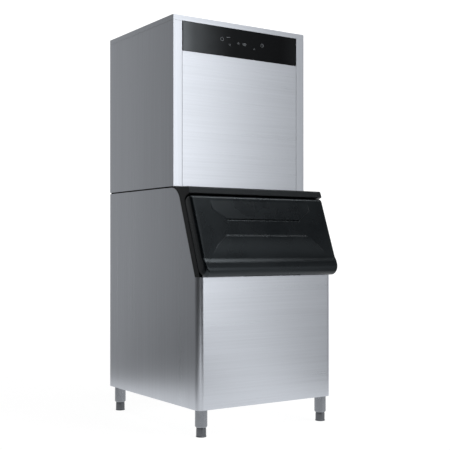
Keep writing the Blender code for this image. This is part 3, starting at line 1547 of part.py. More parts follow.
def make_condenser():
    """Finned block between two end plates that stand on the pan, with its return bends."""
    low, high = coil_box()
    count = int((COIL_LENGTH - COIL_PLATE) / FIN_PITCH)
    start = (low.y + high.y - count * FIN_PITCH) / 2
    coil = fin_block(low, high, start, count)
    for index, (near, far) in enumerate(((low.y, start + COIL_PLATE), (high.y, start + count * FIN_PITCH - COIL_PLATE))):
        near, far = sorted((near, far))
        end = box(f"end_plate_{index}", (low.x, near, PAN_FLOOR + GAP), (high.x, far, high.z))
        join(coil, end)
    step = COIL_HEIGHT / (BEND_COUNT + 1)
    middle = (low.x + high.x) / 2
    for index in range(BEND_COUNT):
        z = low.z + step * (index + 1)
        join(coil, return_bend(f"bend_{index}", middle, low.y, z))


def fin_block(low, high, start, count):
    """Plan slices of core and fin in turn, raised together into one solid."""
    face_low, face_high = low.x + COIL_PLATE / 2, high.x - COIL_PLATE / 2
    across = (face_low, face_low + FIN_DEPTH, face_high - FIN_DEPTH, face_high)
    foot = low.z + COIL_PLATE
    work = bmesh.new()
    root = [None, *(work.verts.new((x, start, foot)) for x in across[1:3]), None]
    for index in range(count):
        near = start + index * FIN_PITCH + FIN_PITCH - FIN_THICKNESS
        fin = [work.verts.new((x, near, foot)) for x in across]
        work.faces.new((root[1], root[2], fin[2], fin[1]))
        far = start + (index + 1) * FIN_PITCH
        root = [work.verts.new((x, far, foot)) for x in across]
        work.faces.new((*fin, *root[::-1]))
    raised = bmesh.ops.extrude_face_region(work, geom=list(work.faces))["geom"]
    tops = [item for item in raised if isinstance(item, bmesh.types.BMVert)]
    bmesh.ops.translate(work, verts=tops, vec=(0, 0, high.z - COIL_PLATE - foot))
    bmesh.ops.recalc_face_normals(work, faces=work.faces)
    return add_object("condenser_coil", mesh_from("condenser_coil", work), "aluminium")


def return_bend(name, x, y, z):
    """A U-bend of tube that joins two passes at the coil's front end."""
    inside = y + COIL_PLATE
    out = y - BEND_RADIUS
    points = [(x, inside, z - BEND_RADIUS), (x, out, z - BEND_RADIUS), (x, out, z + BEND_RADIUS), (x, inside, z + BEND_RADIUS)]
    return pipe(name, points, BEND_TUBE_RADIUS, BEND_RADIUS * 0.98, fineness=1)


def fan_centre():
    low, high = coil_box()
    return (low.y + high.y) / 2, (low.z + high.z) / 2


def shroud_face():
    """X of the shroud's sheet, on the inner side of the coil."""
    return coil_box()[0].x - GAP


def make_fan_shroud():
    """Sheet over the coil's inner face with a round collar that the fan turns in."""
    low, high = coil_box()
    face = shroud_face()
    y, z = fan_centre()
    plate_low = (face - SHROUD_SHEET, low.y, low.z)
    shroud = box("fan_shroud", plate_low, (face, high.y, high.z), "galvanised")
    radius = SHROUD_RADIUS + SHROUD_WALL
    join(shroud, rod("shroud_collar", (face - SHROUD_DEPTH, y, z), (face - SHROUD_SHEET / 2, y, z), radius))
    cut(shroud, rod("shroud_bore", (face - SHROUD_DEPTH - OVERRUN, y, z), (face + OVERRUN, y, z), SHROUD_RADIUS))


def make_fan():
    """Hub with twisted blades, turning about X inside the shroud's collar."""
    y, z = fan_centre()
    middle = shroud_face() - SHROUD_DEPTH / 2
    start, end = middle - FAN_WIDTH / 2, middle + FAN_WIDTH / 2
    fan = rod("condenser_fan", (start, y, z), (end, y, z), FAN_HUB_RADIUS, "black_plastic")
    for index in range(FAN_BLADES):
        join(fan, fan_blade(f"blade_{index}", middle, y, z, index * 2 * math.pi / FAN_BLADES))
    radius = FAN_SHAFT_RADIUS + GAP
    depth = start + FAN_SHAFT_LENGTH
    cut(fan, rod("fan_bore", (start - OVERRUN, y, z), (depth, y, z), radius, sides=SMALL_SIDES))
    hang_on(fan, "fan_axis", (middle, y, z), (1, 0, 0))


def fan_blade(name, x, y, z, angle):
    """A blade sector, pitched about its own radius."""
    spread = FAN_BLADE_SPAN / 2
    root, tip = FAN_HUB_RADIUS * 0.8, FAN_RADIUS
    steps = 4
    arc = [spread * (2 * step / steps - 1) for step in range(steps + 1)]
    outline = [(tip * math.cos(turn), tip * math.sin(turn)) for turn in arc]
    outline += [(root * math.cos(turn), root * math.sin(turn)) for turn in reversed(arc)]
    thick = FAN_BLADE_THICKNESS / 2
    place = (
        Matrix.Translation((x, y, z))
        @ SIDE
        @ Matrix.Rotation(angle, 4, "Z")
        @ Matrix.Rotation(blade_pitch(), 4, "X")
    )
    return plate(name, [outline], -thick, thick, place)


def blade_pitch():
    """The blade's pitch, no steeper than the collar's depth leaves room for."""
    chord = FAN_RADIUS * math.sin(FAN_BLADE_SPAN / 2)
    return min(FAN_BLADE_PITCH, math.asin(min(1.0, (SHROUD_DEPTH / 2 - FAN_BLADE_THICKNESS) / chord)))


def make_fan_motor():
    """Motor on four wire arms that reach the shroud."""
    y, z = fan_centre()
    middle = shroud_face() - SHROUD_DEPTH / 2
    nose = middle - FAN_WIDTH / 2 - FAN_MOTOR_GAP
    back = nose - FAN_MOTOR_LENGTH
    motor = rod("fan_motor", (back, y, z), (nose, y, z), FAN_MOTOR_RADIUS, "compressor_black")
    shaft_end = middle - FAN_WIDTH / 2 + FAN_SHAFT_LENGTH - GAP
    join(motor, rod("fan_shaft", (nose - FAN_MOTOR_GAP, y, z), (shaft_end, y, z), FAN_SHAFT_RADIUS, sides=SMALL_SIDES))
    clamp = (back + nose) / 2
    face = shroud_face() - SHROUD_SHEET - GAP
    reach = SHROUD_RADIUS + SHROUD_WALL + 2 * MOTOR_ARM_RADIUS
    for index in range(4):
        angle = math.pi / 4 + index * math.pi / 2
        side, up = math.cos(angle), math.sin(angle)
        points = [
            (clamp, y + side * FAN_MOTOR_RADIUS / 2, z + up * FAN_MOTOR_RADIUS / 2),
            (clamp, y + side * reach, z + up * reach),
            (face, y + side * reach, z + up * reach),
        ]
        join(motor, pipe(f"motor_arm_{index}", points, MOTOR_ARM_RADIUS, MOTOR_ARM_RADIUS * 2, fineness=1))


def drier_place():
    low, high = coil_box()
    return low.x, BACK - 2 * SHEET - DRIER_FROM_BACK


def make_piping():
    """Filter drier, expansion valve and the three refrigerant lines."""
    low, high = coil_box()
    x, y = compressor_place()
    can_foot = PAN_FLOOR + GAP + GROMMET_HEIGHT
    can_top = can_foot + COMPRESSOR_HEIGHT
    drier_x, drier_y = drier_place()
    drier_foot = PAN_FLOOR + DRIER_FOOT
    neck = DRIER_RADIUS
    profile = [
        (0, DRIER_LENGTH + neck),
        (DRIER_NECK_RADIUS, DRIER_LENGTH + neck),
        (DRIER_NECK_RADIUS, DRIER_LENGTH),
        (DRIER_RADIUS, DRIER_LENGTH - neck),
        (DRIER_RADIUS, neck),
        (DRIER_NECK_RADIUS, 0),
        (DRIER_NECK_RADIUS, -neck),
        (0, -neck),
    ]
    place = Matrix.Translation((drier_x, drier_y, drier_foot))
    drier = turned("filter_drier", profile, place, "copper", sides=SMALL_SIDES)
    clip_z = drier_foot + DRIER_LENGTH / 2
    inner_back = BACK - 2 * SHEET - 2 * GAP
    join(
        drier,
        box(
            "drier_clip",
            (drier_x - DRIER_CLIP, drier_y, clip_z - DRIER_CLIP),
            (drier_x + DRIER_CLIP, inner_back, clip_z + DRIER_CLIP),
        ),
    )
    coil_x = (low.x + high.x) / 2
    rear = high.y + GAP
    pipe(
        "discharge_line",
        [
            (x + COMPRESSOR_RADIUS / 2, y, can_top + GAP),
            (x + COMPRESSOR_RADIUS / 2, y, high.z - TUBE_BEND),
            (coil_x, y, high.z - TUBE_BEND),
            (coil_x, rear, high.z - TUBE_BEND),
        ],
        TUBE_RADIUS,
        TUBE_BEND * 0.8,
        "copper",
    )
    inlet = pipe(
        "drier_inlet",
        [
            (coil_x, rear, low.z + TUBE_BEND),
            (coil_x, drier_y, low.z + TUBE_BEND),
            (drier_x, drier_y, low.z + TUBE_BEND),
            (drier_x, drier_y, drier_foot),
        ],
        DRIER_NECK_RADIUS,
        TUBE_BEND * 0.6,
    )
    join(drier, inlet)
    valve = valve_place()
    drier_top = drier_foot + DRIER_LENGTH + neck + GAP
    high_run = drier_top + 2 * TUBE_BEND
    pipe(
        "liquid_line",
        [
            (drier_x, drier_y, drier_top),
            (drier_x, drier_y, high_run),
            (DIVIDER_X + 2 * TUBE_BEND, drier_y, high_run),
            (DIVIDER_X + 2 * TUBE_BEND, valve.y, high_run),
            (DIVIDER_X + 2 * TUBE_BEND, valve.y, valve.z),
            (valve.x + VALVE_BODY_LENGTH / 2 + GAP, valve.y, valve.z),
        ],
        TUBE_RADIUS,
        TUBE_BEND * 0.8,
        "copper",
    )
    make_expansion_valve(valve)
    suction_z = suction_height()
    pipe(
        "suction_line",
        [
            (COLUMN_X + BARREL_JACKET + GAP, column_y(), suction_z),
            (DIVIDER_X + 2 * TUBE_BEND + SUCTION_RADIUS, column_y(), suction_z),
            (x, column_y() + TUBE_BEND, suction_z),
            (x, y, suction_z),
            (x, y, can_top + GAP),
        ],
        SUCTION_RADIUS,
        TUBE_BEND,
        "copper",
    )


def column_y():
    return HEAD_FRONT + COLUMN_Y


def suction_height():
    return barrel_foot() + BARREL_HEIGHT - BARREL_FLANGE - TUBE_BEND


def valve_place():
    """Centre of the expansion valve, at the foot of the barrel on the divider's wet side."""
    x = COLUMN_X + BARREL_JACKET + GAP + VALVE_BODY_LENGTH / 2
    return Vector((x, column_y(), barrel_foot() + BARREL_FLANGE + VALVE_DOME_RADIUS))


def make_expansion_valve(place):
    reach = VALVE_BODY_LENGTH / 2
    low, high = place - Vector((reach, 0, 0)), place + Vector((reach, 0, 0))
    valve = rod("expansion_valve", low, high, VALVE_BODY_RADIUS, "brass", sides=SMALL_SIDES)
    top = place + Vector((0, 0, VALVE_DOME_RADIUS))
    join(valve, rod("valve_stem", place, top, VALVE_BODY_RADIUS, sides=SMALL_SIDES))
    dome = top + Vector((0, 0, VALVE_DOME))
    join(valve, rod("valve_dome", top - Vector((0, 0, GAP)), dome, VALVE_DOME_RADIUS, sides=SMALL_SIDES))


def divider_holes():
    """Where pipes pass the divider: name, point and radius."""
    valve = valve_place()
    return [
        ("liquid", (DIVIDER_X, valve.y, valve.z), TUBE_RADIUS + RUNNING_GAP),
        ("suction", (DIVIDER_X, column_y(), suction_height()), SUCTION_RADIUS + RUNNING_GAP),
    ]


# Ice making


def gearbox_foot():
    return PAN_FLOOR + GAP


def barrel_foot():
    return gearbox_foot() + GEARBOX_HEIGHT + GEARBOX_NECK + GAP


def make_gear_drive():
    """Gearbox under the barrel with its motor behind."""
    foot = gearbox_foot()
    half = GEARBOX_SIZE / 2
    y = column_y()
    outline = box_outline(COLUMN_X - half, y - half, COLUMN_X + half, y + half, GEARBOX_ROUND)
    gearbox = plate("gearbox", [outline], foot, foot + GEARBOX_HEIGHT, PLAN, "cast_grey")
    top = foot + GEARBOX_HEIGHT
    join(gearbox, rod("gearbox_neck", (COLUMN_X, y, top - GEARBOX_NECK), (COLUMN_X, y, top + GEARBOX_NECK), GEARBOX_NECK_RADIUS))
    socket_foot = top + GEARBOX_NECK - SPIGOT_DEPTH - GAP
    radius = SPIGOT_RADIUS + GAP
    cut(gearbox, rod("spigot_socket", (COLUMN_X, y, socket_foot), (COLUMN_X, y, top + OVERRUN), radius, sides=AUGER_STEPS))
    start = y + half + GAP
    z = foot + MOTOR_FLANGE_RADIUS / 2 + GEARBOX_HEIGHT / 4
    z = max(z, foot + MOTOR_FLANGE_RADIUS + GAP)
    motor = rod("gear_motor", (COLUMN_X, start, z), (COLUMN_X, start + MOTOR_LENGTH, z), MOTOR_RADIUS, "compressor_black")
    join(motor, rod("motor_flange", (COLUMN_X, start, z), (COLUMN_X, start + MOTOR_FLANGE, z), MOTOR_FLANGE_RADIUS))


def make_barrel():
    """Insulated freezing cylinder with a flange at each end and its ports."""
    foot = barrel_foot()
    y = column_y()
    flange, jacket, bore = BARREL_FLANGE_RADIUS, BARREL_JACKET, BARREL_BORE
    profile = [
        (bore, BARREL_HEIGHT),
        (flange, BARREL_HEIGHT),
        (flange, BARREL_HEIGHT - BARREL_FLANGE),
        (jacket, BARREL_HEIGHT - BARREL_FLANGE),
        (jacket, BARREL_FLANGE),
        (flange, BARREL_FLANGE),
        (flange, 0),
        (bore, 0),
    ]
    place = Matrix.Translation((COLUMN_X, y, foot))
    barrel = turned("evaporator_barrel", profile, place, "steel", closed=True)
    port_z = foot + FEED_PORT_RISE
    port_end = (COLUMN_X, y + BARREL_PORT_REACH, port_z)
    start = (COLUMN_X, y + (bore + jacket) / 2, port_z)
    join(barrel, rod("feed_port", start, port_end, HOSE_STUB_RADIUS, sides=SMALL_SIDES))
    hole_end = (COLUMN_X, y + BARREL_PORT_REACH + OVERRUN, port_z)
    cut(barrel, rod("feed_hole", (COLUMN_X, y, port_z), hole_end, HOSE_STUB_RADIUS / 2, sides=SMALL_SIDES))


def auger_foot():
    return barrel_foot() + GAP - SPIGOT_DEPTH


def make_auger():
    """Shaft with one helical flight that scrapes the barrel, a spigot below and a journal above."""
    y = column_y()
    foot = auger_foot()
    shaft_foot = barrel_foot() + GAP - foot
    shaft_top = shaft_foot + BARREL_HEIGHT + HEAD_BODY_HEIGHT - HEAD_ROOF - 2 * GAP
    profile = [
        (0, shaft_top + JOURNAL_HEIGHT),
        (JOURNAL_RADIUS, shaft_top + JOURNAL_HEIGHT),
        (JOURNAL_RADIUS, shaft_top),
        (AUGER_SHAFT_RADIUS, shaft_top),
        (AUGER_SHAFT_RADIUS, shaft_foot),
        (SPIGOT_RADIUS, shaft_foot),
        (SPIGOT_RADIUS, 0),
        (0, 0),
    ]
    auger = turned("auger", profile, Matrix.Translation((COLUMN_X, y, foot)), "steel", sides=AUGER_STEPS)
    join(auger, auger_flight())
    hang_on(auger, "auger_axis", (COLUMN_X, y, foot), (0, 0, 1))


def auger_flight():
    """The flight's section, swept up the shaft, with its two ends closed."""
    root = AUGER_SHAFT_RADIUS * 0.9
    section = [
        (root, AUGER_ROOT / 2),
        (AUGER_RADIUS, AUGER_EDGE / 2),
        (AUGER_RADIUS, -AUGER_EDGE / 2),
        (root, -AUGER_ROOT / 2),
    ]
    work = bmesh.new()
    rings = []
    for step in range(AUGER_TURNS * AUGER_STEPS + 1):
        angle = 2 * math.pi * (step % AUGER_STEPS) / AUGER_STEPS
        rise = AUGER_PITCH * step / AUGER_STEPS
        ring = [
            work.verts.new((radius * math.cos(angle), radius * math.sin(angle), height + rise))
            for radius, height in section
        ]
        rings.append(ring)
    for lower, upper in zip(rings, rings[1:]):
        for side in range(len(section)):
            after = (side + 1) % len(section)
            work.faces.new((lower[side], lower[after], upper[after], upper[side]))
    work.faces.new(rings[0][::-1])
    work.faces.new(rings[-1])
    bmesh.ops.recalc_face_normals(work, faces=work.faces)
    start = barrel_foot() + AUGER_START
    return add_object("flight", mesh_from("flight", work), None, Matrix.Translation((COLUMN_X, column_y(), start)))


def make_breaker_head():
    """Casting on the barrel that splits the ice against its ribs and turns it out of a side spout."""
    y = column_y()
    foot = barrel_foot() + BARREL_HEIGHT + GAP
    top = foot + HEAD_BODY_HEIGHT
    head = rod("breaker_head", (COLUMN_X, y, foot), (COLUMN_X, y, top), HEAD_RADIUS, "cast_grey")
    join(head, rod("bearing_cap", (COLUMN_X, y, top - GAP), (COLUMN_X, y, top + BEARING_HEIGHT), BEARING_RADIUS))
    half = SPOUT_WIDTH / 2
    spout_foot = foot + SPOUT_WALL
    spout = box(
        "spout",
        (COLUMN_X - half, y - SPOUT_REACH, spout_foot - SPOUT_WALL / 2),
        (COLUMN_X + half, y, spout_foot + SPOUT_HEIGHT),
    )
    join(head, spout)
    cut(head, rod("head_bore", (COLUMN_X, y, foot - OVERRUN), (COLUMN_X, y, top - HEAD_ROOF), BARREL_BORE))
    inside = half - SPOUT_WALL
    passage = box(
        "spout_passage",
        (COLUMN_X - inside, y - SPOUT_REACH - OVERRUN, spout_foot + SPOUT_WALL / 2),
        (COLUMN_X + inside, y, spout_foot + SPOUT_HEIGHT - SPOUT_WALL),
    )
    cut(head, passage)
    bore = JOURNAL_RADIUS + GAP
    journal_top = top - HEAD_ROOF + JOURNAL_HEIGHT + GAP
    cut(head, rod("journal_bore", (COLUMN_X, y, foot), (COLUMN_X, y, journal_top), bore, sides=AUGER_STEPS))
    for index in range(BREAKER_RIBS):
        angle = math.pi * (index + 0.5) / BREAKER_RIBS
        join(head, breaker_rib(f"rib_{index}", angle, foot, top - HEAD_ROOF))


def breaker_rib(name, angle, foot, top):
    """An upright rib on the back half of the breaker's bore."""
    direction = Vector((math.cos(angle), math.sin(angle), 0))
    inner = BARREL_BORE - BREAKER_RIB_DEPTH
    outer = (BARREL_BORE + HEAD_RADIUS) / 2
    middle = Vector((COLUMN_X, column_y(), (foot + top) / 2)) + direction * (inner + outer) / 2
    work = bmesh.new()
    size = Matrix.Diagonal((outer - inner, BREAKER_RIB, top - foot, 1))
    bmesh.ops.create_cube(work, size=1, matrix=size)
    place = Matrix.Translation(middle) @ Matrix.Rotation(angle, 4, "Z")
    return add_object(name, mesh_from(name, work), None, place)


def make_chute():
    """Duct that leads the ice from the spout forward and down through the pan."""
    foot = PAN_FLOOR + GAP
    spout_foot = barrel_foot() + BARREL_HEIGHT + GAP + SPOUT_WALL / 2
    mouth_foot = spout_foot - CHUTE_WALL - GAP
    mouth_top = spout_foot + SPOUT_WALL / 2 + SPOUT_HEIGHT + CHUTE_WALL + GAP
    back = column_y() - SPOUT_REACH + CHUTE_CLAMP
    front = HEAD_FRONT + CHUTE_FRONT
    rear = front + CHUTE_LENGTH
    wall = CHUTE_WALL

    def outline(inset, past):
        return [
            (front + inset, foot - past),
            (rear - inset, foot - past),
            (rear - inset, mouth_foot - CHUTE_SLOPE + inset),
            (back - CHUTE_CLAMP, mouth_foot + inset),
            (back + past, mouth_foot + inset),
            (back + past, mouth_top - inset),
            (front + CHUTE_SLOPE + inset, mouth_top + CHUTE_ROOF_RISE - inset),
            (front + inset, mouth_top - CHUTE_SLOPE - inset),
        ]

    half = CHUTE_WIDTH / 2
    chute = plate("ice_chute", [outline(0.0, 0.0)], COLUMN_X - half, COLUMN_X + half, SIDE, "white_plastic")
    inner = half - wall
    cut(chute, plate("chute_inside", [outline(wall, OVERRUN)], COLUMN_X - inner, COLUMN_X + inner, SIDE))
    spout_half = SPOUT_WIDTH / 2 + GAP
    for side in (-1, 1):
        low, high = sorted((side * spout_half, side * (half - wall / 2)))
        filler = box(
            f"chute_cheek_{side}",
            (COLUMN_X + low, back - CHUTE_CLAMP + GAP, mouth_foot + wall / 2),
            (COLUMN_X + high, back - GAP, mouth_top - wall / 2),
        )
        join(chute, filler)


# Water


def tank_box():
    """Low and high corners of the float reservoir, hung on the back panel behind the barrel."""
    high_x = DIVIDER_X - TANK_SIDE_GAP
    back = BACK - 2 * SHEET - 2 * GAP - TANK_BACK_GAP
    foot = PAN_FLOOR + TANK_FOOT
    return (
        Vector((high_x - TANK_WIDTH, back - TANK_DEPTH, foot)),
        Vector((high_x, back, foot + TANK_HEIGHT)),
    )


def make_reservoir():
    """Open float tank with two brackets to the back panel, a hose stub and cheeks for the float's pin."""
    low, high = tank_box()
    outline = box_outline(low.x, low.y, high.x, high.y, TANK_ROUND)
    tank = plate("water_reservoir", [outline], low.z, high.z, PLAN, "blue_plastic")
    wall = TANK_WALL
    inner = box_outline(low.x + wall, low.y + wall, high.x - wall, high.y - wall, TANK_ROUND - wall)
    cut(tank, plate("tank_inside", [inner], low.z + wall, high.z + OVERRUN, PLAN))
    panel = BACK - 2 * SHEET - 2 * GAP
    for index, x in enumerate((low.x + TANK_BRACKET_INSET, high.x - TANK_BRACKET_INSET)):
        bracket = box(
            f"tank_bracket_{index}",
            (x - wall, high.y - wall / 2, low.z + wall),
            (x + wall, panel, high.z - TANK_BRACKET_INSET),
        )
        join(tank, bracket)
    stub = hose_start()
    join(tank, rod("tank_stub", stub + Vector((0, 0, HOSE_STUB + wall)), stub, HOSE_STUB_RADIUS, sides=SMALL_SIDES))
    drain_top = stub + Vector((0, 0, HOSE_STUB + wall + OVERRUN))
    drain_foot = stub - Vector((0, 0, OVERRUN))
    cut(tank, rod("tank_stub_bore", drain_top, drain_foot, HOSE_STUB_RADIUS / 2, sides=SMALL_SIDES))
    pivot = float_pivot()
    for side in (-1, 1):
        near = pivot.y + side * (FLOAT_EYE_WIDTH / 2 + RUNNING_GAP)
        far = near + side * FLOAT_CHEEK
        y_low, y_high = sorted((near, far))
        cheek = box(
            f"float_cheek_{side}",
            (low.x + wall / 2, y_low, pivot.z - FLOAT_PIVOT_RADIUS),
            (pivot.x + FLOAT_PIVOT_RADIUS, y_high, pivot.z + FLOAT_PIVOT_RADIUS),
        )
        join(tank, cheek)
    reach = FLOAT_EYE_WIDTH / 2 + RUNNING_GAP + FLOAT_CHEEK / 2
    start, end = pivot - Vector((0, reach, 0)), pivot + Vector((0, reach, 0))
    join(tank, rod("float_pin", start, end, FLOAT_PIN_RADIUS, sides=SMALL_SIDES))


def hose_start():
    """Lower end of the reservoir's outlet stub."""
    low, high = tank_box()
    return Vector((COLUMN_X, (low.y + high.y) / 2, low.z - HOSE_STUB))


def float_pivot():
    low, high = tank_box()
    return Vector((low.x + FLOAT_PIVOT_INSET, (low.y + high.y) / 2, high.z - FLOAT_PIVOT_DROP))


def make_float():
    """Float on its arm, hanging at the low stop of an empty tank."""
    pivot = float_pivot()
    direction = Vector((math.cos(FLOAT_HANG), 0, -math.sin(FLOAT_HANG)))
    end = pivot + direction * FLOAT_ARM_LENGTH
    reach = Vector((0, FLOAT_EYE_WIDTH / 2, 0))
    arm = rod("float_arm", pivot - reach, pivot + reach, FLOAT_PIVOT_RADIUS, "white_plastic", sides=SMALL_SIDES)
    join(arm, rod("float_wire", pivot + direction * WIRE_ROOT_SHARE * FLOAT_PIVOT_RADIUS, end, FLOAT_ARM_RADIUS, sides=SMALL_SIDES))
    half = direction * FLOAT_LENGTH / 2
    join(arm, rod("float_ball", end - half, end + half, FLOAT_RADIUS, sides=SMALL_SIDES))
    bore = FLOAT_PIN_RADIUS + GAP
    cut(arm, rod("eye_bore", pivot - 2 * reach, pivot + 2 * reach, bore, sides=SMALL_SIDES))
    hang_on(arm, "float_axis", pivot, (0, -1, 0))


def make_feed_hose():
    """Hose from the reservoir down to the barrel's feed port."""
    start = hose_start()
    port = Vector((COLUMN_X, column_y() + BARREL_PORT_REACH, barrel_foot() + FEED_PORT_RISE))
    points = [start - Vector((0, 0, GAP)), Vector((start.x, start.y, port.z)), port + Vector((0, GAP, 0))]
    pipe("feed_hose", points, HOSE_RADIUS, HOSE_BEND, "white_plastic")


def build():
    make_bin_shell()
    make_bin_back_panel()
    make_bin_base()
    make_bin_foam()
    make_bin_liner()
    make_bin_drain()
    make_level_sensor()
    make_legs()
    make_seam_gasket()
    make_door_frame()
    make_hinge_pins()
    make_lid()
    make_lid_inner_panel()
    make_lid_gasket()
    make_base_pan()
    make_side_panels()
    make_back_panel()
    make_top_cover()
    make_front_panel()
    make_display()
    make_cross_rail()
    make_divider()
    make_electrical_box()
    make_back_fittings()
    make_compressor()
    make_condenser()
    make_fan_shroud()
    make_fan()
    make_fan_motor()
    make_piping()
    make_gear_drive()
    make_barrel()
    make_auger()
    make_breaker_head()
    make_chute()
    make_reservoir()
    make_float()
    make_feed_hose()


clear_scene()
PARTS = collection("flake_ice_maker")
CUTTERS = collection("flake_ice_maker_cutters")
build()
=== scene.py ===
"""Looks of the flake ice maker: fine shapes, finishes, studio and camera, laid out as a Blender add-on.

Metres, +Z up, -Y is the machine's front. Every piece stands where its CAD node stands, and rides on
the same body. A turned piece's profile is a row of (radius, height) points, from its far end to its near end.
"""

import json
import math

import bmesh
import bpy
import numpy as np
from bpy.props import FloatProperty, FloatVectorProperty, PointerProperty
from mathutils import Matrix, Vector

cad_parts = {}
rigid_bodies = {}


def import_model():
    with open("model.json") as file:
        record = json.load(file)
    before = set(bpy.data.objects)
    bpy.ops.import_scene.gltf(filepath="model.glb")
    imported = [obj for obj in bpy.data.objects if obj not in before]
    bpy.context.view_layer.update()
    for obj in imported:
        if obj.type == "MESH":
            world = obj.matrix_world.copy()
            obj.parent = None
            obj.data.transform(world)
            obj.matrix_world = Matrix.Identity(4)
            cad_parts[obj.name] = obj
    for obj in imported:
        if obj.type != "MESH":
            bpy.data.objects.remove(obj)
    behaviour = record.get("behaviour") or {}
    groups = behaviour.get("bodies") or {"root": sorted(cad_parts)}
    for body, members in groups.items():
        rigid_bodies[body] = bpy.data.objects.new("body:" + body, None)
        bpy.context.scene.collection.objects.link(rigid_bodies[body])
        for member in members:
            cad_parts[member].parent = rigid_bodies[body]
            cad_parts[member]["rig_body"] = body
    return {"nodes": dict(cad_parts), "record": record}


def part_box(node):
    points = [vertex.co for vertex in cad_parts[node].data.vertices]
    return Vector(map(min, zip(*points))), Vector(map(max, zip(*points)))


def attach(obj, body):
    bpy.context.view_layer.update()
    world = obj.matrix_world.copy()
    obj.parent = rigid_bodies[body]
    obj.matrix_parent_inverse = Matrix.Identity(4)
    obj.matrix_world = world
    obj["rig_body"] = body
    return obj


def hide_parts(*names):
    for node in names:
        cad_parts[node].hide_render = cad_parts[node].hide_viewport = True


bl_info = {
    "name": "Flake Ice Maker",
    "version": (1, 0, 0),
    "blender": (4, 5, 0),
    "location": "3D View > Sidebar > Ice Maker",
    "description": "Builds the fine shapes, finishes and studio of a flake ice maker",
    "category": "Add Mesh",
}

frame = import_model()

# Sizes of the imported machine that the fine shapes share, in metres
HALF = 0.280
HEAD_FRONT = -0.147696
BACK = 0.332304
BIN_FRONT = -0.307696
BIN_FOOT = 0.090
BIN_TOP = 0.8225
HEAD_FOOT = 0.8275
SHEET = 0.001
FOAM_WALL = 0.045
GAP = 0.0003
OVERRUN = 0.010

# Bin shell: its rounded corners, the bend at its back, the levels of its rows, and the sloping cut's rear end
SHELL_CORNER = 0.022
SHELL_BEND = 0.0015
SHELL_RETURN = 0.018
SHELL_LEVELS = (0.2, 0.35, 0.5)
LEDGE_WIDTH = 0.016
CUT_END = -0.11

# Sloping door's frame
DOOR_TILT = math.radians(20.5)
CUT_SETBACK = 0.027
CUT_ROUND = 0.060
DOOR_DROP = 0.2995
FRAME_THICKNESS = 0.0272
FRAME_FRONT_ROUND = 0.008
FRAME_LIP_ROUND = 0.002
FRAME_INNER_ROUND = 0.018
FRAME_TAIL = 0.002
BROW_LIP_LENGTH = 0.034
BROW_LIP_HEIGHT = 0.011
MOUTH_TOP = 0.0815
MOUTH_FOOT = 0.2795
MOUTH_SIDE_GAP = 0.0013
MOUTH_ROUND = 0.012
COLLAR_WALL = 0.0037
COLLAR_DEPTH = 0.055
MOUTH_HALF = HALF - SHEET - FOAM_WALL - COLLAR_WALL - MOUTH_SIDE_GAP

# Lid
LID_THICKNESS = 0.0384
LID_GAP = 0.0015
LID_SIDE_GAP = 0.001
LID_HALF = HALF - LID_SIDE_GAP
LID_TOP = 0.0415
LID_TOP_GAP = 0.003
LID_BACK_ROUND = 0.0185
LID_TOP_ROUND = 0.014
LID_FOOT_ROUND = 0.018
LID_WALL = 0.003
LID_EDGE_ROUND = 0.009
NOSE_ROUND = 0.0242
NOSE_START = 0.268
NOSE_RAMP = 0.018
NOSE_SWEEP = 0.040
NOSE_END = 0.3005
NOSE_SOLID = 0.026
LID_SLIDE = 0.250
GRIP_FADE = 0.066
EMBOSS = 0.004
FINGER_FRONT = HEAD_FRONT - 0.202607 + 0.012
FINGER_HALF = LID_HALF - 0.159
FINGER_WIDTH = 0.018
FINGER_ROUND = 0.0088
FINGER_DEPTH = 0.022

# Hinge
EAR_THICKNESS = 0.010
EAR_INSET = 0.008
EAR_OUTER = LID_HALF - LID_WALL - EAR_INSET
EAR_NECK = 0.007
EAR_SLOT_GAP = 0.002
EAR_SLOT_FOOT = 0.065
PIVOT_DOWN = LID_TOP + LID_BACK_ROUND
PIVOT_OUT = LID_GAP + LID_BACK_ROUND
PIN_RADIUS = 0.004
PIN_REACH = 0.01025
BOSS_RADIUS = 0.008
BOSS_LENGTH = 0.0025

# Works in the head: the auger's axis, where the coil's pipes run, and the expansion valve's middle
COLUMN = Vector((-0.160, 0.142304))
AUGER_FOOT = 0.9156
COIL_BACK = HEAD_FRONT + 0.360
COIL_LOW = Vector((HALF - SHEET - 0.050, HEAD_FRONT + 0.060, 0.859))
COIL_HIGH = Vector((HALF - SHEET - 0.014, COIL_BACK, 1.159))
COIL_PLATE_FOOT = 0.8293
VALVE = Vector((-0.0757, COLUMN.y, 0.9426))

# Fineness of round work, the distance at which points are one, and how flat a face has to be to stay whole
FINE_STEP = math.radians(5)
SHELL_STEP = math.radians(4)
TUBE_STEP = math.radians(9)
WELD = 0.00001
CAD_WELD = 0.00002
FLAT_ANGLE = math.radians(0.5)


# Shapes


def fillet(before, here, after, radius):
    """The centre of a corner's arc, the way from there to the arc's start, and the angle that it turns."""
    to_before, to_after = (before - here).normalized(), (after - here).normalized()
    half = to_before.angle(to_after) / 2
    centre = here + (to_before + to_after).normalized() * radius / math.sin(half)
    return centre, here + to_before * radius / math.tan(half) - centre, math.pi - 2 * half


def arc(corner, before, after, steps=None, step=FINE_STEP):
    """Points on the arc of a flat (a, b, radius) corner, in a number of steps or in steps of an angle."""
    before, here, after = Vector(before[:2]), Vector(corner[:2]), Vector(after[:2])
    centre, start, turn = fillet(before, here, after, corner[2])
    steps = steps or max(1, math.ceil(turn / step))
    if (before - here).cross(after - here) > 0:
        turn = -turn
    return [centre + Matrix.Rotation(turn * k / steps, 2) @ start for k in range(steps + 1)]


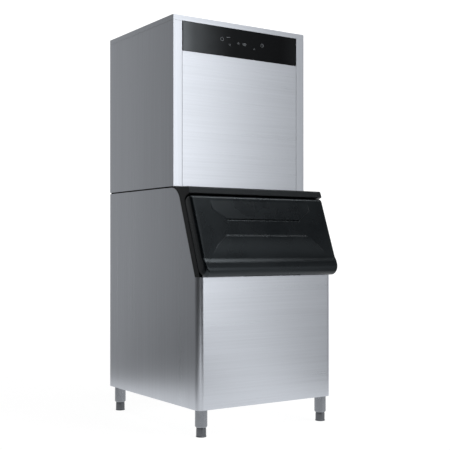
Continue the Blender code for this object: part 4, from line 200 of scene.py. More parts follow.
def rounded(corners, step=FINE_STEP):
    """The outline through (a, b, radius) corners, each with a radius turned into an arc."""
    points = []
    for index, corner in enumerate(corners):
        if corner[2] == 0:
            points.append(Vector(corner[:2]))
        else:
            points += arc(corner, corners[index - 1], corners[(index + 1) % len(corners)], step=step)
    return [(point.x, point.y) for point in points]


def box_outline(low_a, low_b, high_a, high_b, radius=0.0):
    """A rectangle's outline, its corners rounded by radius."""
    corners = ((low_a, low_b), (high_a, low_b), (high_a, high_b), (low_a, high_b))
    return rounded([(a, b, radius) for a, b in corners])


def door_point(down, out):
    """World (y, z) of a point down the door's slope and out of its frame's face."""
    sine, cosine = math.sin(DOOR_TILT), math.cos(DOOR_TILT)
    face = HEAD_FRONT - CUT_SETBACK - FRAME_THICKNESS / cosine
    return face - down * sine - out * cosine, BIN_TOP - down * cosine + out * sine


def down_at_drop(out, drop):
    """How far down the slope a point of the door's section lies that is this far below BIN_TOP."""
    return (drop + out * math.sin(DOOR_TILT)) / math.cos(DOOR_TILT)


def door_outline(corners):
    """World side-view outline of door corners (down, out, radius)."""
    return rounded([(*door_point(down, out), radius) for down, out, radius in corners])


def cut_line():
    """Corners of the bin's sloping cut in side view: slope top, top, slope foot, foot."""
    foot = BIN_TOP - DOOR_DROP - GAP
    slope_top = HEAD_FRONT - CUT_SETBACK
    return slope_top, BIN_TOP, slope_top - (BIN_TOP - foot) * math.tan(DOOR_TILT), foot


# How a flat outline stands: seen from the machine's side, from its front, from above, or on the door's slope
SIDE = Matrix(((0, 0, 1, 0), (1, 0, 0, 0), (0, 1, 0, 0), (0, 0, 0, 1)))
FRONT = Matrix(((1, 0, 0, 0), (0, 0, -1, 0), (0, 1, 0, 0), (0, 0, 0, 1)))
PLAN = Matrix.Identity(4)
DOOR = Matrix.Translation((0, *door_point(0, 0))) @ Matrix.Rotation(-DOOR_TILT, 4, "X") @ FRONT


def at(x, y, z):
    """A place that isn't turned."""
    return Matrix.Translation((x, y, z))


def along(axis, x, y, z):
    """A place whose local Z runs along a world axis."""
    angle, about = {"X": (math.pi / 2, "Y"), "Y": (-math.pi / 2, "X"), "Z": (0, "Z")}[axis]
    return at(x, y, z) @ Matrix.Rotation(angle, 4, about)


def middle_of(node):
    """The middle of a node's box, as x, y and z."""
    return [(low + high) / 2 for low, high in zip(*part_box(node))]


def new_object(name, data):
    """A new object in the scene."""
    item = bpy.data.objects.new(name, data)
    bpy.context.scene.collection.objects.link(item)
    return item


def from_bmesh(name, work, place=PLAN):
    """A new object at the origin from an edit mesh, its place in its vertices."""
    work.transform(place)
    mesh = bpy.data.meshes.new(name)
    work.to_mesh(mesh)
    work.free()
    return new_object(name, mesh)


def merged(work):
    """Join an edit mesh's points where they meet, and turn its faces outward."""
    bmesh.ops.remove_doubles(work, verts=work.verts, dist=WELD)
    bmesh.ops.recalc_face_normals(work, faces=work.faces)
    return work


def bridge(work, left, right):
    """Faces between two rows of an edit mesh's points."""
    for k in range(len(left) - 1):
        work.faces.new((left[k], right[k], right[k + 1], left[k + 1]))


def plain_mesh(item):
    """An object's mesh with its modifiers applied."""
    return bpy.data.meshes.new_from_object(item.evaluated_get(bpy.context.evaluated_depsgraph_get()))


def from_curve(name, lines, closed, **settings):
    """An edit mesh of a filled or bevelled curve through lines of points."""
    curve = bpy.data.curves.new(name, "CURVE")
    for key, value in settings.items():
        setattr(curve, key, value)
    for line in lines:
        spline = curve.splines.new("POLY")
        spline.points.add(len(line) - 1)
        for point, place in zip(spline.points, line):
            point.co = (*place, 1)
        spline.use_cyclic_u = closed
    guide = new_object(name, curve)
    mesh = plain_mesh(guide)
    bpy.data.objects.remove(guide)
    bpy.data.curves.remove(curve)
    work = bmesh.new()
    work.from_mesh(mesh)
    bpy.data.meshes.remove(mesh)
    return merged(work)


def plate(name, loops, low, high, stand=PLAN):
    """A flat outline, with any holes, given thickness from low to high across the way it stands."""
    lines = [[(a, b, 0) for a, b in loop] for loop in loops]
    work = from_curve(name, lines, True, dimensions="2D", fill_mode="BOTH", extrude=(high - low) / 2)
    bmesh.ops.dissolve_limit(work, angle_limit=FLAT_ANGLE, verts=work.verts, edges=work.edges)
    return from_bmesh(name, work, stand @ at(0, 0, (low + high) / 2))


def block(name, low, high):
    """A plain box between two corners."""
    work = bmesh.new()
    low, high = Vector(low), Vector(high)
    size = Matrix.Diagonal((*(high - low), 1))
    bmesh.ops.create_cube(work, size=1, matrix=Matrix.Translation((low + high) / 2) @ size)
    return from_bmesh(name, work)


def turned(name, profile, place, sides=64, closed=False):
    """A profile turned about Z; a closed one is a ring's whole section."""
    work = bmesh.new()
    turns = [math.tau * k / sides for k in range(sides)]
    rings = []
    for radius, height in profile:
        if radius < WELD:
            rings.append([work.verts.new((0, 0, height))])
        else:
            rings.append([work.verts.new((radius * math.cos(t), radius * math.sin(t), height)) for t in turns])
    pairs = list(zip(rings, rings[1:]))
    if closed:
        pairs.append((rings[-1], rings[0]))
    for upper, lower in pairs:
        for k in range(sides):
            following = (k + 1) % sides
            quad = [(upper, k), (lower, k), (lower, following), (upper, following)]
            corners = list(dict.fromkeys(ring[index % len(ring)] for ring, index in quad))
            if len(corners) > 2:
                work.faces.new(corners)
    bmesh.ops.recalc_face_normals(work, faces=work.faces)
    return from_bmesh(name, work, place)


def turned_ring(name, inner, outer, width, place, sides=40):
    """A plain ring of even width."""
    return turned(name, [(inner, width), (outer, width), (outer, 0), (inner, 0)], place, sides, closed=True)


def rod(name, start, end, radius, sides=48):
    """A round bar between two points."""
    start, end = Vector(start), Vector(end)
    way = end - start
    place = Matrix.Translation(start) @ way.to_track_quat("Z", "Y").to_matrix().to_4x4()
    return turned(name, [(0, way.length), (radius, way.length), (radius, 0), (0, 0)], place, sides)


def tube(name, points, radius, bend, fineness=5):
    """A round tube or wire along a route whose inner corners are bent."""
    points = [Vector(point) for point in points]
    route = [points[0]]
    for before, here, after in zip(points, points[1:], points[2:]):
        centre, start, turn = fillet(before, here, after, bend)
        axis = (after - here).normalized().cross((before - here).normalized()).normalized()
        steps = max(3, math.ceil(turn / TUBE_STEP))
        route += [centre + Matrix.Rotation(turn * k / steps, 3, axis) @ start for k in range(steps + 1)]
    route.append(points[-1])
    look = {"dimensions": "3D", "bevel_depth": radius, "bevel_resolution": fineness, "use_fill_caps": True}
    return from_bmesh(name, from_curve(name, [route], False, **look))


def bake(item):
    """Turn an object's modifiers into plain mesh."""
    bpy.context.view_layer.update()
    mesh = plain_mesh(item)
    old = item.data
    item.modifiers.clear()
    item.data = mesh
    if old.users == 0:
        bpy.data.meshes.remove(old)
    return item


def combine(target, operation, others):
    """Exact Booleans of other solids on a target, applied; the others are removed."""
    for other in others:
        step = target.modifiers.new("Combine", "BOOLEAN")
        step.operation = operation
        step.solver = "EXACT"
        step.object = other
    bake(target)
    for other in others:
        bpy.data.objects.remove(other)
    return target


def cut(target, *others):
    """Take other solids out of a target."""
    return combine(target, "DIFFERENCE", others)


def join(target, *others):
    """Unite other solids with a target."""
    return combine(target, "UNION", others)


def gathered(name, items):
    """Several solids as one object, each still its own closed shell."""
    work = bmesh.new()
    for item in items:
        work.from_mesh(item.data)
        bpy.data.objects.remove(item)
    return from_bmesh(name, work)


def soften(item, width, segments=2, angle=40):
    """Small rounded edges on a solid, baked in."""
    edge = item.modifiers.new("Edges", "BEVEL")
    edge.width = width
    edge.segments = segments
    edge.limit_method = "ANGLE"
    edge.angle_limit = math.radians(angle)
    edge.harden_normals = False
    return bake(item)


def thicken(item, thickness, offset=0, even=False):
    """Give a surface a sheet's thickness, on its inner side (-1), on both (0) or on its outer side (1)."""
    wall = item.modifiers.new("Sheet", "SOLIDIFY")
    wall.thickness = thickness
    wall.offset = offset
    wall.use_even_offset = even
    return bake(item)


def smooth(item, angle=30, flat=True):
    """Smooth shading with sharp edges where faces meet at more than an angle, large faces kept flat."""
    item.data.shade_smooth()
    item.data.set_sharp_from_angle(angle=math.radians(angle))
    if not flat:
        return item
    item.modifiers.new("Flat Faces", "WEIGHTED_NORMAL").keep_sharp = True
    return bake(item)


def copy_of(node, name=None):
    """A merged copy of a CAD node's mesh, its flat faces whole again."""
    work = bmesh.new()
    work.from_mesh(frame["nodes"][node].data)
    bmesh.ops.remove_doubles(work, verts=work.verts, dist=CAD_WELD)
    bmesh.ops.dissolve_limit(work, angle_limit=FLAT_ANGLE, verts=work.verts, edges=work.edges)
    return from_bmesh(name or node + "_fine", work)


def slot_of(node):
    """The material slot that the record gives a node."""
    for part in frame["record"]["subparts"]:
        if part["node"] == node:
            return part["material_slot"]
    raise KeyError(node)


def dress(item, look, shade):
    """Give a piece its finish, and its smooth shading where it has none yet."""
    if shade is not None:
        smooth(item, shade)
    item.data.materials.clear()
    item.data.materials.append(MATERIALS[look])


def finish_piece(item, node, shade=None):
    """Dress a piece, let it ride where its node rides, and let it stand for that node."""
    dress(item, node, shade)
    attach(item, frame["nodes"][node]["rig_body"])
    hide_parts(node)
    return item


def add_on(item, look, shade=None):
    """Dress a small extra piece of the machine's own body."""
    dress(item, look, shade)
    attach(item, "machine")
    return item


def refine(node, width, segments=2, angle=40):
    """Give a CAD node's own form small rounded edges."""
    item = soften(copy_of(node), width, segments, angle)
    return finish_piece(item, node, 30)


# Materials


def feed(node, name, value):
    """Link a node's input to a socket, or set it to a value."""
    if isinstance(value, bpy.types.NodeSocket):
        node.id_data.links.new(value, node.inputs[name])
    else:
        node.inputs[name].default_value = value


def add(tree, kind, inputs=None, **settings):
    """A new node with its settings and its inputs."""
    node = tree.nodes.new(kind)
    for name, value in settings.items():
        setattr(node, name, value)
    for name, value in (inputs or {}).items():
        feed(node, name, value)
    return node


def material(name, colour, roughness, metallic=0.0):
    """A new Principled material, its node tree and its shader."""
    made = bpy.data.materials.new(name)
    made.use_nodes = True
    made.diffuse_color = (*colour, 1)
    shader = made.node_tree.nodes["Principled BSDF"]
    feed(shader, "Base Color", (*colour, 1))
    feed(shader, "Roughness", roughness)
    feed(shader, "Metallic", metallic)
    return made, made.node_tree, shader


def mapped(tree, scale=(1, 1, 1), turn=(0, 0, 0), shift=(0, 0, 0)):
    """Object coordinates through a Mapping node."""
    place = add(tree, "ShaderNodeTexCoord").outputs["Object"]
    inputs = {"Vector": place, "Scale": scale, "Rotation": turn, "Location": shift}
    return add(tree, "ShaderNodeMapping", inputs).outputs["Vector"]


def noise(tree, vector, scale, detail, rough):
    """Soft noise between 0 and 1."""
    inputs = {"Vector": vector, "Scale": scale, "Detail": detail, "Roughness": rough}
    return add(tree, "ShaderNodeTexNoise", inputs).outputs["Fac"]


def ranged(tree, value, low, high, from_low=0.0, from_high=1.0):
    """A value's range turned into another."""
    inputs = {"Value": value, "From Min": from_low, "From Max": from_high, "To Min": low, "To Max": high}
    return add(tree, "ShaderNodeMapRange", inputs).outputs["Result"]


def worked_out(tree, operation, *values):
    """The result of a Math node."""
    return add(tree, "ShaderNodeMath", dict(enumerate(values)), operation=operation).outputs["Value"]


def mixed(tree, value, dark, light):
    """A colour between two, by a 0 to 1 value."""
    inputs = {"Factor": value, "A": dark, "B": light}
    return add(tree, "ShaderNodeMix", inputs, data_type="RGBA").outputs["Result"]


def ramp_of(tree, value, stops):
    """A colour ramp of grey levels at 0 to 1 places."""
    node = add(tree, "ShaderNodeValToRGB", {"Fac": value})
    node.color_ramp.interpolation = "EASE"
    elements = node.color_ramp.elements
    while len(elements) > 1:
        elements.remove(elements[-1])
    for index, (place, level) in enumerate(stops):
        element = elements[0] if index == 0 else elements.new(place)
        element.position = place
        element.color = (level, level, level, 1)
    return node.outputs["Color"]


def bump(tree, shader, height, strength, distance):
    """Raise a finish's surface by a height."""
    inputs = {"Height": height, "Strength": strength, "Distance": distance}
    feed(shader, "Normal", add(tree, "ShaderNodeBump", inputs).outputs["Normal"])


def shade_of(colour, factor):
    """A darker or lighter shade of a colour."""
    return tuple(min(1.0, c * factor) for c in colour)


def tint_by(tree, shader, value, colour, dark, light):
    """Let a finish's colour change between two of its shades."""
    shades = [(*shade_of(colour, factor), 1) for factor in (dark, light)]
    feed(shader, "Base Color", mixed(tree, value, *shades))


def gloss_by(tree, shader, value, low, high, from_low=0.3, from_high=0.7):
    """Let a finish's roughness change between two values."""
    feed(shader, "Roughness", ranged(tree, value, low, high, from_low, from_high))


def brushed_steel(name, colour, roughness, grain):
    """Stainless sheet with fine brush lines along one axis, and slow bands in its gloss across them."""
    made, tree, shader = material(name, colour, roughness, 1.0)

    def drawn(lengthways, across, rough):
        """Noise that is stretched along the brush lines."""
        scale = [lengthways if axis == grain else across for axis in "XYZ"]
        return noise(tree, mapped(tree, scale), 1.0, 3.0, rough)

    lines, bands, streaks = drawn(6, 900, 0.6), drawn(0.6, 26, 0.55), drawn(1.6, 150, 0.7)
    blend = worked_out(tree, "MULTIPLY_ADD", lines, 0.5, ranged(tree, streaks, 0.0, 0.5, 0.25, 0.75))
    tint_by(tree, shader, blend, colour, 0.90, 1.09)
    slow_gloss = ranged(tree, bands, roughness - 0.012, roughness + 0.016, 0.3, 0.7)
    feed(shader, "Roughness", worked_out(tree, "ADD", ranged(tree, lines, -0.03, 0.03), slow_gloss))
    bump(tree, shader, lines, 0.06, 0.0002)
    return made


def galvanised(name, colour):
    """Zinc coated sheet with soft crystal patches."""
    made, tree, shader = material(name, colour, 0.42, 1.0)
    cells = add(tree, "ShaderNodeTexVoronoi", {"Vector": mapped(tree), "Scale": 75.0})
    grey = add(tree, "ShaderNodeRGBToBW", {"Color": cells.outputs["Color"]}).outputs["Val"]
    tint_by(tree, shader, grey, colour, 0.88, 1.12)
    gloss_by(tree, shader, grey, 0.34, 0.52, 0.0, 1.0)
    return made


def moulded(name, colour, roughness, grain=(900.0, 0.00012, 0.25), spread=0.10, shine=0.4, tint=(1, 1, 1)):
    """Moulded plastic with a fine spark-eroded grain (scale, depth, strength) and slow changes of gloss."""
    made, tree, shader = material(name, colour, roughness)
    feed(shader, "Specular IOR Level", shine)
    feed(shader, "Specular Tint", (*tint, 1))
    scale, depth, strength = grain
    vector = mapped(tree)
    cloud = noise(tree, vector, 7.0, 3.0, 0.55)
    tint_by(tree, shader, cloud, colour, 1 - spread, 1 + spread)
    gloss_by(tree, shader, cloud, roughness - 0.04, roughness + 0.05)
    bump(tree, shader, noise(tree, vector, scale, 2.0, 0.6), strength, depth)
    return made


def polished(name, colour, roughness, left, right):
    """Glossy black glass with the faintest haze, and a painted sheen that makes it shinier towards its left end."""
    made, tree, shader = material(name, colour, roughness)
    haze = noise(tree, mapped(tree, (3, 3, 9)), 2.0, 3.0, 0.6)
    gloss_by(tree, shader, haze, roughness * 0.7, roughness * 1.6)
    # Painted sheen: the glass's specular level is set by place across it, highest at its left end
    across = add(tree, "ShaderNodeSeparateXYZ", {"Vector": mapped(tree)}).outputs["X"]
    feed(shader, "Specular IOR Level", ramp_of(tree, ranged(tree, across, 0, 1, left, right), PAINTED_GLASS_SHEEN))
    feed(shader, "Specular Tint", (0.86, 0.94, 1.0, 1))
    return made


def foamed(name, colour):
    """Rigid foam with open cells."""
    made, tree, shader = material(name, colour, 0.9)
    cells = add(tree, "ShaderNodeTexVoronoi", {"Vector": mapped(tree), "Scale": 420.0}).outputs["Distance"]
    tint_by(tree, shader, cells, colour, 0.82, 1.06)
    bump(tree, shader, cells, 0.5, 0.0006)
    return made


def cast(name, colour):
    """Painted casting with a sandy surface."""
    made, tree, shader = material(name, colour, 0.55)
    vector = mapped(tree)
    sand = noise(tree, vector, 380.0, 4.0, 0.65)
    tint_by(tree, shader, noise(tree, vector, 14.0, 3.0, 0.6), colour, 0.88, 1.1)
    gloss_by(tree, shader, sand, 0.45, 0.68, 0.0, 1.0)
    bump(tree, shader, sand, 0.35, 0.0005)
    return made


def drawn_metal(name, colour, roughness, stain):
    """Tube or machined metal with faint tarnish."""
    made, tree, shader = material(name, colour, roughness, 1.0)
    tarnish = noise(tree, mapped(tree), 22.0, 5.0, 0.65)
    tint_by(tree, shader, tarnish, colour, 1 - stain, 1 + stain / 3)
    gloss_by(tree, shader, tarnish, roughness - 0.07, roughness + 0.12)
    return made


def enamel(name, colour):
    """Sprayed black enamel with a slight orange-peel."""
    made, tree, shader = material(name, colour, 0.3)
    vector = mapped(tree)
    dust = noise(tree, vector, 18.0, 4.0, 0.6)
    tint_by(tree, shader, dust, colour, 1, 2.2)
    gloss_by(tree, shader, dust, 0.24, 0.42, 0.35, 0.7)
    bump(tree, shader, noise(tree, vector, 260.0, 1.0, 0.4), 0.15, 0.0004)
    return made


def laminate(name, colour):
    """Circuit board under green resist, its tracks a shade lighter."""
    made, tree, shader = material(name, colour, 0.42)
    inputs = {"Vector": mapped(tree, turn=(math.pi / 2, 0, 0)), "Scale": 60.0, "Mortar Size": 0.06}
    for key, factor in (("Color1", 0.8), ("Color2", 1), ("Mortar", 1.8)):
        inputs[key] = (*shade_of(colour, factor), 1)
    feed(shader, "Base Color", add(tree, "ShaderNodeTexBrick", inputs).outputs["Color"])
    return made


# Finish of each node, and of the display's signs and the screws
MATERIALS = {}

# Brush direction of each steel piece
BRUSHED = {
    "bin_shell": "X",
    "head_left_panel": "Z",
    "head_right_panel": "Z",
    "top_cover": "X",
    "head_front_panel": "X",
    "electrical_cover": "Z",
}

# Painted sheen on the display's glass: how strongly it shines, by place from its left end to its right
PAINTED_GLASS_SHEEN = ((0.0, 0.84), (0.11, 0.48), (0.45, 0.13), (0.85, 0.12), (1.0, 0.25))


# Sizes and colours that a user may change


def length(name, description, default):
    """A property for a length in metres."""
    return FloatProperty(name=name, description=description, default=default, unit="LENGTH")


def power(name, description, default):
    """A property for a light's power."""
    return FloatProperty(name=name, description=description, default=default, unit="POWER")


def paint(name, description, default):
    """A property for a colour."""
    limits = {"size": 3, "subtype": "COLOR", "min": 0, "max": 1}
    return FloatVectorProperty(name=name, description=description, default=default, **limits)


class IceMakerShapes(bpy.types.PropertyGroup):
    """Sizes of the fine shapes."""

    visor_top: length("Visor Top", "How far down the lid the visor starts", 0.064)
    visor_shoulder: length("Visor Shoulder", "How far down the visor's ends begin to slant", 0.094)
    visor_foot: length("Visor Foot", "How far down the lid the visor ends", 0.1292)
    visor_top_half: length("Visor Top Half Width", "Half the visor's width above", 0.205)
    visor_foot_half: length("Visor Foot Half Width", "Half the visor's width below", 0.152)
    grip_top: length("Grip Field Top", "How far down the lid the grip field starts", 0.189)
    grip_shoulder: length("Grip Field Shoulder", "How far down the grip field's ends change slant", 0.220)
    grip_top_half: length("Grip Top Half Width", "Half the grip field's width above", 0.170)
    grip_shoulder_half: length("Grip Shoulder Half Width", "Half the grip field's width at its shoulder", 0.208)
    grip_foot_half: length("Grip Foot Half Width", "Half the grip field's width below", 0.262)
    crease: length("Crease Width", "Width of the lid's moulded creases", 0.003)
    screw_radius: length("Screw Head Radius", "Radius of the panel screws' heads", 0.0042)


class IceMakerFinishes(bpy.types.PropertyGroup):
    """Colours and gloss of the finishes."""

    steel: paint("Steel", "Colour of the brushed steel", (0.598, 0.628, 0.680))
    steel_gloss: FloatProperty(
        name="Steel Roughness",
        description="Roughness of the brushed steel",
        default=0.29,
        min=0,
        max=1,
        subtype="FACTOR",
    )
    frame_black: paint("Door Frame", "Colour of the door's frame", (0.0050, 0.0060, 0.0070))
    lid_charcoal: paint("Lid", "Colour of the lid", (0.0016, 0.0028, 0.0040))
    display: paint("Display", "Colour of the display's glass", (0.0025, 0.0025, 0.003))
    icons: paint("Display Signs", "Colour of the signs on the display", (0.42, 0.45, 0.48))


class IceMakerStudio(bpy.types.PropertyGroup):
    """Light and camera of the studio."""

    key_power: power("Key Light", "Power of the large light at the front", 18.0)
    high_power: power("High Light", "Power of the small high light at the front right", 24.0)
    top_power: power("Top Light", "Power of the light overhead", 28.0)
    world: FloatProperty(name="World Light", description="Strength of the even light", default=0.25, min=0)
    lens: FloatProperty(name="Lens", description="Focal length in millimetres", default=72.06, min=10)
    floor_radius: length("Floor Radius", "Radius of the studio floor", 9.0)
    wall_height: length("Wall Height", "Height of the studio wall", 9.0)


SETTINGS = {
    "ice_maker_shapes": IceMakerShapes,
    "ice_maker_finishes": IceMakerFinishes,
    "ice_maker_studio": IceMakerStudio,
}


# Studio

# The studio's tone by direction, in degrees from straight ahead of the machine towards its left
STUDIO_TONES = (
    (-14, 0.03),
    (-20, 0.95),
    (-27, 1.0),
    (-42, 0.27),
    (-55, 0.32),
    (-75, 0.5),
    (-100, 0.85),
    (-120, 1.0),
    (-168, 1.0),
    (-190, 0.52),
    (-203, 0.45),
    (-217, 0.14),
    (-240, 0.12),
    (-262, 0.07),
    (-320, 0.03),
    (-352, 0.03),
)

# The wall's glow below and above the heights between which it fades
WALL_GLOW = (1.18, 0.20)
WALL_FADE = (4.8, 5.8)

# The floor's white patch: its middle, its glow near and far, and the distances between which that rises
FLOOR_MIDDLE = (0.2, 0.15, 0)
FLOOR_GLOW = (0.93, 1.0)
FLOOR_RISE = (1.5, 4.0)

# The distances between which the floor turns from white to the studio's tone, and the directions in which it does
FLOOR_TURN = (0.95, 1.15)
FLOOR_EDGES = (((-0.943, 0.334, 0), 0.795), ((0.676, -0.737, 0), 0.85))
FLOOR_FADE = 0.14

# Lights, as name, place, aim, width, height and the setting that holds the power
LIGHTS = (
    ("key_light", (1.65, -4.2, 2.2), (0, 0, 1.5), 1.2, 4.2, "key_power"),
    ("top_light", (-0.1, -0.4, 3.6), (0, 0, 0.7), 2.4, 2.4, "top_power"),
    ("high_light", (1.45, -1.6, 3.45), (0.1, -0.33, 0.57), 2.3, 0.5, "high_power"),
)

# Camera, level at the height of the bin's door
CAMERA_PLACE = (-1.814, -2.7827, 0.625)
CAMERA_TURN = math.radians(-33.49)
CAMERA_SHIFT = 0.0464


def studio_material(name):
    """An empty material, its node tree, its object coordinates and the studio's tone by direction."""
    made = bpy.data.materials.new(name)
    made.use_nodes = True
    tree = made.node_tree
    tree.nodes.remove(tree.nodes["Principled BSDF"])
    vector = mapped(tree)
    sweep = add(tree, "ShaderNodeTexGradient", {"Vector": vector}, gradient_type="RADIAL")
    stops = sorted(((0.25 - angle / 360) % 1.0, level) for angle, level in STUDIO_TONES)
    return made, tree, vector, ramp_of(tree, sweep.outputs["Fac"], stops)


def show(tree, surface):
    """Show a surface to the camera, to gloss and through glass, and plain diffuse to all else."""
    rays = add(tree, "ShaderNodeLightPath").outputs
    seen = worked_out(tree, "MAXIMUM", rays["Is Camera Ray"], rays["Is Glossy Ray"])
    seen = worked_out(tree, "MAXIMUM", seen, rays["Is Transmission Ray"])
    plain = add(tree, "ShaderNodeBsdfDiffuse", {"Color": (0.75, 0.75, 0.75, 1)}).outputs["BSDF"]
    mix = add(tree, "ShaderNodeMixShader", {"Fac": seen, 1: plain, 2: surface})
    feed(tree.nodes["Material Output"], "Surface", mix.outputs["Shader"])


def wall_material():
    """Seamless studio wall: white behind the machine, grey to the left rear, dark beside the camera."""
    made, tree, vector, tone = studio_material("studio_wall")
    height = add(tree, "ShaderNodeSeparateXYZ", {"Vector": vector}).outputs["Z"]
    glow = {"Color": tone, "Strength": ranged(tree, height, *WALL_GLOW, *WALL_FADE)}
    show(tree, add(tree, "ShaderNodeEmission", glow).outputs["Emission"])
    return made


def floor_material():
    """Pale floor that keeps the machine's shadow."""
    made, tree, vector, tone = studio_material("studio_floor")
    centred = mapped(tree, shift=[-place for place in FLOOR_MIDDLE])
    reach = add(tree, "ShaderNodeVectorMath", {0: centred}, operation="LENGTH").outputs["Value"]
    sides = []
    for direction, edge in FLOOR_EDGES:
        way = add(tree, "ShaderNodeVectorMath", {0: vector, 1: direction}, operation="DOT_PRODUCT")
        sides.append(ranged(tree, way.outputs["Value"], 0.0, 1.0, edge, edge + FLOOR_FADE))
    beyond = ranged(tree, reach, 0.0, 1.0, *FLOOR_TURN)
    far = worked_out(tree, "MINIMUM", beyond, worked_out(tree, "MAXIMUM", *sides))
    glow = {"Color": mixed(tree, far, (1, 1, 1, 1), tone)}
    glow["Strength"] = ranged(tree, reach, *FLOOR_GLOW, *FLOOR_RISE)
    lit = add(tree, "ShaderNodeEmission", glow).outputs["Emission"]
    shaded = add(tree, "ShaderNodeBsdfDiffuse", {"Color": (0.20, 0.20, 0.20, 1)}).outputs["BSDF"]
    show(tree, add(tree, "ShaderNodeAddShader", {0: lit, 1: shaded}).outputs["Shader"])
    return made


def area_light(name, place, aim, width, height, watts):
    """A soft rectangular light that faces a point."""
    lamp = bpy.data.lights.new(name, "AREA")
    lamp.shape = "RECTANGLE"
    lamp.size = width
    lamp.size_y = height
    lamp.energy = watts
    item = new_object(name, lamp)
    item.location = place
    item.rotation_euler = (Vector(aim) - Vector(place)).to_track_quat("-Z", "Y").to_euler()


class ICEMAKER_OT_stage(bpy.types.Operator):
    """Build the floor, the wall, the lights and the camera"""

    bl_idname = "icemaker.stage"
    bl_label = "Studio and Camera"

    def execute(self, context):
        scene = context.scene
        studio = scene.ice_maker_studio
        radius = studio.floor_radius
        floor = turned("studio_floor", [(0, 0), (radius, 0)], PLAN, 96)
        floor.data.materials.append(floor_material())
        wall = turned("studio_wall", [(radius, studio.wall_height), (radius, 0)], PLAN, 96)
        wall.data.materials.append(wall_material())
        world = bpy.data.worlds.new("studio_light")
        world.use_nodes = True
        sky = world.node_tree.nodes["Background"]
        feed(sky, "Color", (1, 1, 1, 1))
        feed(sky, "Strength", studio.world)
        scene.world = world
        for name, place, aim, width, height, setting in LIGHTS:
            area_light(name, place, aim, width, height, getattr(studio, setting))
        view = bpy.data.cameras.new("camera")
        view.lens = studio.lens
        view.sensor_width = 36.0
        view.shift_y = CAMERA_SHIFT
        camera = new_object("camera", view)
        camera.location = CAMERA_PLACE
        camera.rotation_euler = (math.pi / 2, 0, CAMERA_TURN)
        scene.camera = camera
        scene.view_settings.view_transform = "Standard"
        return {"FINISHED"}


class ICEMAKER_OT_finishes(bpy.types.Operator):
    """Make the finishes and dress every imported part"""

    bl_idname = "icemaker.finishes"
    bl_label = "Finishes"

    def execute(self, context):
        chosen = context.scene.ice_maker_finishes
        steel, black, charcoal = tuple(chosen.steel), tuple(chosen.frame_black), tuple(chosen.lid_charcoal)
        ends = [corner.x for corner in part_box("display_panel")]
        rubber_grain, white_grain, blue_grain = (500.0, 0.0002, 0.3), (700.0, 0.0001, 0.15), (700.0, 0.0001, 0.2)
        shared = {
            "steel": drawn_metal("machined_steel", steel, 0.28, 0.10),
            "galvanised": galvanised("zinc_sheet", (0.55, 0.56, 0.57)),
            "black_plastic": moulded("black_moulding", black, 0.42, shine=0.32, tint=(0.85, 0.94, 1.0)),
            "charcoal_plastic": moulded("charcoal_moulding", charcoal, 0.27, shine=0.44, tint=(0.8, 0.92, 1.0)),
            "display_black": polished("display_glass", tuple(chosen.display), 0.09, *ends),
            "rubber": moulded("soft_rubber", (0.02, 0.02, 0.02), 0.8, rubber_grain),
            "foam": foamed("rigid_foam", (0.85, 0.78, 0.55)),
            "white_plastic": moulded("white_moulding", (0.80, 0.82, 0.83), 0.38, white_grain, 0.03),
            "compressor_black": enamel("black_enamel", (0.015, 0.015, 0.016)),
            "copper": drawn_metal("copper_tube", (0.72, 0.36, 0.22), 0.28, 0.30),
            "aluminium": drawn_metal("mill_aluminium", (0.75, 0.76, 0.77), 0.36, 0.12),
            "cast_grey": cast("grey_casting", (0.35, 0.37, 0.38)),
            "brass": drawn_metal("machined_brass", (0.75, 0.58, 0.28), 0.28, 0.18),
            "board_green": laminate("green_board", (0.02, 0.16, 0.06)),
            "blue_plastic": moulded("blue_moulding", (0.05, 0.16, 0.42), 0.42, blue_grain, 0.06),
        }
        gloss = chosen.steel_gloss
        brushes = {axis: brushed_steel("brushed_steel_" + axis, steel, gloss, axis) for axis in "XZ"}
        # Legs and feet take darker shades of the steel, the feet darker still: painted shade for the shade under the
        # bin and near the floor
        leg_and_foot_shade = {
            "leg": drawn_metal("leg_steel", shade_of(steel, 0.42), 0.24, 0.08),
            "foot": drawn_metal("foot_steel", shade_of(steel, 0.22), 0.30, 0.12),
        }
        for node, item in frame["nodes"].items():
            kind = node.split("_")[0]
            if kind in leg_and_foot_shade:
                look = leg_and_foot_shade[kind]
            else:
                look = brushes[BRUSHED[node]] if node in BRUSHED else shared[slot_of(node)]
            MATERIALS[node] = look
            item.data.materials.clear()
            item.data.materials.append(look)
            for face in item.data.polygons:
                face.material_index = 0
        MATERIALS["icons"] = moulded("display_signs", tuple(chosen.icons), 0.4, spread=0.02)
        MATERIALS["screws"] = shared["steel"]
        return {"FINISHED"}


# Bin


def shell_path():
    """Plan path of the bin's steel: back return, side, rounded corner, front, and round to the other side."""
    right = [(HALF, BIN_FRONT, SHELL_CORNER), (HALF, BACK, SHELL_BEND), (HALF - SHELL_RETURN, BACK, 0)]
    left = [(-x, y, radius) for x, y, radius in reversed(right)]
    return rounded(left + right, SHELL_STEP)


def shell_top(y):
    """Height of the shell's upper edge at a depth, along the sloping cut and its rounded top."""
    slope_top, top, slope_foot, foot = cut_line()
    centre = slope_top + CUT_ROUND * math.tan((math.pi / 2 - DOOR_TILT) / 2)
    if y <= slope_foot:
        return foot
    if y >= centre:
        return top
    if y >= centre - CUT_ROUND * math.cos(DOOR_TILT):
        return top - CUT_ROUND + math.sqrt(max(CUT_ROUND**2 - (centre - y) ** 2, 0))
    return foot + (y - slope_foot) / math.tan(DOOR_TILT)


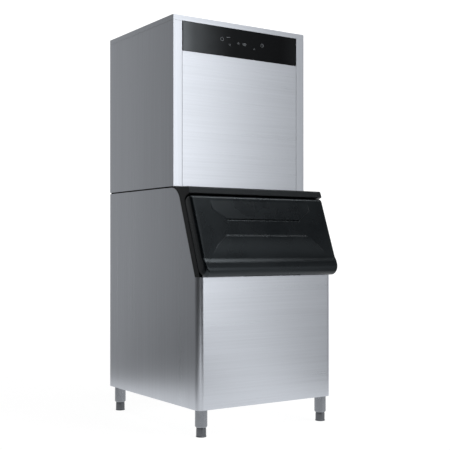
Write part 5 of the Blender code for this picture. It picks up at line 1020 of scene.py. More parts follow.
class ICEMAKER_OT_bin_shell(bpy.types.Operator):
    """Fold the bin's steel round its rounded front corners and cut it along the door's slope"""

    bl_idname = "icemaker.bin_shell"
    bl_label = "Bin Shell"

    def execute(self, context):
        slope_foot, foot = cut_line()[2:]
        cut_depths = (slope_foot, slope_foot + WELD, *np.linspace(slope_foot + 0.004, CUT_END, 60))
        path = [Vector(point) for point in shell_path()]
        points = [path[0]]
        for start, end in zip(path, path[1:]):
            near, far = sorted((start.y, end.y))
            if near < 0 and abs(start.x - end.x) < WELD and far - near > 0.1:
                depths = [depth for depth in cut_depths if near + WELD < depth < far - WELD]
                depths.sort(reverse=start.y > end.y)
                points += [Vector((start.x, depth)) for depth in depths]
            points.append(end)
        work = bmesh.new()
        columns = []
        for point in points:
            levels = (BIN_FOOT, *SHELL_LEVELS, shell_top(point.y))
            columns.append([work.verts.new((*point, level)) for level in levels])
        for left, right in zip(columns, columns[1:]):
            bridge(work, left, right)
        shell = thicken(from_bmesh("bin_shell_steel", work), SHEET, -1, even=True)
        side = HALF - SHELL_CORNER
        ledge = block("ledge", (-side, BIN_FRONT + SHEET / 2, foot - SHEET), (side, BIN_FRONT + LEDGE_WIDTH, foot))
        finish_piece(join(shell, ledge), "bin_shell", 30)
        # The front is brushed across, and the sides upward
        shell.data.materials.append(MATERIALS["head_left_panel"])
        for face in shell.data.polygons:
            if abs(face.normal.x) > 0.7:
                face.material_index = 1
        return {"FINISHED"}


class ICEMAKER_OT_bin_parts(bpy.types.Operator):
    """Round the edges of the bin's base, back panel and seam gasket"""

    bl_idname = "icemaker.bin_parts"
    bl_label = "Bin Parts"

    def execute(self, context):
        for node, width in (("bin_base", 0.0004), ("bin_back_panel", 0.0003), ("seam_gasket", 0.001)):
            refine(node, width)
        return {"FINISHED"}


class ICEMAKER_OT_legs(bpy.types.Operator):
    """Turn the four leg sleeves and their screw feet"""

    bl_idname = "icemaker.legs"
    bl_label = "Legs and Feet"

    def execute(self, context):
        top, radius, bore = BIN_FOOT - GAP, 0.0205, 0.0063
        for name in ("front_left", "front_right", "rear_left", "rear_right"):
            low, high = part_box("leg_" + name)
            x, y, _ = middle_of("leg_" + name)
            foot, shoulder = low.z, low.z - GAP
            sleeve = [
                (0, high.z),
                (0.0064, high.z),
                (0.007, high.z - 0.0006),
                (0.007, top),
                (radius - 0.0008, top),
                (radius, top - 0.0008),
                (radius, foot + 0.0042),
                (radius - 0.0004, foot + 0.0034),
                (0.0179, foot + 0.0004),
                (0.0174, foot),
                (bore + 0.0006, foot),
                (bore, foot + 0.0006),
                (bore, foot + 0.036),
                (0, foot + 0.036),
            ]
            finish_piece(turned(f"leg_{name}_sleeve", sleeve, at(x, y, 0)), "leg_" + name, 30)
            screw_foot = [
                (0, shoulder + 0.026),
                (0.0055, shoulder + 0.026),
                (0.006, shoulder + 0.0255),
                (0.006, shoulder),
                (0.0150, shoulder),
                (0.0155, shoulder - 0.0005),
                (0.0165, shoulder - 0.005),
                (0.0165, 0.004),
                (0.0175, 0.0028),
                (0.0175, 0.0008),
                (0.0169, 0),
                (0, 0),
            ]
            finish_piece(turned(f"foot_{name}_turned", screw_foot, at(x, y, 0)), "foot_" + name, 30)
        return {"FINISHED"}


# Sloping door


def hinge_ear(side):
    """A round-ended ear that carries a hinge pin inside the lid."""
    foot, tip = -FRAME_THICKNESS / 2, PIVOT_OUT + EAR_NECK
    upper, lower, tip_round = PIVOT_DOWN - EAR_NECK, PIVOT_DOWN + EAR_NECK, EAR_NECK * 0.999
    corners = [(upper, foot, 0), (lower, foot, 0), (lower, tip, tip_round), (upper, tip, tip_round)]
    low, high = sorted((side * (EAR_OUTER - EAR_THICKNESS), side * EAR_OUTER))
    return plate("ear", [door_outline(corners)], low, high, SIDE)


def pivot_rods(start, end, radius):
    """A round bar on the hinge's axis at each side, between two distances from the machine's middle."""
    y, z = door_point(PIVOT_DOWN, PIVOT_OUT)
    return [rod("pivot", (side * start, y, z), (side * end, y, z), radius, 32) for side in (-1, 1)]


class ICEMAKER_OT_door_frame(bpy.types.Operator):
    """Mould the door's frame with its brow, its collar round the mouth and its hinge ears"""

    bl_idname = "icemaker.door_frame"
    bl_label = "Door Frame"

    def execute(self, context):
        top, foot, roof = BIN_TOP - GAP, BIN_TOP - DOOR_DROP, BIN_TOP + GAP
        lip_foot, tail = LID_TOP - LID_TOP_GAP, HEAD_FRONT + FRAME_TAIL
        section = [
            (*door_point(down_at_drop(LID_THICKNESS, GAP), LID_THICKNESS), FRAME_FRONT_ROUND),
            (*door_point(lip_foot, LID_THICKNESS), FRAME_LIP_ROUND),
            (*door_point(lip_foot, 0), FRAME_INNER_ROUND),
            (*door_point(down_at_drop(0, DOOR_DROP), 0), 0),
            (tail, foot, 0),
            (tail, top, 0),
        ]
        body = soften(plate("door_frame_moulding", [rounded(section)], -HALF, HALF, SIDE), 0.0012, 2, 60)
        setback, deep = cut_line()[0] - GAP / math.cos(DOOR_TILT), foot - OVERRUN
        room = [
            (setback - (roof - deep) * math.tan(DOOR_TILT), deep, 0),
            (setback, roof, CUT_ROUND),
            (BACK + OVERRUN, roof, 0),
            (BACK + OVERRUN, deep, 0),
        ]
        cut(body, plate("bin_room", [rounded(room)], -HALF - OVERRUN, HALF + OVERRUN, SIDE))
        half, wall = MOUTH_HALF, COLLAR_WALL
        lip_low = (-half, HEAD_FRONT - CUT_SETBACK, top - BROW_LIP_HEIGHT)
        lip = block("brow_lip", lip_low, (half, HEAD_FRONT + BROW_LIP_LENGTH, top))
        outline = box_outline(-half - wall, -MOUTH_FOOT - wall, half + wall, -MOUTH_TOP + wall, MOUTH_ROUND + wall)
        join(body, lip, plate("collar", [outline], -COLLAR_DEPTH, -FRAME_THICKNESS / 2, DOOR))
        mouth = box_outline(-half, -MOUTH_FOOT, half, -MOUTH_TOP, MOUTH_ROUND)
        cut(body, plate("mouth", [mouth], -COLLAR_DEPTH - OVERRUN, OVERRUN, DOOR))
        join(body, hinge_ear(-1), hinge_ear(1))
        cut(body, *pivot_rods(HALF / 2, HALF, PIN_RADIUS + GAP))
        finish_piece(body, "door_frame", 30)
        return {"FINISHED"}


def lid_corners(inset, back, drop):
    """Corners of the lid's section, inset by a wall: (down, out, radius)."""
    face = LID_THICKNESS - inset
    nose = face + EMBOSS
    return [
        (LID_TOP + inset, back, max(LID_BACK_ROUND - inset, 0)),
        (LID_TOP + inset, face, LID_TOP_ROUND - inset),
        (NOSE_START, face, NOSE_SWEEP),
        (NOSE_START + NOSE_RAMP, nose, NOSE_SWEEP),
        (down_at_drop(nose, drop), nose, NOSE_ROUND - inset),
        (down_at_drop(back, drop), back, 0),
    ]


def lid_lift(across):
    """How far the lid's foot rises at its rounded lower corners."""
    past = min(LID_FOOT_ROUND, max(0.0, abs(across) - (LID_HALF - LID_FOOT_ROUND)))
    return LID_FOOT_ROUND - math.sqrt(LID_FOOT_ROUND**2 - past**2)


def lid_ring(inset, rows, lift):
    """The lid's section as a ring of (down, out) points with the same count at every inset."""
    corners = lid_corners(inset, LID_GAP, DOOR_DROP - inset - lift)
    arcs = [arc(corners[k], corners[k - 1], corners[k + 1], steps) for k, steps in enumerate(LID_ARC_STEPS)]
    back_top, face_top, ramp_in, ramp_out, nose = arcs
    line = [face_top[-1], *ramp_in, *ramp_out, Vector((NOSE_END, nose[0].y))]
    downs, outs = [p.x for p in line], [p.y for p in line]
    share = (nose[0].x - LID_SLIDE) / (NOSE_END - LID_SLIDE)
    face = []
    for down in rows:
        past = max(0.0, down - LID_SLIDE)
        face.append(Vector((down - past + past * share, float(np.interp(down, downs, outs)))))
    return back_top + face_top, face, nose + [Vector(corners[-1][:2])]


def lid_rows(shapes):
    """Places down the lid's face, close together at each crease."""
    start, end = LID_TOP + LID_TOP_ROUND + 0.001, NOSE_END - 0.0005
    rows = list(np.arange(start, end, 0.0035))
    for place, width in ((shapes.visor_top, 0.002), (shapes.visor_foot, 0.003), (shapes.grip_top, 0.004)):
        rows = [row for row in rows if abs(row - place) > width + 0.0006]
        rows += list(place + np.linspace(-width, width, 13))
    return sorted(row for row in rows if start <= row <= end)


def ease(value):
    """Smooth step from 0 to 1."""
    value = min(1.0, max(0.0, value))
    return value * value * (3 - 2 * value)


def field_edge(shapes, down):
    """Half width of the lid's raised fields at a place down the lid."""
    edges = (
        (shapes.visor_top, shapes.visor_top_half),
        (shapes.visor_shoulder, shapes.visor_top_half),
        (shapes.visor_foot, shapes.visor_foot_half),
        (shapes.grip_top, shapes.grip_top_half),
        (shapes.grip_shoulder, shapes.grip_shoulder_half),
        (NOSE_START + NOSE_RAMP, shapes.grip_foot_half),
    )
    return float(np.interp(down, *zip(*edges)))


def lid_columns(shapes, down):
    """Places across the lid's flat part at a place down it, close together at its fields' ends."""
    edge, crease = field_edge(shapes, down), shapes.crease * BAND_SHARES[-1]
    near = edge + crease
    right = [edge + shapes.crease * share for share in BAND_SHARES]
    right += [near + share * (LID_HALF - LID_EDGE_ROUND - near) for share in OUTER_SHARES]
    middle = [share * (edge - crease) for share in np.linspace(-1, 1, 41)[1:-1]]
    return [-x for x in reversed(right)] + middle + right


def lid_rise(shapes, down, across):
    """How far the lid's raised fields stand out of its face, as a share of their full height."""
    crease, fine, broad = shapes.crease, shapes.crease * 0.6, shapes.crease * 2.2
    side = ease((field_edge(shapes, down) + crease / 2 - abs(across)) / crease)
    visor = max(0.0, (down - shapes.visor_top) / (shapes.visor_foot - shapes.visor_top))
    visor = min(visor, 1.0) * ease((shapes.visor_foot + fine / 2 - down) / fine)
    groove = max(0.0, 1 - abs(down - shapes.visor_foot - fine) / fine)
    past = down - shapes.grip_top
    grip = ease((past + broad / 2) / broad) * (1 - ease((past - broad / 2) / GRIP_FADE))
    return side * (max(visor, grip) - 0.55 * ease(groove))


# Steps of the lid's arcs, of its rounded sides, across its creases' bands, and out from there to its sides
LID_ARC_STEPS = (13, 13, 8, 8, 19)
LID_EDGE_STEPS = 8
BAND_SHARES = (-0.75, -0.5, -0.25, 0, 0.25, 0.5, 0.75)
OUTER_SHARES = (0.25, 0.5, 0.75, 0.9)


def lid_body(shapes):
    """The lid's outer form, as a closed solid."""
    work = bmesh.new()
    rows = lid_rows(shapes)

    def ring_of(places):
        """A ring of the form's points at (x, down, out) places."""
        return [work.verts.new((x, *door_point(down, out))) for x, down, out in places]

    def plain_ring(x, inset):
        """A ring of one section, inset at the lid's rounded side."""
        above, face, below = lid_ring(inset, rows, lid_lift(x))
        return ring_of([(x, *point) for point in above + face + below])

    ends = []
    for k in range(LID_EDGE_STEPS + 1):
        turn = math.pi / 2 * k / LID_EDGE_STEPS
        x = LID_HALF - LID_EDGE_ROUND + LID_EDGE_ROUND * math.cos(turn)
        ends.append((x, LID_EDGE_ROUND * (1 - math.sin(turn))))
    made = [plain_ring(-x, inset) for x, inset in ends]
    first, last = lid_columns(shapes, rows[0]), lid_columns(shapes, rows[-1])
    for index, (top_x, foot_x) in enumerate(zip(first, last)):
        above, face, below = lid_ring(0.0, rows, lid_lift(foot_x))
        places = [(top_x, *point) for point in above]
        for down, out in face:
            x = lid_columns(shapes, down)[index]
            places.append((x, down, out + (LID_THICKNESS + EMBOSS - out) * lid_rise(shapes, down, x)))
        made.append(ring_of(places + [(foot_x, *point) for point in below]))
    made += [plain_ring(x, inset) for x, inset in reversed(ends)]
    for left, right in zip(made, made[1:]):
        bridge(work, right + right[:1], left + left[:1])
    work.faces.new(made[0])
    work.faces.new(made[-1][::-1])
    return from_bmesh("bin_lid_moulding", merged(work))


class ICEMAKER_OT_lid(bpy.types.Operator):
    """Mould the lid with its raised visor, its grip field and its hooked nose"""

    bl_idname = "icemaker.lid"
    bl_label = "Lid"

    def execute(self, context):
        lid = lid_body(context.scene.ice_maker_shapes)
        inside, wall, start = LID_HALF - LID_WALL, LID_GAP + LID_WALL, LID_TOP + LID_BACK_ROUND + LID_WALL
        hollow = [
            (start, -LID_GAP, 0),
            (start, wall, 0),
            (LID_TOP + LID_WALL, wall, LID_BACK_ROUND - LID_WALL),
            *lid_corners(LID_WALL, -LID_GAP, DOOR_DROP - NOSE_SOLID)[1:],
        ]
        hollow[-2] = (*hollow[-2][:2], LID_WALL)
        slot_top, slot_foot = LID_TOP - OVERRUN, EAR_SLOT_FOOT + EAR_SLOT_GAP
        slot_out = PIVOT_OUT + EAR_NECK + EAR_SLOT_GAP
        slot = [
            (slot_top, -OVERRUN, 0),
            (slot_foot, -OVERRUN, 0),
            (slot_foot, slot_out, 0),
            (slot_top, slot_out, 0),
        ]
        cutters = [plate("lid_inside", [door_outline(hollow)], -inside, inside, SIDE)]
        for side in (-1, 1):
            slot_inner = EAR_OUTER - EAR_THICKNESS - EAR_SLOT_GAP
            low, high = sorted((side * slot_inner, side * (EAR_OUTER + EAR_SLOT_GAP)))
            cutters.append(plate("ear_slot", [door_outline(slot)], low, high, SIDE))
        foot = BIN_TOP - DOOR_DROP
        groove = box_outline(-FINGER_HALF, FINGER_FRONT, FINGER_HALF, FINGER_FRONT + FINGER_WIDTH, FINGER_ROUND)
        cutters.append(plate("finger_groove", [groove], foot - OVERRUN, foot + FINGER_DEPTH))
        cut(lid, *cutters)
        join(lid, *pivot_rods(inside + LID_WALL / 2, inside - BOSS_LENGTH, BOSS_RADIUS))
        cut(lid, *pivot_rods(EAR_OUTER + PIN_REACH, inside - BOSS_LENGTH - OVERRUN, PIN_RADIUS + GAP))
        finish_piece(smooth(lid, 42, flat=False), "bin_lid")
        return {"FINISHED"}


class ICEMAKER_OT_lid_lining(bpy.types.Operator):
    """Form the lid's inner panel with its plug, and its gasket"""

    bl_idname = "icemaker.lid_lining"
    bl_label = "Lid Lining"

    def execute(self, context):
        refine("lid_inner_panel", 0.0008, 3, 25)
        refine("lid_gasket", 0.0014, 3)
        return {"FINISHED"}


# Head casing


class ICEMAKER_OT_casing(bpy.types.Operator):
    """Round the folds of the head's steel casing"""

    bl_idname = "icemaker.casing"
    bl_label = "Head Casing"

    def execute(self, context):
        for node in ("head_left_panel", "head_front_panel", "top_cover"):
            refine(node, 0.0004)
        return {"FINISHED"}


def stroke(points, width, closed=False):
    """A line of (a, b) points as a flat outline of even width, with square ends."""
    points = [Vector(point) for point in points]
    left, right = [], []
    for index, here in enumerate(points):
        before = points[index - 1] if index or closed else here
        after = points[(index + 1) % len(points)] if index + 1 < len(points) or closed else here
        way = (here - before).normalized() + (after - here).normalized()
        side = Vector((-way.y, way.x)).normalized() * width / 2
        left.append(tuple(here + side))
        right.append(tuple(here - side))
    return [left, right] if closed else [left + right[::-1]]


def round_line(x, z, radius, start=0.0, end=360.0, count=28):
    """Points on a part of a circle, in degrees anticlockwise from the right."""
    turns = [math.radians(start + (end - start) * k / count) for k in range(count + 1)]
    if end - start >= 360:
        turns.pop()
    return [(x + radius * math.cos(t), z + radius * math.sin(t)) for t in turns]


def display_signs():
    """Strokes of the touch display's plain signs, as (points, width, closed)."""
    line, thin = 0.0009, 0.00072
    x, z = -0.083, 1.349
    signs = [(round_line(x, z, 0.0062, 115, 425), line, False), ([(x, z + 0.0020), (x, z + 0.0082)], line, False)]
    for x, z, tip in ((-0.051, 1.332, -0.003), (0.055, 1.330, 0.003)):
        signs.append(([(x - 0.0035, z - tip), (x, z + tip), (x + 0.0035, z - tip)], line, False))
    x, z = -0.014, 1.342
    for k in range(3):
        turn = math.radians(60 * k)
        a, b = 0.0052 * math.cos(turn), 0.0052 * math.sin(turn)
        signs.append(([(x - a, z - b), (x + a, z + b)], thin, False))
    for radius in (0.0045, 0.0080, 0.0115):
        signs.append((round_line(0.012, 1.333, radius, 40, 140), line, False))
    x, z = 0.089, 1.347
    signs.append((round_line(x, z, 0.0060), line, True))
    signs += [([(x, z), (x, z + 0.0042)], thin, False), ([(x, z), (x + 0.0030, z)], thin, False)]
    for k in range(4):
        signs.append((round_line(-0.064 + 0.0045 * k, 1.358, 0.0009, count=10), 0.0008, True))
    return signs


class ICEMAKER_OT_display(bpy.types.Operator):
    """Polish the display's glass and print its signs"""

    bl_idname = "icemaker.display"
    bl_label = "Display"

    def execute(self, context):
        refine("display_panel", 0.0008, 3)
        place = at(0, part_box("display_panel")[0].y, 0) @ FRONT
        signs = [plate("sign", stroke(*sign), -0.00006, 0.00012, place) for sign in display_signs()]
        add_on(gathered("display_signs", signs), "icons")
        return {"FINISHED"}


# Repeated pieces


def grown_tree(name, inputs):
    """A new geometry tree with named inputs, and the sockets that give them."""
    tree = bpy.data.node_groups.new(name, "GeometryNodeTree")
    for label, kind in {"Geometry": "Geometry", **inputs}.items():
        tree.interface.new_socket(label, in_out="INPUT", socket_type="NodeSocket" + kind)
    tree.interface.new_socket("Geometry", in_out="OUTPUT", socket_type="NodeSocketGeometry")
    return tree, add(tree, "NodeGroupInput").outputs


def instances(tree, given, points, **inputs):
    """The tree's item on each of some points, as mesh."""
    item = add(tree, "GeometryNodeObjectInfo", {"Object": given["Item"]}, transform_space="ORIGINAL")
    inputs = {"Points": points, "Instance": item.outputs["Geometry"], **inputs}
    placed = add(tree, "GeometryNodeInstanceOnPoints", inputs).outputs["Instances"]
    return add(tree, "GeometryNodeRealizeInstances", {"Geometry": placed}).outputs["Geometry"]


def points_tree():
    """One item on each point of a mesh, turned to face the point's own direction."""
    if "items_on_points" in bpy.data.node_groups:
        return bpy.data.node_groups["items_on_points"]
    tree, given = grown_tree("items_on_points", {"Item": "Object"})
    facing = add(tree, "GeometryNodeInputNamedAttribute", {"Name": "facing"}, data_type="FLOAT_VECTOR")
    turn = add(tree, "FunctionNodeAlignRotationToVector", {"Vector": facing.outputs["Attribute"]}, axis="Z")
    made = instances(tree, given, given["Geometry"], Rotation=turn.outputs["Rotation"])
    add(tree, "NodeGroupOutput", {"Geometry": made})
    return tree


def rows_tree():
    """Rows and columns of one item."""
    if "items_in_rows" in bpy.data.node_groups:
        return bpy.data.node_groups["items_in_rows"]
    inputs = {"Start": "Vector", "Step": "Vector", "Count": "Int", "Column Step": "Vector", "Columns": "Int"}
    tree, given = grown_tree("items_in_rows", {"Item": "Object", **inputs})
    line = {"Count": given["Count"], "Offset": given["Step"], "Start Location": given["Start"]}
    row = add(tree, "GeometryNodeMeshLine", line).outputs["Mesh"]
    line = {"Count": given["Columns"], "Offset": given["Column Step"]}
    column = add(tree, "GeometryNodeMeshLine", line).outputs["Mesh"]
    grid = add(tree, "GeometryNodeInstanceOnPoints", {"Points": column, "Instance": row}).outputs["Instances"]
    points = add(tree, "GeometryNodeRealizeInstances", {"Geometry": grid}).outputs["Geometry"]
    add(tree, "NodeGroupOutput", {"Geometry": instances(tree, given, points)})
    return tree


def flight_tree():
    """A screw flight: a four-sided section swept up a spiral."""
    inputs = dict.fromkeys(("Turns", "Height", "Middle Radius", "Half Reach", "Root", "Edge"), "Float")
    tree, given = grown_tree("screw_flight", {**inputs, "Resolution": "Int"})
    radius = given["Middle Radius"]
    shape = {"Rotations": given["Turns"], "Height": given["Height"], "Start Radius": radius, "End Radius": radius}
    spiral = add(tree, "GeometryNodeCurveSpiral", {**shape, "Resolution": given["Resolution"]}).outputs["Curve"]
    upright = add(tree, "GeometryNodeSetCurveNormal", {"Curve": spiral}, mode="Z_UP").outputs["Curve"]
    points = {}
    corners = ((-1, 0.5, "Root"), (1, 0.5, "Edge"), (1, -0.5, "Edge"), (-1, -0.5, "Root"))
    for number, (reach, rise, size) in enumerate(corners, 1):
        across = worked_out(tree, "MULTIPLY", given["Half Reach"], reach)
        up = worked_out(tree, "MULTIPLY", given[size], rise)
        points[f"Point {number}"] = add(tree, "ShaderNodeCombineXYZ", {"X": across, "Y": up}).outputs["Vector"]
    section = add(tree, "GeometryNodeCurvePrimitiveQuadrilateral", points, mode="POINTS").outputs["Curve"]
    sweep = {"Curve": upright, "Profile Curve": section, "Fill Caps": True}
    made = add(tree, "GeometryNodeCurveToMesh", sweep).outputs["Mesh"]
    add(tree, "NodeGroupOutput", {"Geometry": made})
    return tree


def grow(item, tree, values):
    """Run a geometry tree on an object with its inputs set, and keep the result as plain mesh."""
    step = item.modifiers.new("Repeat", "NODES")
    step.node_group = tree
    for socket in tree.interface.items_tree:
        if socket.in_out == "INPUT" and socket.name in values:
            step[socket.identifier] = values[socket.name]
    return bake(item)


def scattered(name, item, places):
    """Copies of an item at (point, direction) places."""
    mesh = bpy.data.meshes.new(name)
    mesh.from_pydata([point for point, _ in places], [], [])
    facing = mesh.attributes.new("facing", "FLOAT_VECTOR", "POINT")
    for index, (_, direction) in enumerate(places):
        facing.data[index].vector = direction
    made = grow(new_object(name, mesh), points_tree(), {"Item": item})
    if "facing" in made.data.attributes:
        made.data.attributes.remove(made.data.attributes["facing"])
    bpy.data.objects.remove(item)
    return made


def rows_of(name, item, start, step, count, column_step=(0, 0, 0), columns=1):
    """Rows and columns of an item."""
    values = {"Item": item, "Start": start, "Step": step, "Count": count}
    values |= {"Column Step": column_step, "Columns": columns}
    made = grow(new_object(name, bpy.data.meshes.new(name)), rows_tree(), values)
    bpy.data.objects.remove(item)
    return made


def screw_head(radius):
    """A pan-headed screw with a cross recess, its seat at the origin and its head up Z."""
    height, stem, foot = radius * 0.55, radius * 0.5, -radius * 0.6
    profile = [(0, height)]
    for k in range(1, 7):
        turn = math.radians(15 * k)
        profile.append((radius * math.sin(turn), height * (0.35 + 0.65 * math.cos(turn))))
    head = turned("screw", profile + [(radius, 0), (stem, 0), (stem, foot), (0, foot)], PLAN, 24)
    long, thin = radius * 0.62, radius * 0.13
    low, high = height * 0.45, height * 2
    cross = [block("recess", (-a, -b, low), (a, b, high)) for a, b in ((long, thin), (thin, long))]
    return smooth(cut(head, *cross), 35)


def bolts(name, radius, places):
    """Hexagonal bolt heads with a chamfered top and a washer, upright at points on the machine."""
    washer = [(0, 0.0009), (radius * 1.25, 0.0009), (radius * 1.25, 0), (0, 0)]
    hexagon = [(0, radius), (radius * 0.8, radius), (radius, radius * 0.88), (radius, 0.0004), (0, 0.0004)]
    head = smooth(join(turned("bolt", washer, PLAN, 32), turned("hexagon", hexagon, PLAN, 6)), 35)
    add_on(scattered(name, head, [(place, (0, 0, 1)) for place in places]), "screws")


def circle(x, y, z, radius, count, start):
    """Points evenly round a centre, from an angle in radians."""
    turns = [start + math.tau * k / count for k in range(count)]
    return [(x + radius * math.cos(t), y + radius * math.sin(t), z) for t in turns]


def thread(radius, depth, top, pitch, count):
    """Points of a thread's ridges down a profile."""
    points = []
    for k in range(count):
        points += [(radius, top - pitch * k), (radius - depth, top - pitch * (k + 0.5))]
    return points


def grooves(radius, inner, tops, width, slope):
    """Points of a profile's grooves with sloping sides."""
    points = []
    for top in tops:
        points += [(radius, top), (inner, top - slope), (inner, top - width + slope), (radius, top - width)]
    return points


def arc_profile(radius, height, rise, turns=8):
    """Points of a domed end, from its middle out: a quarter ellipse that rises above a height."""
    steps = [math.pi / 2 * k / turns for k in range(turns + 1)]
    return [(radius * math.sin(step), height + rise * math.cos(step)) for step in steps]


# Ventilation: the louvres' size and spacing, how far their hoods stand out, and how far the back's lie apart
LOUVRE_LENGTH = 0.170
LOUVRE_HEIGHT = 0.009
LOUVRE_PITCH = 0.022
HOOD_REACH = 0.006
BACK_COLUMN = 0.142


def hood():
    """A louvre's pressed hood: a thin scoop, closed at both ends, that hangs from its slot's upper edge."""
    work = bmesh.new()
    rows = []
    for end in np.linspace(-1, 1, 25):
        near = max(0.0, (abs(end) - 0.94) / 0.06)
        reach = HOOD_REACH * math.sqrt(max(0.0, 1 - near * near))
        row = []
        for k in range(8):
            turn = math.pi / 2 * k / 7
            z = LOUVRE_HEIGHT * (1 - 0.96 * (1 - math.cos(turn)))
            row.append(work.verts.new((LOUVRE_LENGTH / 2 * float(end), -reach * math.sin(turn), z)))
        rows.append(row)
    for left, right in zip(rows, rows[1:]):
        bridge(work, right, left)
    return thicken(from_bmesh("hood", work), 0.0007, 1)


class ICEMAKER_OT_louvres(bpy.types.Operator):
    """Press the louvres' hoods into the right side panel and the back panel"""

    bl_idname = "icemaker.louvres"
    bl_label = "Louvres"

    def execute(self, context):
        half, pitch = LOUVRE_LENGTH / 2, (0, 0, LOUVRE_PITCH)
        middle, foot = HEAD_FRONT + 0.210, HEAD_FOOT + 0.060
        panel = copy_of("head_left_panel", "head_right_panel_fine")
        panel.data.transform(Matrix.Scale(-1, 4, (1, 0, 0)))
        panel.data.flip_normals()
        slot = block("slot", (-SHEET, -half, 0), (2 * SHEET, half, LOUVRE_HEIGHT))
        cut(panel, rows_of("slots", slot, (HALF - SHEET, middle, foot), pitch, 12))
        finish_piece(soften(panel, 0.0003), "head_right_panel", 30)
        scoop = hood()
        scoop.data.transform(Matrix.Rotation(-math.pi / 2, 4, "Z"))
        hoods = rows_of("side_hoods", scoop, (HALF - SHEET / 2, middle, foot), pitch, 12)
        add_on(hoods, "head_right_panel", 40)
        low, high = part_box("head_back_panel")
        back, rise, apart = high.y, HEAD_FOOT + 0.372, (2 * BACK_COLUMN, 0, 0)
        panel = block("head_back_panel_fine", (low.x, back - SHEET, low.z), (high.x, back, high.z))
        slot = block("slot", (-half, -2 * SHEET, 0), (half, SHEET, LOUVRE_HEIGHT))
        cut(panel, rows_of("slots", slot, (-BACK_COLUMN, back, rise), pitch, 8, apart, 2))
        holes = []
        for node in ("water_inlet", "power_gland"):
            x, _, z = middle_of(node)
            holes.append(rod("hole", (x, back - 0.02, z), (x, back + 0.02, z), 0.0123))
        cut(panel, *holes)
        finish_piece(soften(panel, 0.0003), "head_back_panel", 30)
        hoods = rows_of("back_hoods", hood(), (-BACK_COLUMN, back - SHEET / 2, rise), pitch, 8, apart, 2)
        add_on(hoods, "head_back_panel", 40)
        return {"FINISHED"}


class ICEMAKER_OT_screws(bpy.types.Operator):
    """Drive the casing's screws"""

    bl_idname = "icemaker.screws"
    bl_label = "Screws"

    def execute(self, context):
        places = []
        for side in (-1, 1):
            places += [((side * 0.2725, BACK, z), (0, 1, 0)) for z in (0.862, 0.985, 1.108, 1.231, 1.354)]
            places += [((side * 0.271, BACK, z), (0, 1, 0)) for z in (0.125, 0.295, 0.465, 0.635, 0.800)]
        places += [((x, BACK, 1.4005), (0, 1, 0)) for x in (-0.20, 0, 0.20)]
        inset = 0.009
        low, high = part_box("electrical_cover")
        for x in (low.x + inset, high.x - inset):
            places += [((x, low.y, z), (0, -1, 0)) for z in (low.z + inset, high.z - inset)]
        low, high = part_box("fan_shroud")
        for y in (low.y + inset, high.y - inset):
            places += [((high.x - SHROUD_SHEET, y, z), (-1, 0, 0)) for z in (low.z + inset, high.z - inset)]
        head = screw_head(context.scene.ice_maker_shapes.screw_radius)
        add_on(scattered("casing_screws", head, places), "screws")
        return {"FINISHED"}


# Bin fittings


def fitting(node, nut_radius, domed):
    """A threaded stub through the back panel, with hexagonal nuts on both sides."""
    low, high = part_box(node)
    x, _, z = middle_of(node)
    radius, bore, length = 0.012, 0.0052 if domed else 0.0062, high.y - low.y
    top, pitch = length - 0.0006, 0.0015
    outside = BACK - SHEET + 0.0005 - low.y
    count = int((length - outside - 0.0075) / pitch)
    profile = [(bore, length), (radius - 0.0008, length), *thread(radius, 0.0007, top, pitch, count)]
    profile += [(radius, top - pitch * count), (radius, 0), (bore, 0)]
    stub = turned(node + "_stub", profile, along("Y", x, low.y, z), 48, closed=True)
    rim, inner, flat = 0.0008, bore + 0.002, nut_radius * 0.88
    for near, thick in ((low.y, 0.006), (BACK - SHEET, 0.006 if domed else 0.008)):
        profile = [(inner, thick), (flat, thick), (nut_radius, thick - rim), (nut_radius, rim), (flat, 0), (inner, 0)]
        join(stub, turned("nut", profile, along("Y", x, near, z), 6, closed=True))
    if domed:
        profile = [
            (bore, 0.0125),
            (0.0085, 0.0125),
            (0.0108, 0.0115),
            (0.0128, 0.0085),
            (0.0134, 0.0045),
            (0.0134, 0),
            (bore, 0),
        ]
        join(stub, turned("cap", profile, along("Y", x, high.y - 0.0125, z), 48, closed=True))
    finish_piece(stub, node, 32)


def bin_drain():
    """The drain's threaded stub and its flange inside the bin."""
    low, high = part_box("bin_drain")
    length = high.y - low.y
    profile = [(0.009, length), (0.0122, length), (0.013, length - 0.0008)]
    profile += thread(0.013, 0.0008, length - 0.0016, 0.0018, 7)
    profile += [(0.013, length - 0.0160), (0.013, 0.005), (0.0136, 0.004), (0.0178, 0.004), (0.0185, 0.0033)]
    profile += [(0.0185, 0.0007), (0.0178, 0), (0.0105, 0), (0.009, 0.0015)]
    place = along("Y", 0, low.y, middle_of("bin_drain")[2])
    finish_piece(turned("bin_drain_turned", profile, place, 48, closed=True), "bin_drain", 32)


def level_sensor():
    """The level sensor's round-ended tube and its two clips."""
    low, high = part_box("level_sensor")
    radius, length = 0.005, high.y - low.y
    x, z = high.x - radius, middle_of("level_sensor")[2]
    profile = arc_profile(radius, length - radius, radius, 6)
    profile += [(reach, radius - rise) for reach, rise in reversed(arc_profile(radius, 0, radius, 6))]
    clips = []
    for y in (low.y + 0.012, high.y - 0.012):
        clips.append(block("clip", (low.x, y - 0.006, z - 0.0025), (x, y + 0.006, z + 0.0025)))
        clips.append(turned_ring("band", 0.0046, 0.0056, 0.010, along("Y", x, y - 0.005, z), 32))
    sensor = turned("level_sensor_bulb", profile, along("Y", x, low.y, z), 32)
    finish_piece(join(sensor, *clips), "level_sensor", 32)


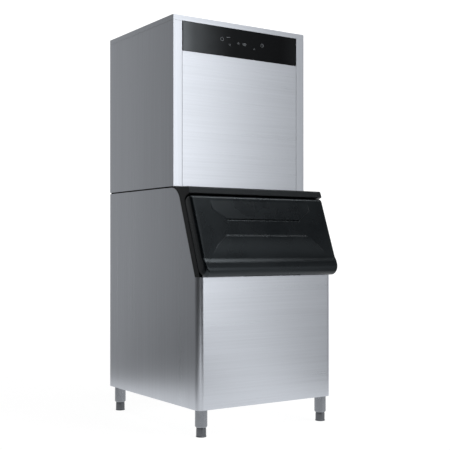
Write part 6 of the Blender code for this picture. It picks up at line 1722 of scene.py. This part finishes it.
def hinge_pin(side):
    """A hinge pin with chamfered ends."""
    node = "hinge_pin_" + side
    low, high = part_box(node)
    _, y, z = middle_of(node)
    length, rim = high.x - low.x, 0.0006
    profile = [(0, length), (PIN_RADIUS - rim, length), (PIN_RADIUS, length - rim)]
    profile += [(PIN_RADIUS, rim), (PIN_RADIUS - rim, 0), (0, 0)]
    finish_piece(turned("hinge_pin_turned_" + side, profile, along("X", low.x, y, z), 40), node, 30)


class ICEMAKER_OT_bin_fittings(bpy.types.Operator):
    """Round the liner, and make the drain, the level sensor, the hinge pins and the back fittings"""

    bl_idname = "icemaker.bin_fittings"
    bl_label = "Bin Fittings"

    def execute(self, context):
        refine("bin_liner", 0.0012, 3)
        bin_drain()
        level_sensor()
        hinge_pin("left")
        hinge_pin("right")
        fitting("water_inlet", 0.0170, False)
        fitting("power_gland", 0.0160, True)
        return {"FINISHED"}


# Works inside the head

# Edge rounds of the folded sheets and the chute
FOLD_ROUNDS = {
    "head_base_pan": 0.0004,
    "head_cross_rail": 0.0004,
    "divider_panel": 0.0002,
    "electrical_box": 0.0004,
    "electrical_cover": 0.0004,
    "ice_chute": 0.0008,
    "control_board": 0.0002,
}

# Chips on the control board, as across, up, width, height and depth, and round cans, as across, up, radius and depth
CHIPS = (
    (-0.045, 0.004, 0.022, 0.022, 0.0022),
    (-0.012, 0.010, 0.014, 0.009, 0.0018),
    (0.012, -0.012, 0.016, 0.010, 0.0045),
    (0.038, 0.008, 0.018, 0.015, 0.0120),
    (0.066, 0.008, 0.018, 0.015, 0.0120),
    (-0.070, -0.018, 0.016, 0.008, 0.0085),
)
CANS = ((-0.020, -0.016, 0.0040, 0.011), (-0.009, -0.016, 0.0040, 0.011), (0.045, -0.018, 0.0050, 0.013))


class ICEMAKER_OT_inner_sheets(bpy.types.Operator):
    """Round the folds of the pan, the rail, the divider and the electrical box, and fit out the board"""

    bl_idname = "icemaker.inner_sheets"
    bl_label = "Inner Sheets"

    def execute(self, context):
        for node, width in FOLD_ROUNDS.items():
            refine(node, width)
        face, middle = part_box("control_board")[1].y, middle_of("control_board")[2]
        parts = []
        for x, z, wide, tall, deep in CHIPS:
            low = (x - wide / 2, face - 0.0001, middle + z - tall / 2)
            parts.append(soften(block("chip", low, (x + wide / 2, face + deep, middle + z + tall / 2)), 0.0005))
        for x, z, radius, deep in CANS:
            profile = [(0, deep), (radius - 0.0006, deep), (radius, deep - 0.0006), (radius, 0), (0, 0)]
            parts.append(turned("can", profile, along("Y", x, face - 0.0001, middle + z), 32))
        add_on(gathered("board_components", parts), "power_gland", 32)
        return {"FINISHED"}


def compressor_axis():
    """Where the compressor's axis stands, midway between its grommets."""
    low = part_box("compressor_grommet_1")[0]
    return (low.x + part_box("compressor_grommet_3")[1].x) / 2, (low.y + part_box("compressor_grommet_2")[1].y) / 2


class ICEMAKER_OT_compressor(bpy.types.Operator):
    """Press the compressor's can, and make its grommets and terminal cover"""

    bl_idname = "icemaker.compressor"
    bl_label = "Compressor"

    def execute(self, context):
        low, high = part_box("compressor")
        x, y = compressor_axis()
        foot, can, belt = low.z, 0.075, (high.z - low.z) / 2
        rise = belt - 0.006
        dome = ((0.20, 1.0), (0.45, 0.985), (0.62, 0.955), (0.76, 0.905), (0.87, 0.83), (0.945, 0.73))
        dome = [(can * width, rise * level) for width, level in (*dome, (0.985, 0.60), (1.0, 0.42))]
        seam = [(can, 0.010), (can + 0.0008, 0.0075), (0.0775, 0.006), (0.078, 0.0052)]
        profile = [(0, high.z - low.z)] + [(radius, belt + 0.006 + level) for radius, level in dome]
        profile += [(radius, belt + level) for radius, level in seam]
        profile += [(radius, belt - level) for radius, level in reversed(seam)]
        profile += [(radius, belt - 0.006 - level) for radius, level in reversed(dome)] + [(0, 0)]
        shell = turned("compressor_can", profile, at(x, y, foot), 72)
        outline = box_outline(x - 0.055, y - 0.085, x + 0.055, y + 0.085, 0.012)
        saddle = rod("saddle", (x, y, foot + 0.001), (x, y, foot + 0.014), 0.034)
        join(shell, plate("foot_plate", [outline], foot, foot + 0.003), saddle)
        pad = [
            (0, 0.023),
            (0.0074, 0.023),
            (0.008, 0.0224),
            (0.008, 0.0177),
            (0.0114, 0.0177),
            (0.012, 0.0171),
            (0.012, 0.0125),
            (0.0098, 0.0110),
            (0.0098, 0.0075),
            (0.012, 0.0060),
            (0.012, 0.0006),
            (0.0114, 0),
            (0, 0),
        ]
        holes, seats = [], []
        for k in range(1, 5):
            node = f"compressor_grommet_{k}"
            near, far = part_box(node)
            x, y, _ = middle_of(node)
            holes.append(rod("hole", (x, y, foot - 0.01), (x, y, foot + 0.01), 0.0083, 32))
            seats.append((x, y, far.z))
            finish_piece(turned(f"grommet_{k}", pad, at(x, y, near.z), 40), node, 32)
        finish_piece(cut(shell, *holes), "compressor", 32)
        refine("terminal_cover", 0.0020, 3)
        bolts("grommet_bolts", 0.0052, seats)
        return {"FINISHED"}


class ICEMAKER_OT_condenser(bpy.types.Operator):
    """Stack the condenser's fins on its tubes, between its end plates"""

    bl_idname = "icemaker.condenser"
    bl_label = "Condenser"

    def execute(self, context):
        low, high = COIL_LOW, COIL_HIGH
        work = bmesh.new()
        foot, head = [], []
        for share in np.linspace(0, 1, 13):
            wave = (low.x + 0.001 + share * 0.034, 0.00035 * math.sin(math.tau * 3 * share))
            foot.append(work.verts.new((*wave, low.z + 0.002)))
            head.append(work.verts.new((*wave, high.z - 0.002)))
        bridge(work, head, foot)
        fin, pitch = thicken(from_bmesh("fin", work), 0.00025), 0.0024
        count = int((high.y - low.y - 0.006) / pitch)
        fins = rows_of("condenser_fins", fin, (0, low.y + 0.0036, 0), (0, pitch, 0), count)
        finish_piece(fins, "condenser_coil", 50)
        plates = []
        for near in (low.y, high.y - 0.002):
            sheet = block("end_plate", (low.x, near, COIL_PLATE_FOOT), (high.x, near + 0.002, high.z))
            plates.append(soften(sheet, 0.0003))
        add_on(gathered("condenser_plates", plates), "head_base_pan", 30)
        tubes = []
        x, lift, passes = (low.x + high.x) / 2, 0.0125, 6
        inner, outer, end = low.y + 0.004, low.y - lift, high.y + 0.0002
        for k in range(1, passes):
            z = low.z + 0.300 / passes * k
            bend = [(x, inner, z - lift), (x, outer, z - lift), (x, outer, z + lift), (x, inner, z + lift)]
            tubes.append(tube("bend", bend, 0.0045, lift * 0.98, 4))
            for level in (z - lift, z + lift):
                tubes.append(rod("pass", (x, low.y + 0.003, level), (x, end, level), 0.0042, 24))
        add_on(gathered("condenser_tubes", tubes), "suction_line", 32)
        return {"FINISHED"}


# Fan: its shroud's sheet and the radius of its collar, its hub, its blades' reach, spread and pitch, and its motor
SHROUD_SHEET = 0.002
SHROUD_RADIUS = 0.129
HUB_LENGTH = 0.020
BLADE_ROOT = 0.0215
BLADE_TIP = 0.1175
BLADE_SPREAD = math.radians(24)
BLADE_PITCH = math.asin(0.011 / (0.118 * math.sin(BLADE_SPREAD)))
MOTOR_LENGTH = 0.056
MOTOR_GAP = 0.006


def fan_blade(place):
    """A thin twisted blade, its middle cambered and its tip's corners cut back."""
    work = bmesh.new()
    rows = []
    for radius in np.linspace(BLADE_ROOT, BLADE_TIP, 12):
        share = (radius - BLADE_ROOT) / (BLADE_TIP - BLADE_ROOT)
        width = 0.80 + 0.20 * math.sin(math.pi * min(1.0, share * 1.1)) - 0.34 * max(0.0, share - 0.86) / 0.14
        row = []
        for across in np.linspace(-1, 1, 13):
            turn = BLADE_SPREAD * width * across
            flat = radius * math.sin(turn)
            rise = flat * math.sin(BLADE_PITCH) * 0.94 + 0.0016 * (1 - across**2) * share
            row.append(work.verts.new((radius * math.cos(turn), flat * math.cos(BLADE_PITCH), rise)))
        rows.append(row)
    for inner, outer in zip(rows, rows[1:]):
        bridge(work, inner, outer)
    return thicken(from_bmesh("blade", work, place), 0.0016)


def fan_shroud():
    """The shroud's flat sheet with the rolled collar round its hole."""
    low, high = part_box("fan_shroud")
    _, y, z = middle_of("fan_shroud")
    depth = high.x - low.x
    outline = box_outline(low.y, low.z, high.y, high.z, 0.004)
    hole = [point[:2] for point in circle(y, z, 0, 0.1275, 96, 0)]
    sheet = plate("shroud_sheet", [outline, hole], high.x - SHROUD_SHEET, high.x, SIDE)
    profile = [
        (0.126, depth),
        (0.1262, 0.0035),
        (0.1270, 0.0012),
        (0.1285, 0),
        (SHROUD_RADIUS, 0.0006),
        (SHROUD_RADIUS, depth - SHROUD_SHEET),
        (SHROUD_RADIUS, depth),
    ]
    join(sheet, turned("shroud_collar", profile, along("X", low.x, y, z), 96, closed=True))
    finish_piece(sheet, "fan_shroud", 30)


def fan_wheel(x, y, z):
    """The fan's hub with its five blades, round the hub's middle."""
    length = HUB_LENGTH
    profile = [(0, length), (0.019, length), (0.0225, length - 0.0012), (0.024, length - 0.004), (0.024, 0.0006)]
    profile += [(0.0234, 0), (0.0043, 0), (0.0043, 0.014), (0, 0.014)]
    hub = turned("fan_hub", profile, along("X", x - length / 2, y, z), 64)
    place = at(x, y, z) @ SIDE
    blades = [fan_blade(place @ Matrix.Rotation(math.tau * k / 5, 4, "Z")) for k in range(5)]
    finish_piece(join(hub, *blades), "condenser_fan", 35)


def fan_motor(x, y, z):
    """The fan's motor before the hub's middle, and the four arms that hang it from the shroud."""
    length = MOTOR_LENGTH
    back = x - HUB_LENGTH / 2 - MOTOR_GAP - length
    shaft = length + MOTOR_GAP + 0.0137
    profile = [(0, shaft), (0.004, shaft), (0.004, length), (0.012, length), (0.013, length - 0.001)]
    profile += [(0.026, length - 0.002), (0.0335, length - 0.006), (0.036, length - 0.012)]
    profile += grooves(0.036, 0.0345, [length - 0.014 - 0.005 * k for k in range(6)], 0.0028, 0.0006)
    profile += [(0.036, 0.010), (0.0335, 0.004), (0.026, 0.001), (0.012, 0), (0, 0)]
    motor = turned("fan_motor_turned", profile, along("X", back, y, z), 64)
    clamp, end = back + length / 2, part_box("fan_shroud")[1].x - SHROUD_SHEET - GAP
    reach = SHROUD_RADIUS + 0.006
    arms = []
    for k in range(4):
        turn = math.pi / 4 + k * math.pi / 2
        stations = ((clamp, 0.020), (clamp, reach), (end, reach))
        route = [(place, y + out * math.cos(turn), z + out * math.sin(turn)) for place, out in stations]
        arms.append(tube("arm", route, 0.0030, 0.008, 3))
    finish_piece(join(motor, *arms), "fan_motor", 32)


class ICEMAKER_OT_fan(bpy.types.Operator):
    """Make the fan, its motor and the shroud that it turns in"""

    bl_idname = "icemaker.fan"
    bl_label = "Fan"

    def execute(self, context):
        centre = middle_of("condenser_fan")[0], *middle_of("fan_shroud")[1:]
        fan_shroud()
        fan_wheel(*centre)
        fan_motor(*centre)
        return {"FINISHED"}


# Refrigerant lines: radii, where they turn, and the filter drier's place
LINE_RADIUS = 0.004
LINE_BEND = 0.0144
SUCTION_RADIUS = 0.006
SUCTION_BEND = 0.018
COIL_INLET = Vector((0.247, COIL_BACK + GAP, 1.141))
COIL_OUTLET = Vector((0.247, COIL_BACK + GAP, 0.877))
DRIER = Vector((0.229, BACK - 0.032, 0.979))
DRIER_LENGTH = 0.120
LIQUID_RISER = -0.004
SUCTION_LEVEL = 1.1476


def drier_body():
    """The filter drier's spun can with its clip to the back panel."""
    profile = [(0, 0.120), (0.0032, 0.120), (0.004, 0.1192), (0.004, 0.110), (0.0046, 0.1075), (0.0078, 0.1035)]
    profile += [(0.0095, 0.1012), (0.010, 0.098), (0.010, 0.012), (0.0095, 0.0088), (0.0078, 0.0065)]
    profile += [(0.0046, 0.0025), (0.004, 0), (0.004, -0.010), (0, -0.010)]
    x, y, z = DRIER.x, DRIER.y, DRIER.z + 0.051
    clip = block("drier_clip", (x - 0.004, y, z), (x + 0.004, 0.3297, z + 0.008))
    strap = turned_ring("strap", 0.0096, 0.0107, 0.008, at(x, y, z))
    return join(turned("drier_turned", profile, at(*DRIER), 40), clip, strap)


def expansion_valve():
    """The expansion valve's body with its stem and its power head's dome."""
    profile = [(0, 0.040), (0.0065, 0.040), (0.0075, 0.0392), (0.0075, 0.031), (0.009, 0.030), (0.009, 0.010)]
    profile += [(0.0075, 0.009), (0.0075, 0.0008), (0.0065, 0), (0, 0)]
    x, y, z = VALVE
    body = turned("valve_body", profile, along("X", x - 0.020, y, z), 40)
    stem = rod("stem", VALVE, (x, y, z + 0.0175), 0.0085)
    profile = arc_profile(0.0150, 0.0060, 0.0060, 6)
    profile += [(0.017, 0.0058), (0.017, 0.0040), (0.0150, 0.0034), (0.0120, 0), (0, 0)]
    return join(body, stem, turned("dome", profile, at(x, y, z + 0.0167), 40))


class ICEMAKER_OT_piping(bpy.types.Operator):
    """Bend the refrigerant lines, and turn the filter drier and the expansion valve"""

    bl_idname = "icemaker.piping"
    bl_label = "Piping"

    def execute(self, context):
        x, y = middle_of("compressor")[0], compressor_axis()[1]
        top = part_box("compressor")[1].z + GAP
        start = x + 0.039
        level = COIL_INLET.z
        route = [(start, y, top), (start, y, level), (COIL_INLET.x, y, level), COIL_INLET]
        finish_piece(tube("discharge_tube", route, LINE_RADIUS, LINE_BEND), "discharge_line", 32)
        level = COIL_OUTLET.z
        route = [COIL_OUTLET, (COIL_OUTLET.x, DRIER.y, level), (DRIER.x, DRIER.y, level), DRIER]
        inlet = tube("drier_inlet", route, LINE_RADIUS, 0.0088)
        finish_piece(join(drier_body(), inlet), "filter_drier", 32)
        foot = DRIER.z + DRIER_LENGTH + GAP
        level = foot + 0.036
        route = [(DRIER.x, DRIER.y, foot), (DRIER.x, DRIER.y, level), (LIQUID_RISER, DRIER.y, level)]
        route += [(LIQUID_RISER, VALVE.y, level), (LIQUID_RISER, VALVE.y, VALVE.z)]
        line = tube("liquid_tube", route + [(VALVE.x + 0.020 + GAP, VALVE.y, VALVE.z)], LINE_RADIUS, LINE_BEND)
        radius, length = 0.0078, 0.011
        profile = [(0, length), (radius * 0.85, length), (radius, length * 0.85), (radius, length * 0.15)]
        profile += [(radius * 0.85, 0), (0, 0)]
        nut = turned("flare_nut", profile, along("X", VALVE.x + 0.0206, VALVE.y, VALVE.z), 6)
        finish_piece(join(line, nut), "liquid_line", 32)
        level = SUCTION_LEVEL
        route = [(COLUMN.x + 0.064 + GAP, COLUMN.y, level), (LIQUID_RISER + 0.006, COLUMN.y, level)]
        route += [(x, COLUMN.y + 0.018, level), (x, y, level), (x, y, top)]
        finish_piece(tube("suction_tube", route, SUCTION_RADIUS, SUCTION_BEND), "suction_line", 32)
        finish_piece(expansion_valve(), "expansion_valve", 32)
        return {"FINISHED"}


GEARBOX_HEIGHT = 0.078


def gearbox():
    """The ribbed gearbox casting with its neck under the barrel."""
    x, y = COLUMN
    low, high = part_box("gearbox")
    top, rim, depth = low.z + GEARBOX_HEIGHT, 0.01, 0.0018
    body = plate("gearbox_casting", [box_outline(low.x, low.y, high.x, high.y, 0.012)], low.z, top)
    soften(body, 0.0025, 3, 60)
    around = box_outline(low.x - rim, low.y - rim, high.x + rim, high.y + rim)
    inner = box_outline(low.x + depth, low.y + depth, high.x - depth, high.y - depth, 0.0105)
    feet = [low.z + level for level in (0.022, 0.034, 0.046)]
    cut(body, *(plate("groove", [around, inner], foot, foot + 0.006) for foot in feet))
    profile = [(0, 0.016), (0.050, 0.016), (0.052, 0.0148), (0.052, 0.0095), (0.0545, 0.008), (0.0545, 0), (0, 0)]
    join(body, turned("neck", profile, at(x, y, top - 0.008), 72))
    cut(body, rod("socket", (x, y, top - 0.0223), (x, y, top + 0.02), 0.0123))
    finish_piece(body, "gearbox", 32)


def gear_motor():
    """The gear motor's finned can with its flange at the gearbox."""
    low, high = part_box("gear_motor")
    length, radius = high.y - low.y, 0.040
    profile = arc_profile(0.0365, length - 0.006, 0.006)
    profile += [(0.0365, length - 0.008), (radius, length - 0.0085), (radius, length - 0.016)]
    profile += grooves(radius, 0.0372, [length - 0.018 - 0.0065 * k for k in range(9)], 0.0048, 0.0008)
    profile += [(radius, 0.009), (0.0452, 0.008), (0.046, 0.0072), (0.046, 0.0006), (0.0454, 0), (0, 0)]
    place = along("Y", COLUMN.x, low.y, middle_of("gear_motor")[2])
    finish_piece(turned("gear_motor_turned", profile, place, 72), "gear_motor", 32)


class ICEMAKER_OT_gear_drive(bpy.types.Operator):
    """Cast the gearbox and turn its motor"""

    bl_idname = "icemaker.gear_drive"
    bl_label = "Gear Drive"

    def execute(self, context):
        gearbox()
        gear_motor()
        low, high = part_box("gearbox")
        inset, top = 0.013, low.z + GEARBOX_HEIGHT
        sides, ends = (low.x + inset, high.x - inset), (low.y + inset, high.y - inset)
        bolts("gearbox_bolts", 0.0055, [(x, y, top) for x in sides for y in ends])
        return {"FINISHED"}


# Auger's flight
FLIGHT_TURNS = 5.0
FLIGHT_HEIGHT = 0.230
FLIGHT_ROOT = 0.0153
FLIGHT_EDGE = 0.0442


def auger_flight(x, y):
    """The auger's flight as a closed solid, its foot above the barrel's floor."""
    values = {
        "Turns": FLIGHT_TURNS,
        "Height": FLIGHT_HEIGHT,
        "Middle Radius": (FLIGHT_ROOT + FLIGHT_EDGE) / 2,
        "Half Reach": (FLIGHT_EDGE - FLIGHT_ROOT) / 2,
        "Root": 0.006,
        "Edge": 0.0028,
        "Resolution": 64,
    }
    flight = grow(new_object("flight", bpy.data.meshes.new("flight")), flight_tree(), values)
    work = bmesh.new()
    work.from_mesh(flight.data)
    bpy.data.objects.remove(flight)
    work.transform(at(x, y, AUGER_FOOT + 0.014))
    return from_bmesh("flight_solid", merged(work))


def evaporator_barrel(x, y):
    """The barrel with its flanges, its clamped jacket and its water port."""
    low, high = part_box("evaporator_barrel")
    foot, tall = low.z, high.z - low.z
    level = foot + 0.040
    joints = [0.010 + (tall - 0.020) * share + 0.006 for share in (0.82, 0.5, 0.18)]
    profile = [(0.045, tall), (0.0574, tall), (0.058, tall - 0.0006), (0.058, tall - 0.010)]
    profile += [(0.0625, tall - 0.010), (0.064, tall - 0.0115), *grooves(0.064, 0.0632, joints, 0.012, 0.0005)]
    profile += [(0.064, 0.0115), (0.0625, 0.010), (0.058, 0.010), (0.058, 0.0006), (0.0574, 0), (0.045, 0)]
    barrel = turned("barrel_turned", profile, at(x, y, foot), 80, closed=True)
    profile = [(0, 0.0235), (0.0062, 0.0235), (0.007, 0.0225), (0.007, 0.016), (0.0066, 0.0145), (0.007, 0.013)]
    join(barrel, turned("port", profile + [(0.007, 0), (0, 0)], along("Y", x, y + 0.0545, level), 32))
    cut(barrel, rod("feed_hole", (x, y, level), (x, y + 0.09, level), 0.0035, 32))
    finish_piece(barrel, "evaporator_barrel", 30)


def auger(x, y):
    """The auger's stepped shaft with its flight."""
    low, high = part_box("auger")
    length, start, end = high.z - low.z, AUGER_FOOT + GAP - low.z, high.z - low.z - 0.018
    profile = [(0, length), (0.0094, length), (0.010, length - 0.0006), (0.010, end), (0.0164, end)]
    profile += [(0.017, end - 0.0006), (0.017, start + 0.0006), (0.0164, start), (0.012, start)]
    profile += [(0.012, 0.0006), (0.0114, 0), (0, 0)]
    shaft = turned("auger_shaft", profile, at(x, y, low.z), 64)
    finish_piece(join(shaft, auger_flight(x, y)), "auger", 30)


def breaker_head(x, y):
    """The breaker head's casting with its cap, its ribs, its spout and its bolts."""
    low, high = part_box("breaker_head")
    foot, top = low.z, high.z - 0.012
    length, roof = top - foot, top - 0.012
    profile = [(0, length), (0.0555, length), (0.058, length - 0.0025), (0.058, 0.0006), (0.0574, 0), (0, 0)]
    head = turned("breaker_casting", profile, at(x, y, foot), 80)
    profile = [(0, 0.0125), (0.0205, 0.0125), (0.022, 0.011), (0.022, 0.001), (0.0235, 0), (0, 0)]
    cap = turned("cap", profile, at(x, y, top - 0.0005), 56)
    spout = soften(block("spout", (x - 0.039, y - 0.078, foot + 0.002), (x + 0.039, y, foot + 0.046)), 0.002)
    join(head, cap, spout)
    bore = rod("bore", (x, y, foot - 0.01), (x, y, roof), 0.045, 80)
    passage = block("passage", (x - 0.035, y - 0.09, foot + 0.006), (x + 0.035, y, foot + 0.042))
    cut(head, bore, passage, rod("journal", (x, y, foot), (x, y, roof + 0.0183), 0.0103, 40))
    ribs = []
    for k in range(6):
        rib = block("rib", (0.038, -0.003, foot), (0.0515, 0.003, roof))
        rib.data.transform(at(x, y, 0) @ Matrix.Rotation(math.pi * (k + 0.5) / 6, 4, "Z"))
        ribs.append(rib)
    finish_piece(join(head, *ribs), "breaker_head", 32)
    bolts("breaker_bolts", 0.0042, circle(x, y, top, 0.030, 4, 0.5) + circle(x, y, top, 0.0505, 6, 0.9))


class ICEMAKER_OT_column(bpy.types.Operator):
    """Turn the barrel, sweep the auger's flight and cast the breaker head"""

    bl_idname = "icemaker.column"
    bl_label = "Auger Column"

    def execute(self, context):
        evaporator_barrel(*COLUMN)
        auger(*COLUMN)
        breaker_head(*COLUMN)
        return {"FINISHED"}


# Water reservoir's corners, and how far its float hangs down
TANK_LOW = Vector((-0.238, 0.2437, 1.091))
TANK_HIGH = Vector((-0.052, 0.3177, 1.186))
FLOAT_DROP = math.radians(18)


class ICEMAKER_OT_water(bpy.types.Operator):
    """Mould the reservoir, its float and the feed hose"""

    bl_idname = "icemaker.water"
    bl_label = "Water Side"

    def execute(self, context):
        refine("water_reservoir", 0.0008)
        pivot = Vector((TANK_LOW.x + 0.020, (TANK_LOW.y + TANK_HIGH.y) / 2, TANK_HIGH.z - 0.018))
        way = Vector((math.cos(FLOAT_DROP), 0, -math.sin(FLOAT_DROP)))
        end, reach = pivot + way * 0.096, Vector((0, 0.004, 0))
        arm = rod("float_eye", pivot - reach, pivot + reach, 0.005, 32)
        profile = [(0, 0.042), (0.0150, 0.042), (0.0178, 0.0408), (0.019, 0.038), (0.019, 0.022), (0.0186, 0.021)]
        profile += [(0.019, 0.020), (0.019, 0.004), (0.0178, 0.0012), (0.0150, 0), (0, 0)]
        place = at(*(end - way * 0.021)) @ way.to_track_quat("Z", "Y").to_matrix().to_4x4()
        join(arm, rod("float_wire", pivot + way * 0.004, end, 0.002, 24), turned("float_ball", profile, place, 48))
        cut(arm, rod("eye_bore", pivot - 2 * reach, pivot + 2 * reach, 0.0023, 24))
        finish_piece(arm, "float_arm", 32)
        start = Vector((COLUMN.x, pivot.y, TANK_LOW.z - 0.012 - GAP))
        port = Vector((COLUMN.x, COLUMN.y + 0.078 + GAP, AUGER_FOOT + 0.040))
        hose = tube("hose", [start, (start.x, start.y, port.z), port], 0.008, 0.022, 6)
        places = (along("Z", start.x, start.y, start.z - 0.009), along("Y", port.x, port.y + 0.003, port.z))
        join(hose, *(turned_ring("band", 0.0076, 0.0090, 0.006, place) for place in places))
        finish_piece(hose, "feed_hose", 32)
        return {"FINISHED"}


OPERATORS = (
    ICEMAKER_OT_stage,
    ICEMAKER_OT_finishes,
    ICEMAKER_OT_bin_shell,
    ICEMAKER_OT_bin_parts,
    ICEMAKER_OT_legs,
    ICEMAKER_OT_door_frame,
    ICEMAKER_OT_lid,
    ICEMAKER_OT_lid_lining,
    ICEMAKER_OT_casing,
    ICEMAKER_OT_display,
    ICEMAKER_OT_louvres,
    ICEMAKER_OT_screws,
    ICEMAKER_OT_bin_fittings,
    ICEMAKER_OT_inner_sheets,
    ICEMAKER_OT_compressor,
    ICEMAKER_OT_condenser,
    ICEMAKER_OT_fan,
    ICEMAKER_OT_piping,
    ICEMAKER_OT_gear_drive,
    ICEMAKER_OT_column,
    ICEMAKER_OT_water,
)


class ICEMAKER_PT_panel(bpy.types.Panel):
    """The ice maker's steps and settings"""

    bl_label = "Flake Ice Maker"
    bl_idname = "ICEMAKER_PT_panel"
    bl_space_type = "VIEW_3D"
    bl_region_type = "UI"
    bl_category = "Ice Maker"

    def draw(self, context):
        for name, group in SETTINGS.items():
            column = self.layout.column(align=True)
            for key in group.__annotations__:
                column.prop(getattr(context.scene, name), key)
        for operator in OPERATORS:
            self.layout.operator(operator.bl_idname)


CLASSES = (*SETTINGS.values(), *OPERATORS, ICEMAKER_PT_panel)


def register():
    for item in CLASSES:
        bpy.utils.register_class(item)
    for name, group in SETTINGS.items():
        setattr(bpy.types.Scene, name, PointerProperty(type=group))


def unregister():
    for name in SETTINGS:
        delattr(bpy.types.Scene, name)
    for item in reversed(CLASSES):
        bpy.utils.unregister_class(item)


def main():
    register()
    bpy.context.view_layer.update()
    for operator in OPERATORS:
        group, name = operator.bl_idname.split(".")
        getattr(getattr(bpy.ops, group), name)()


if __name__ == "__main__":
    main()
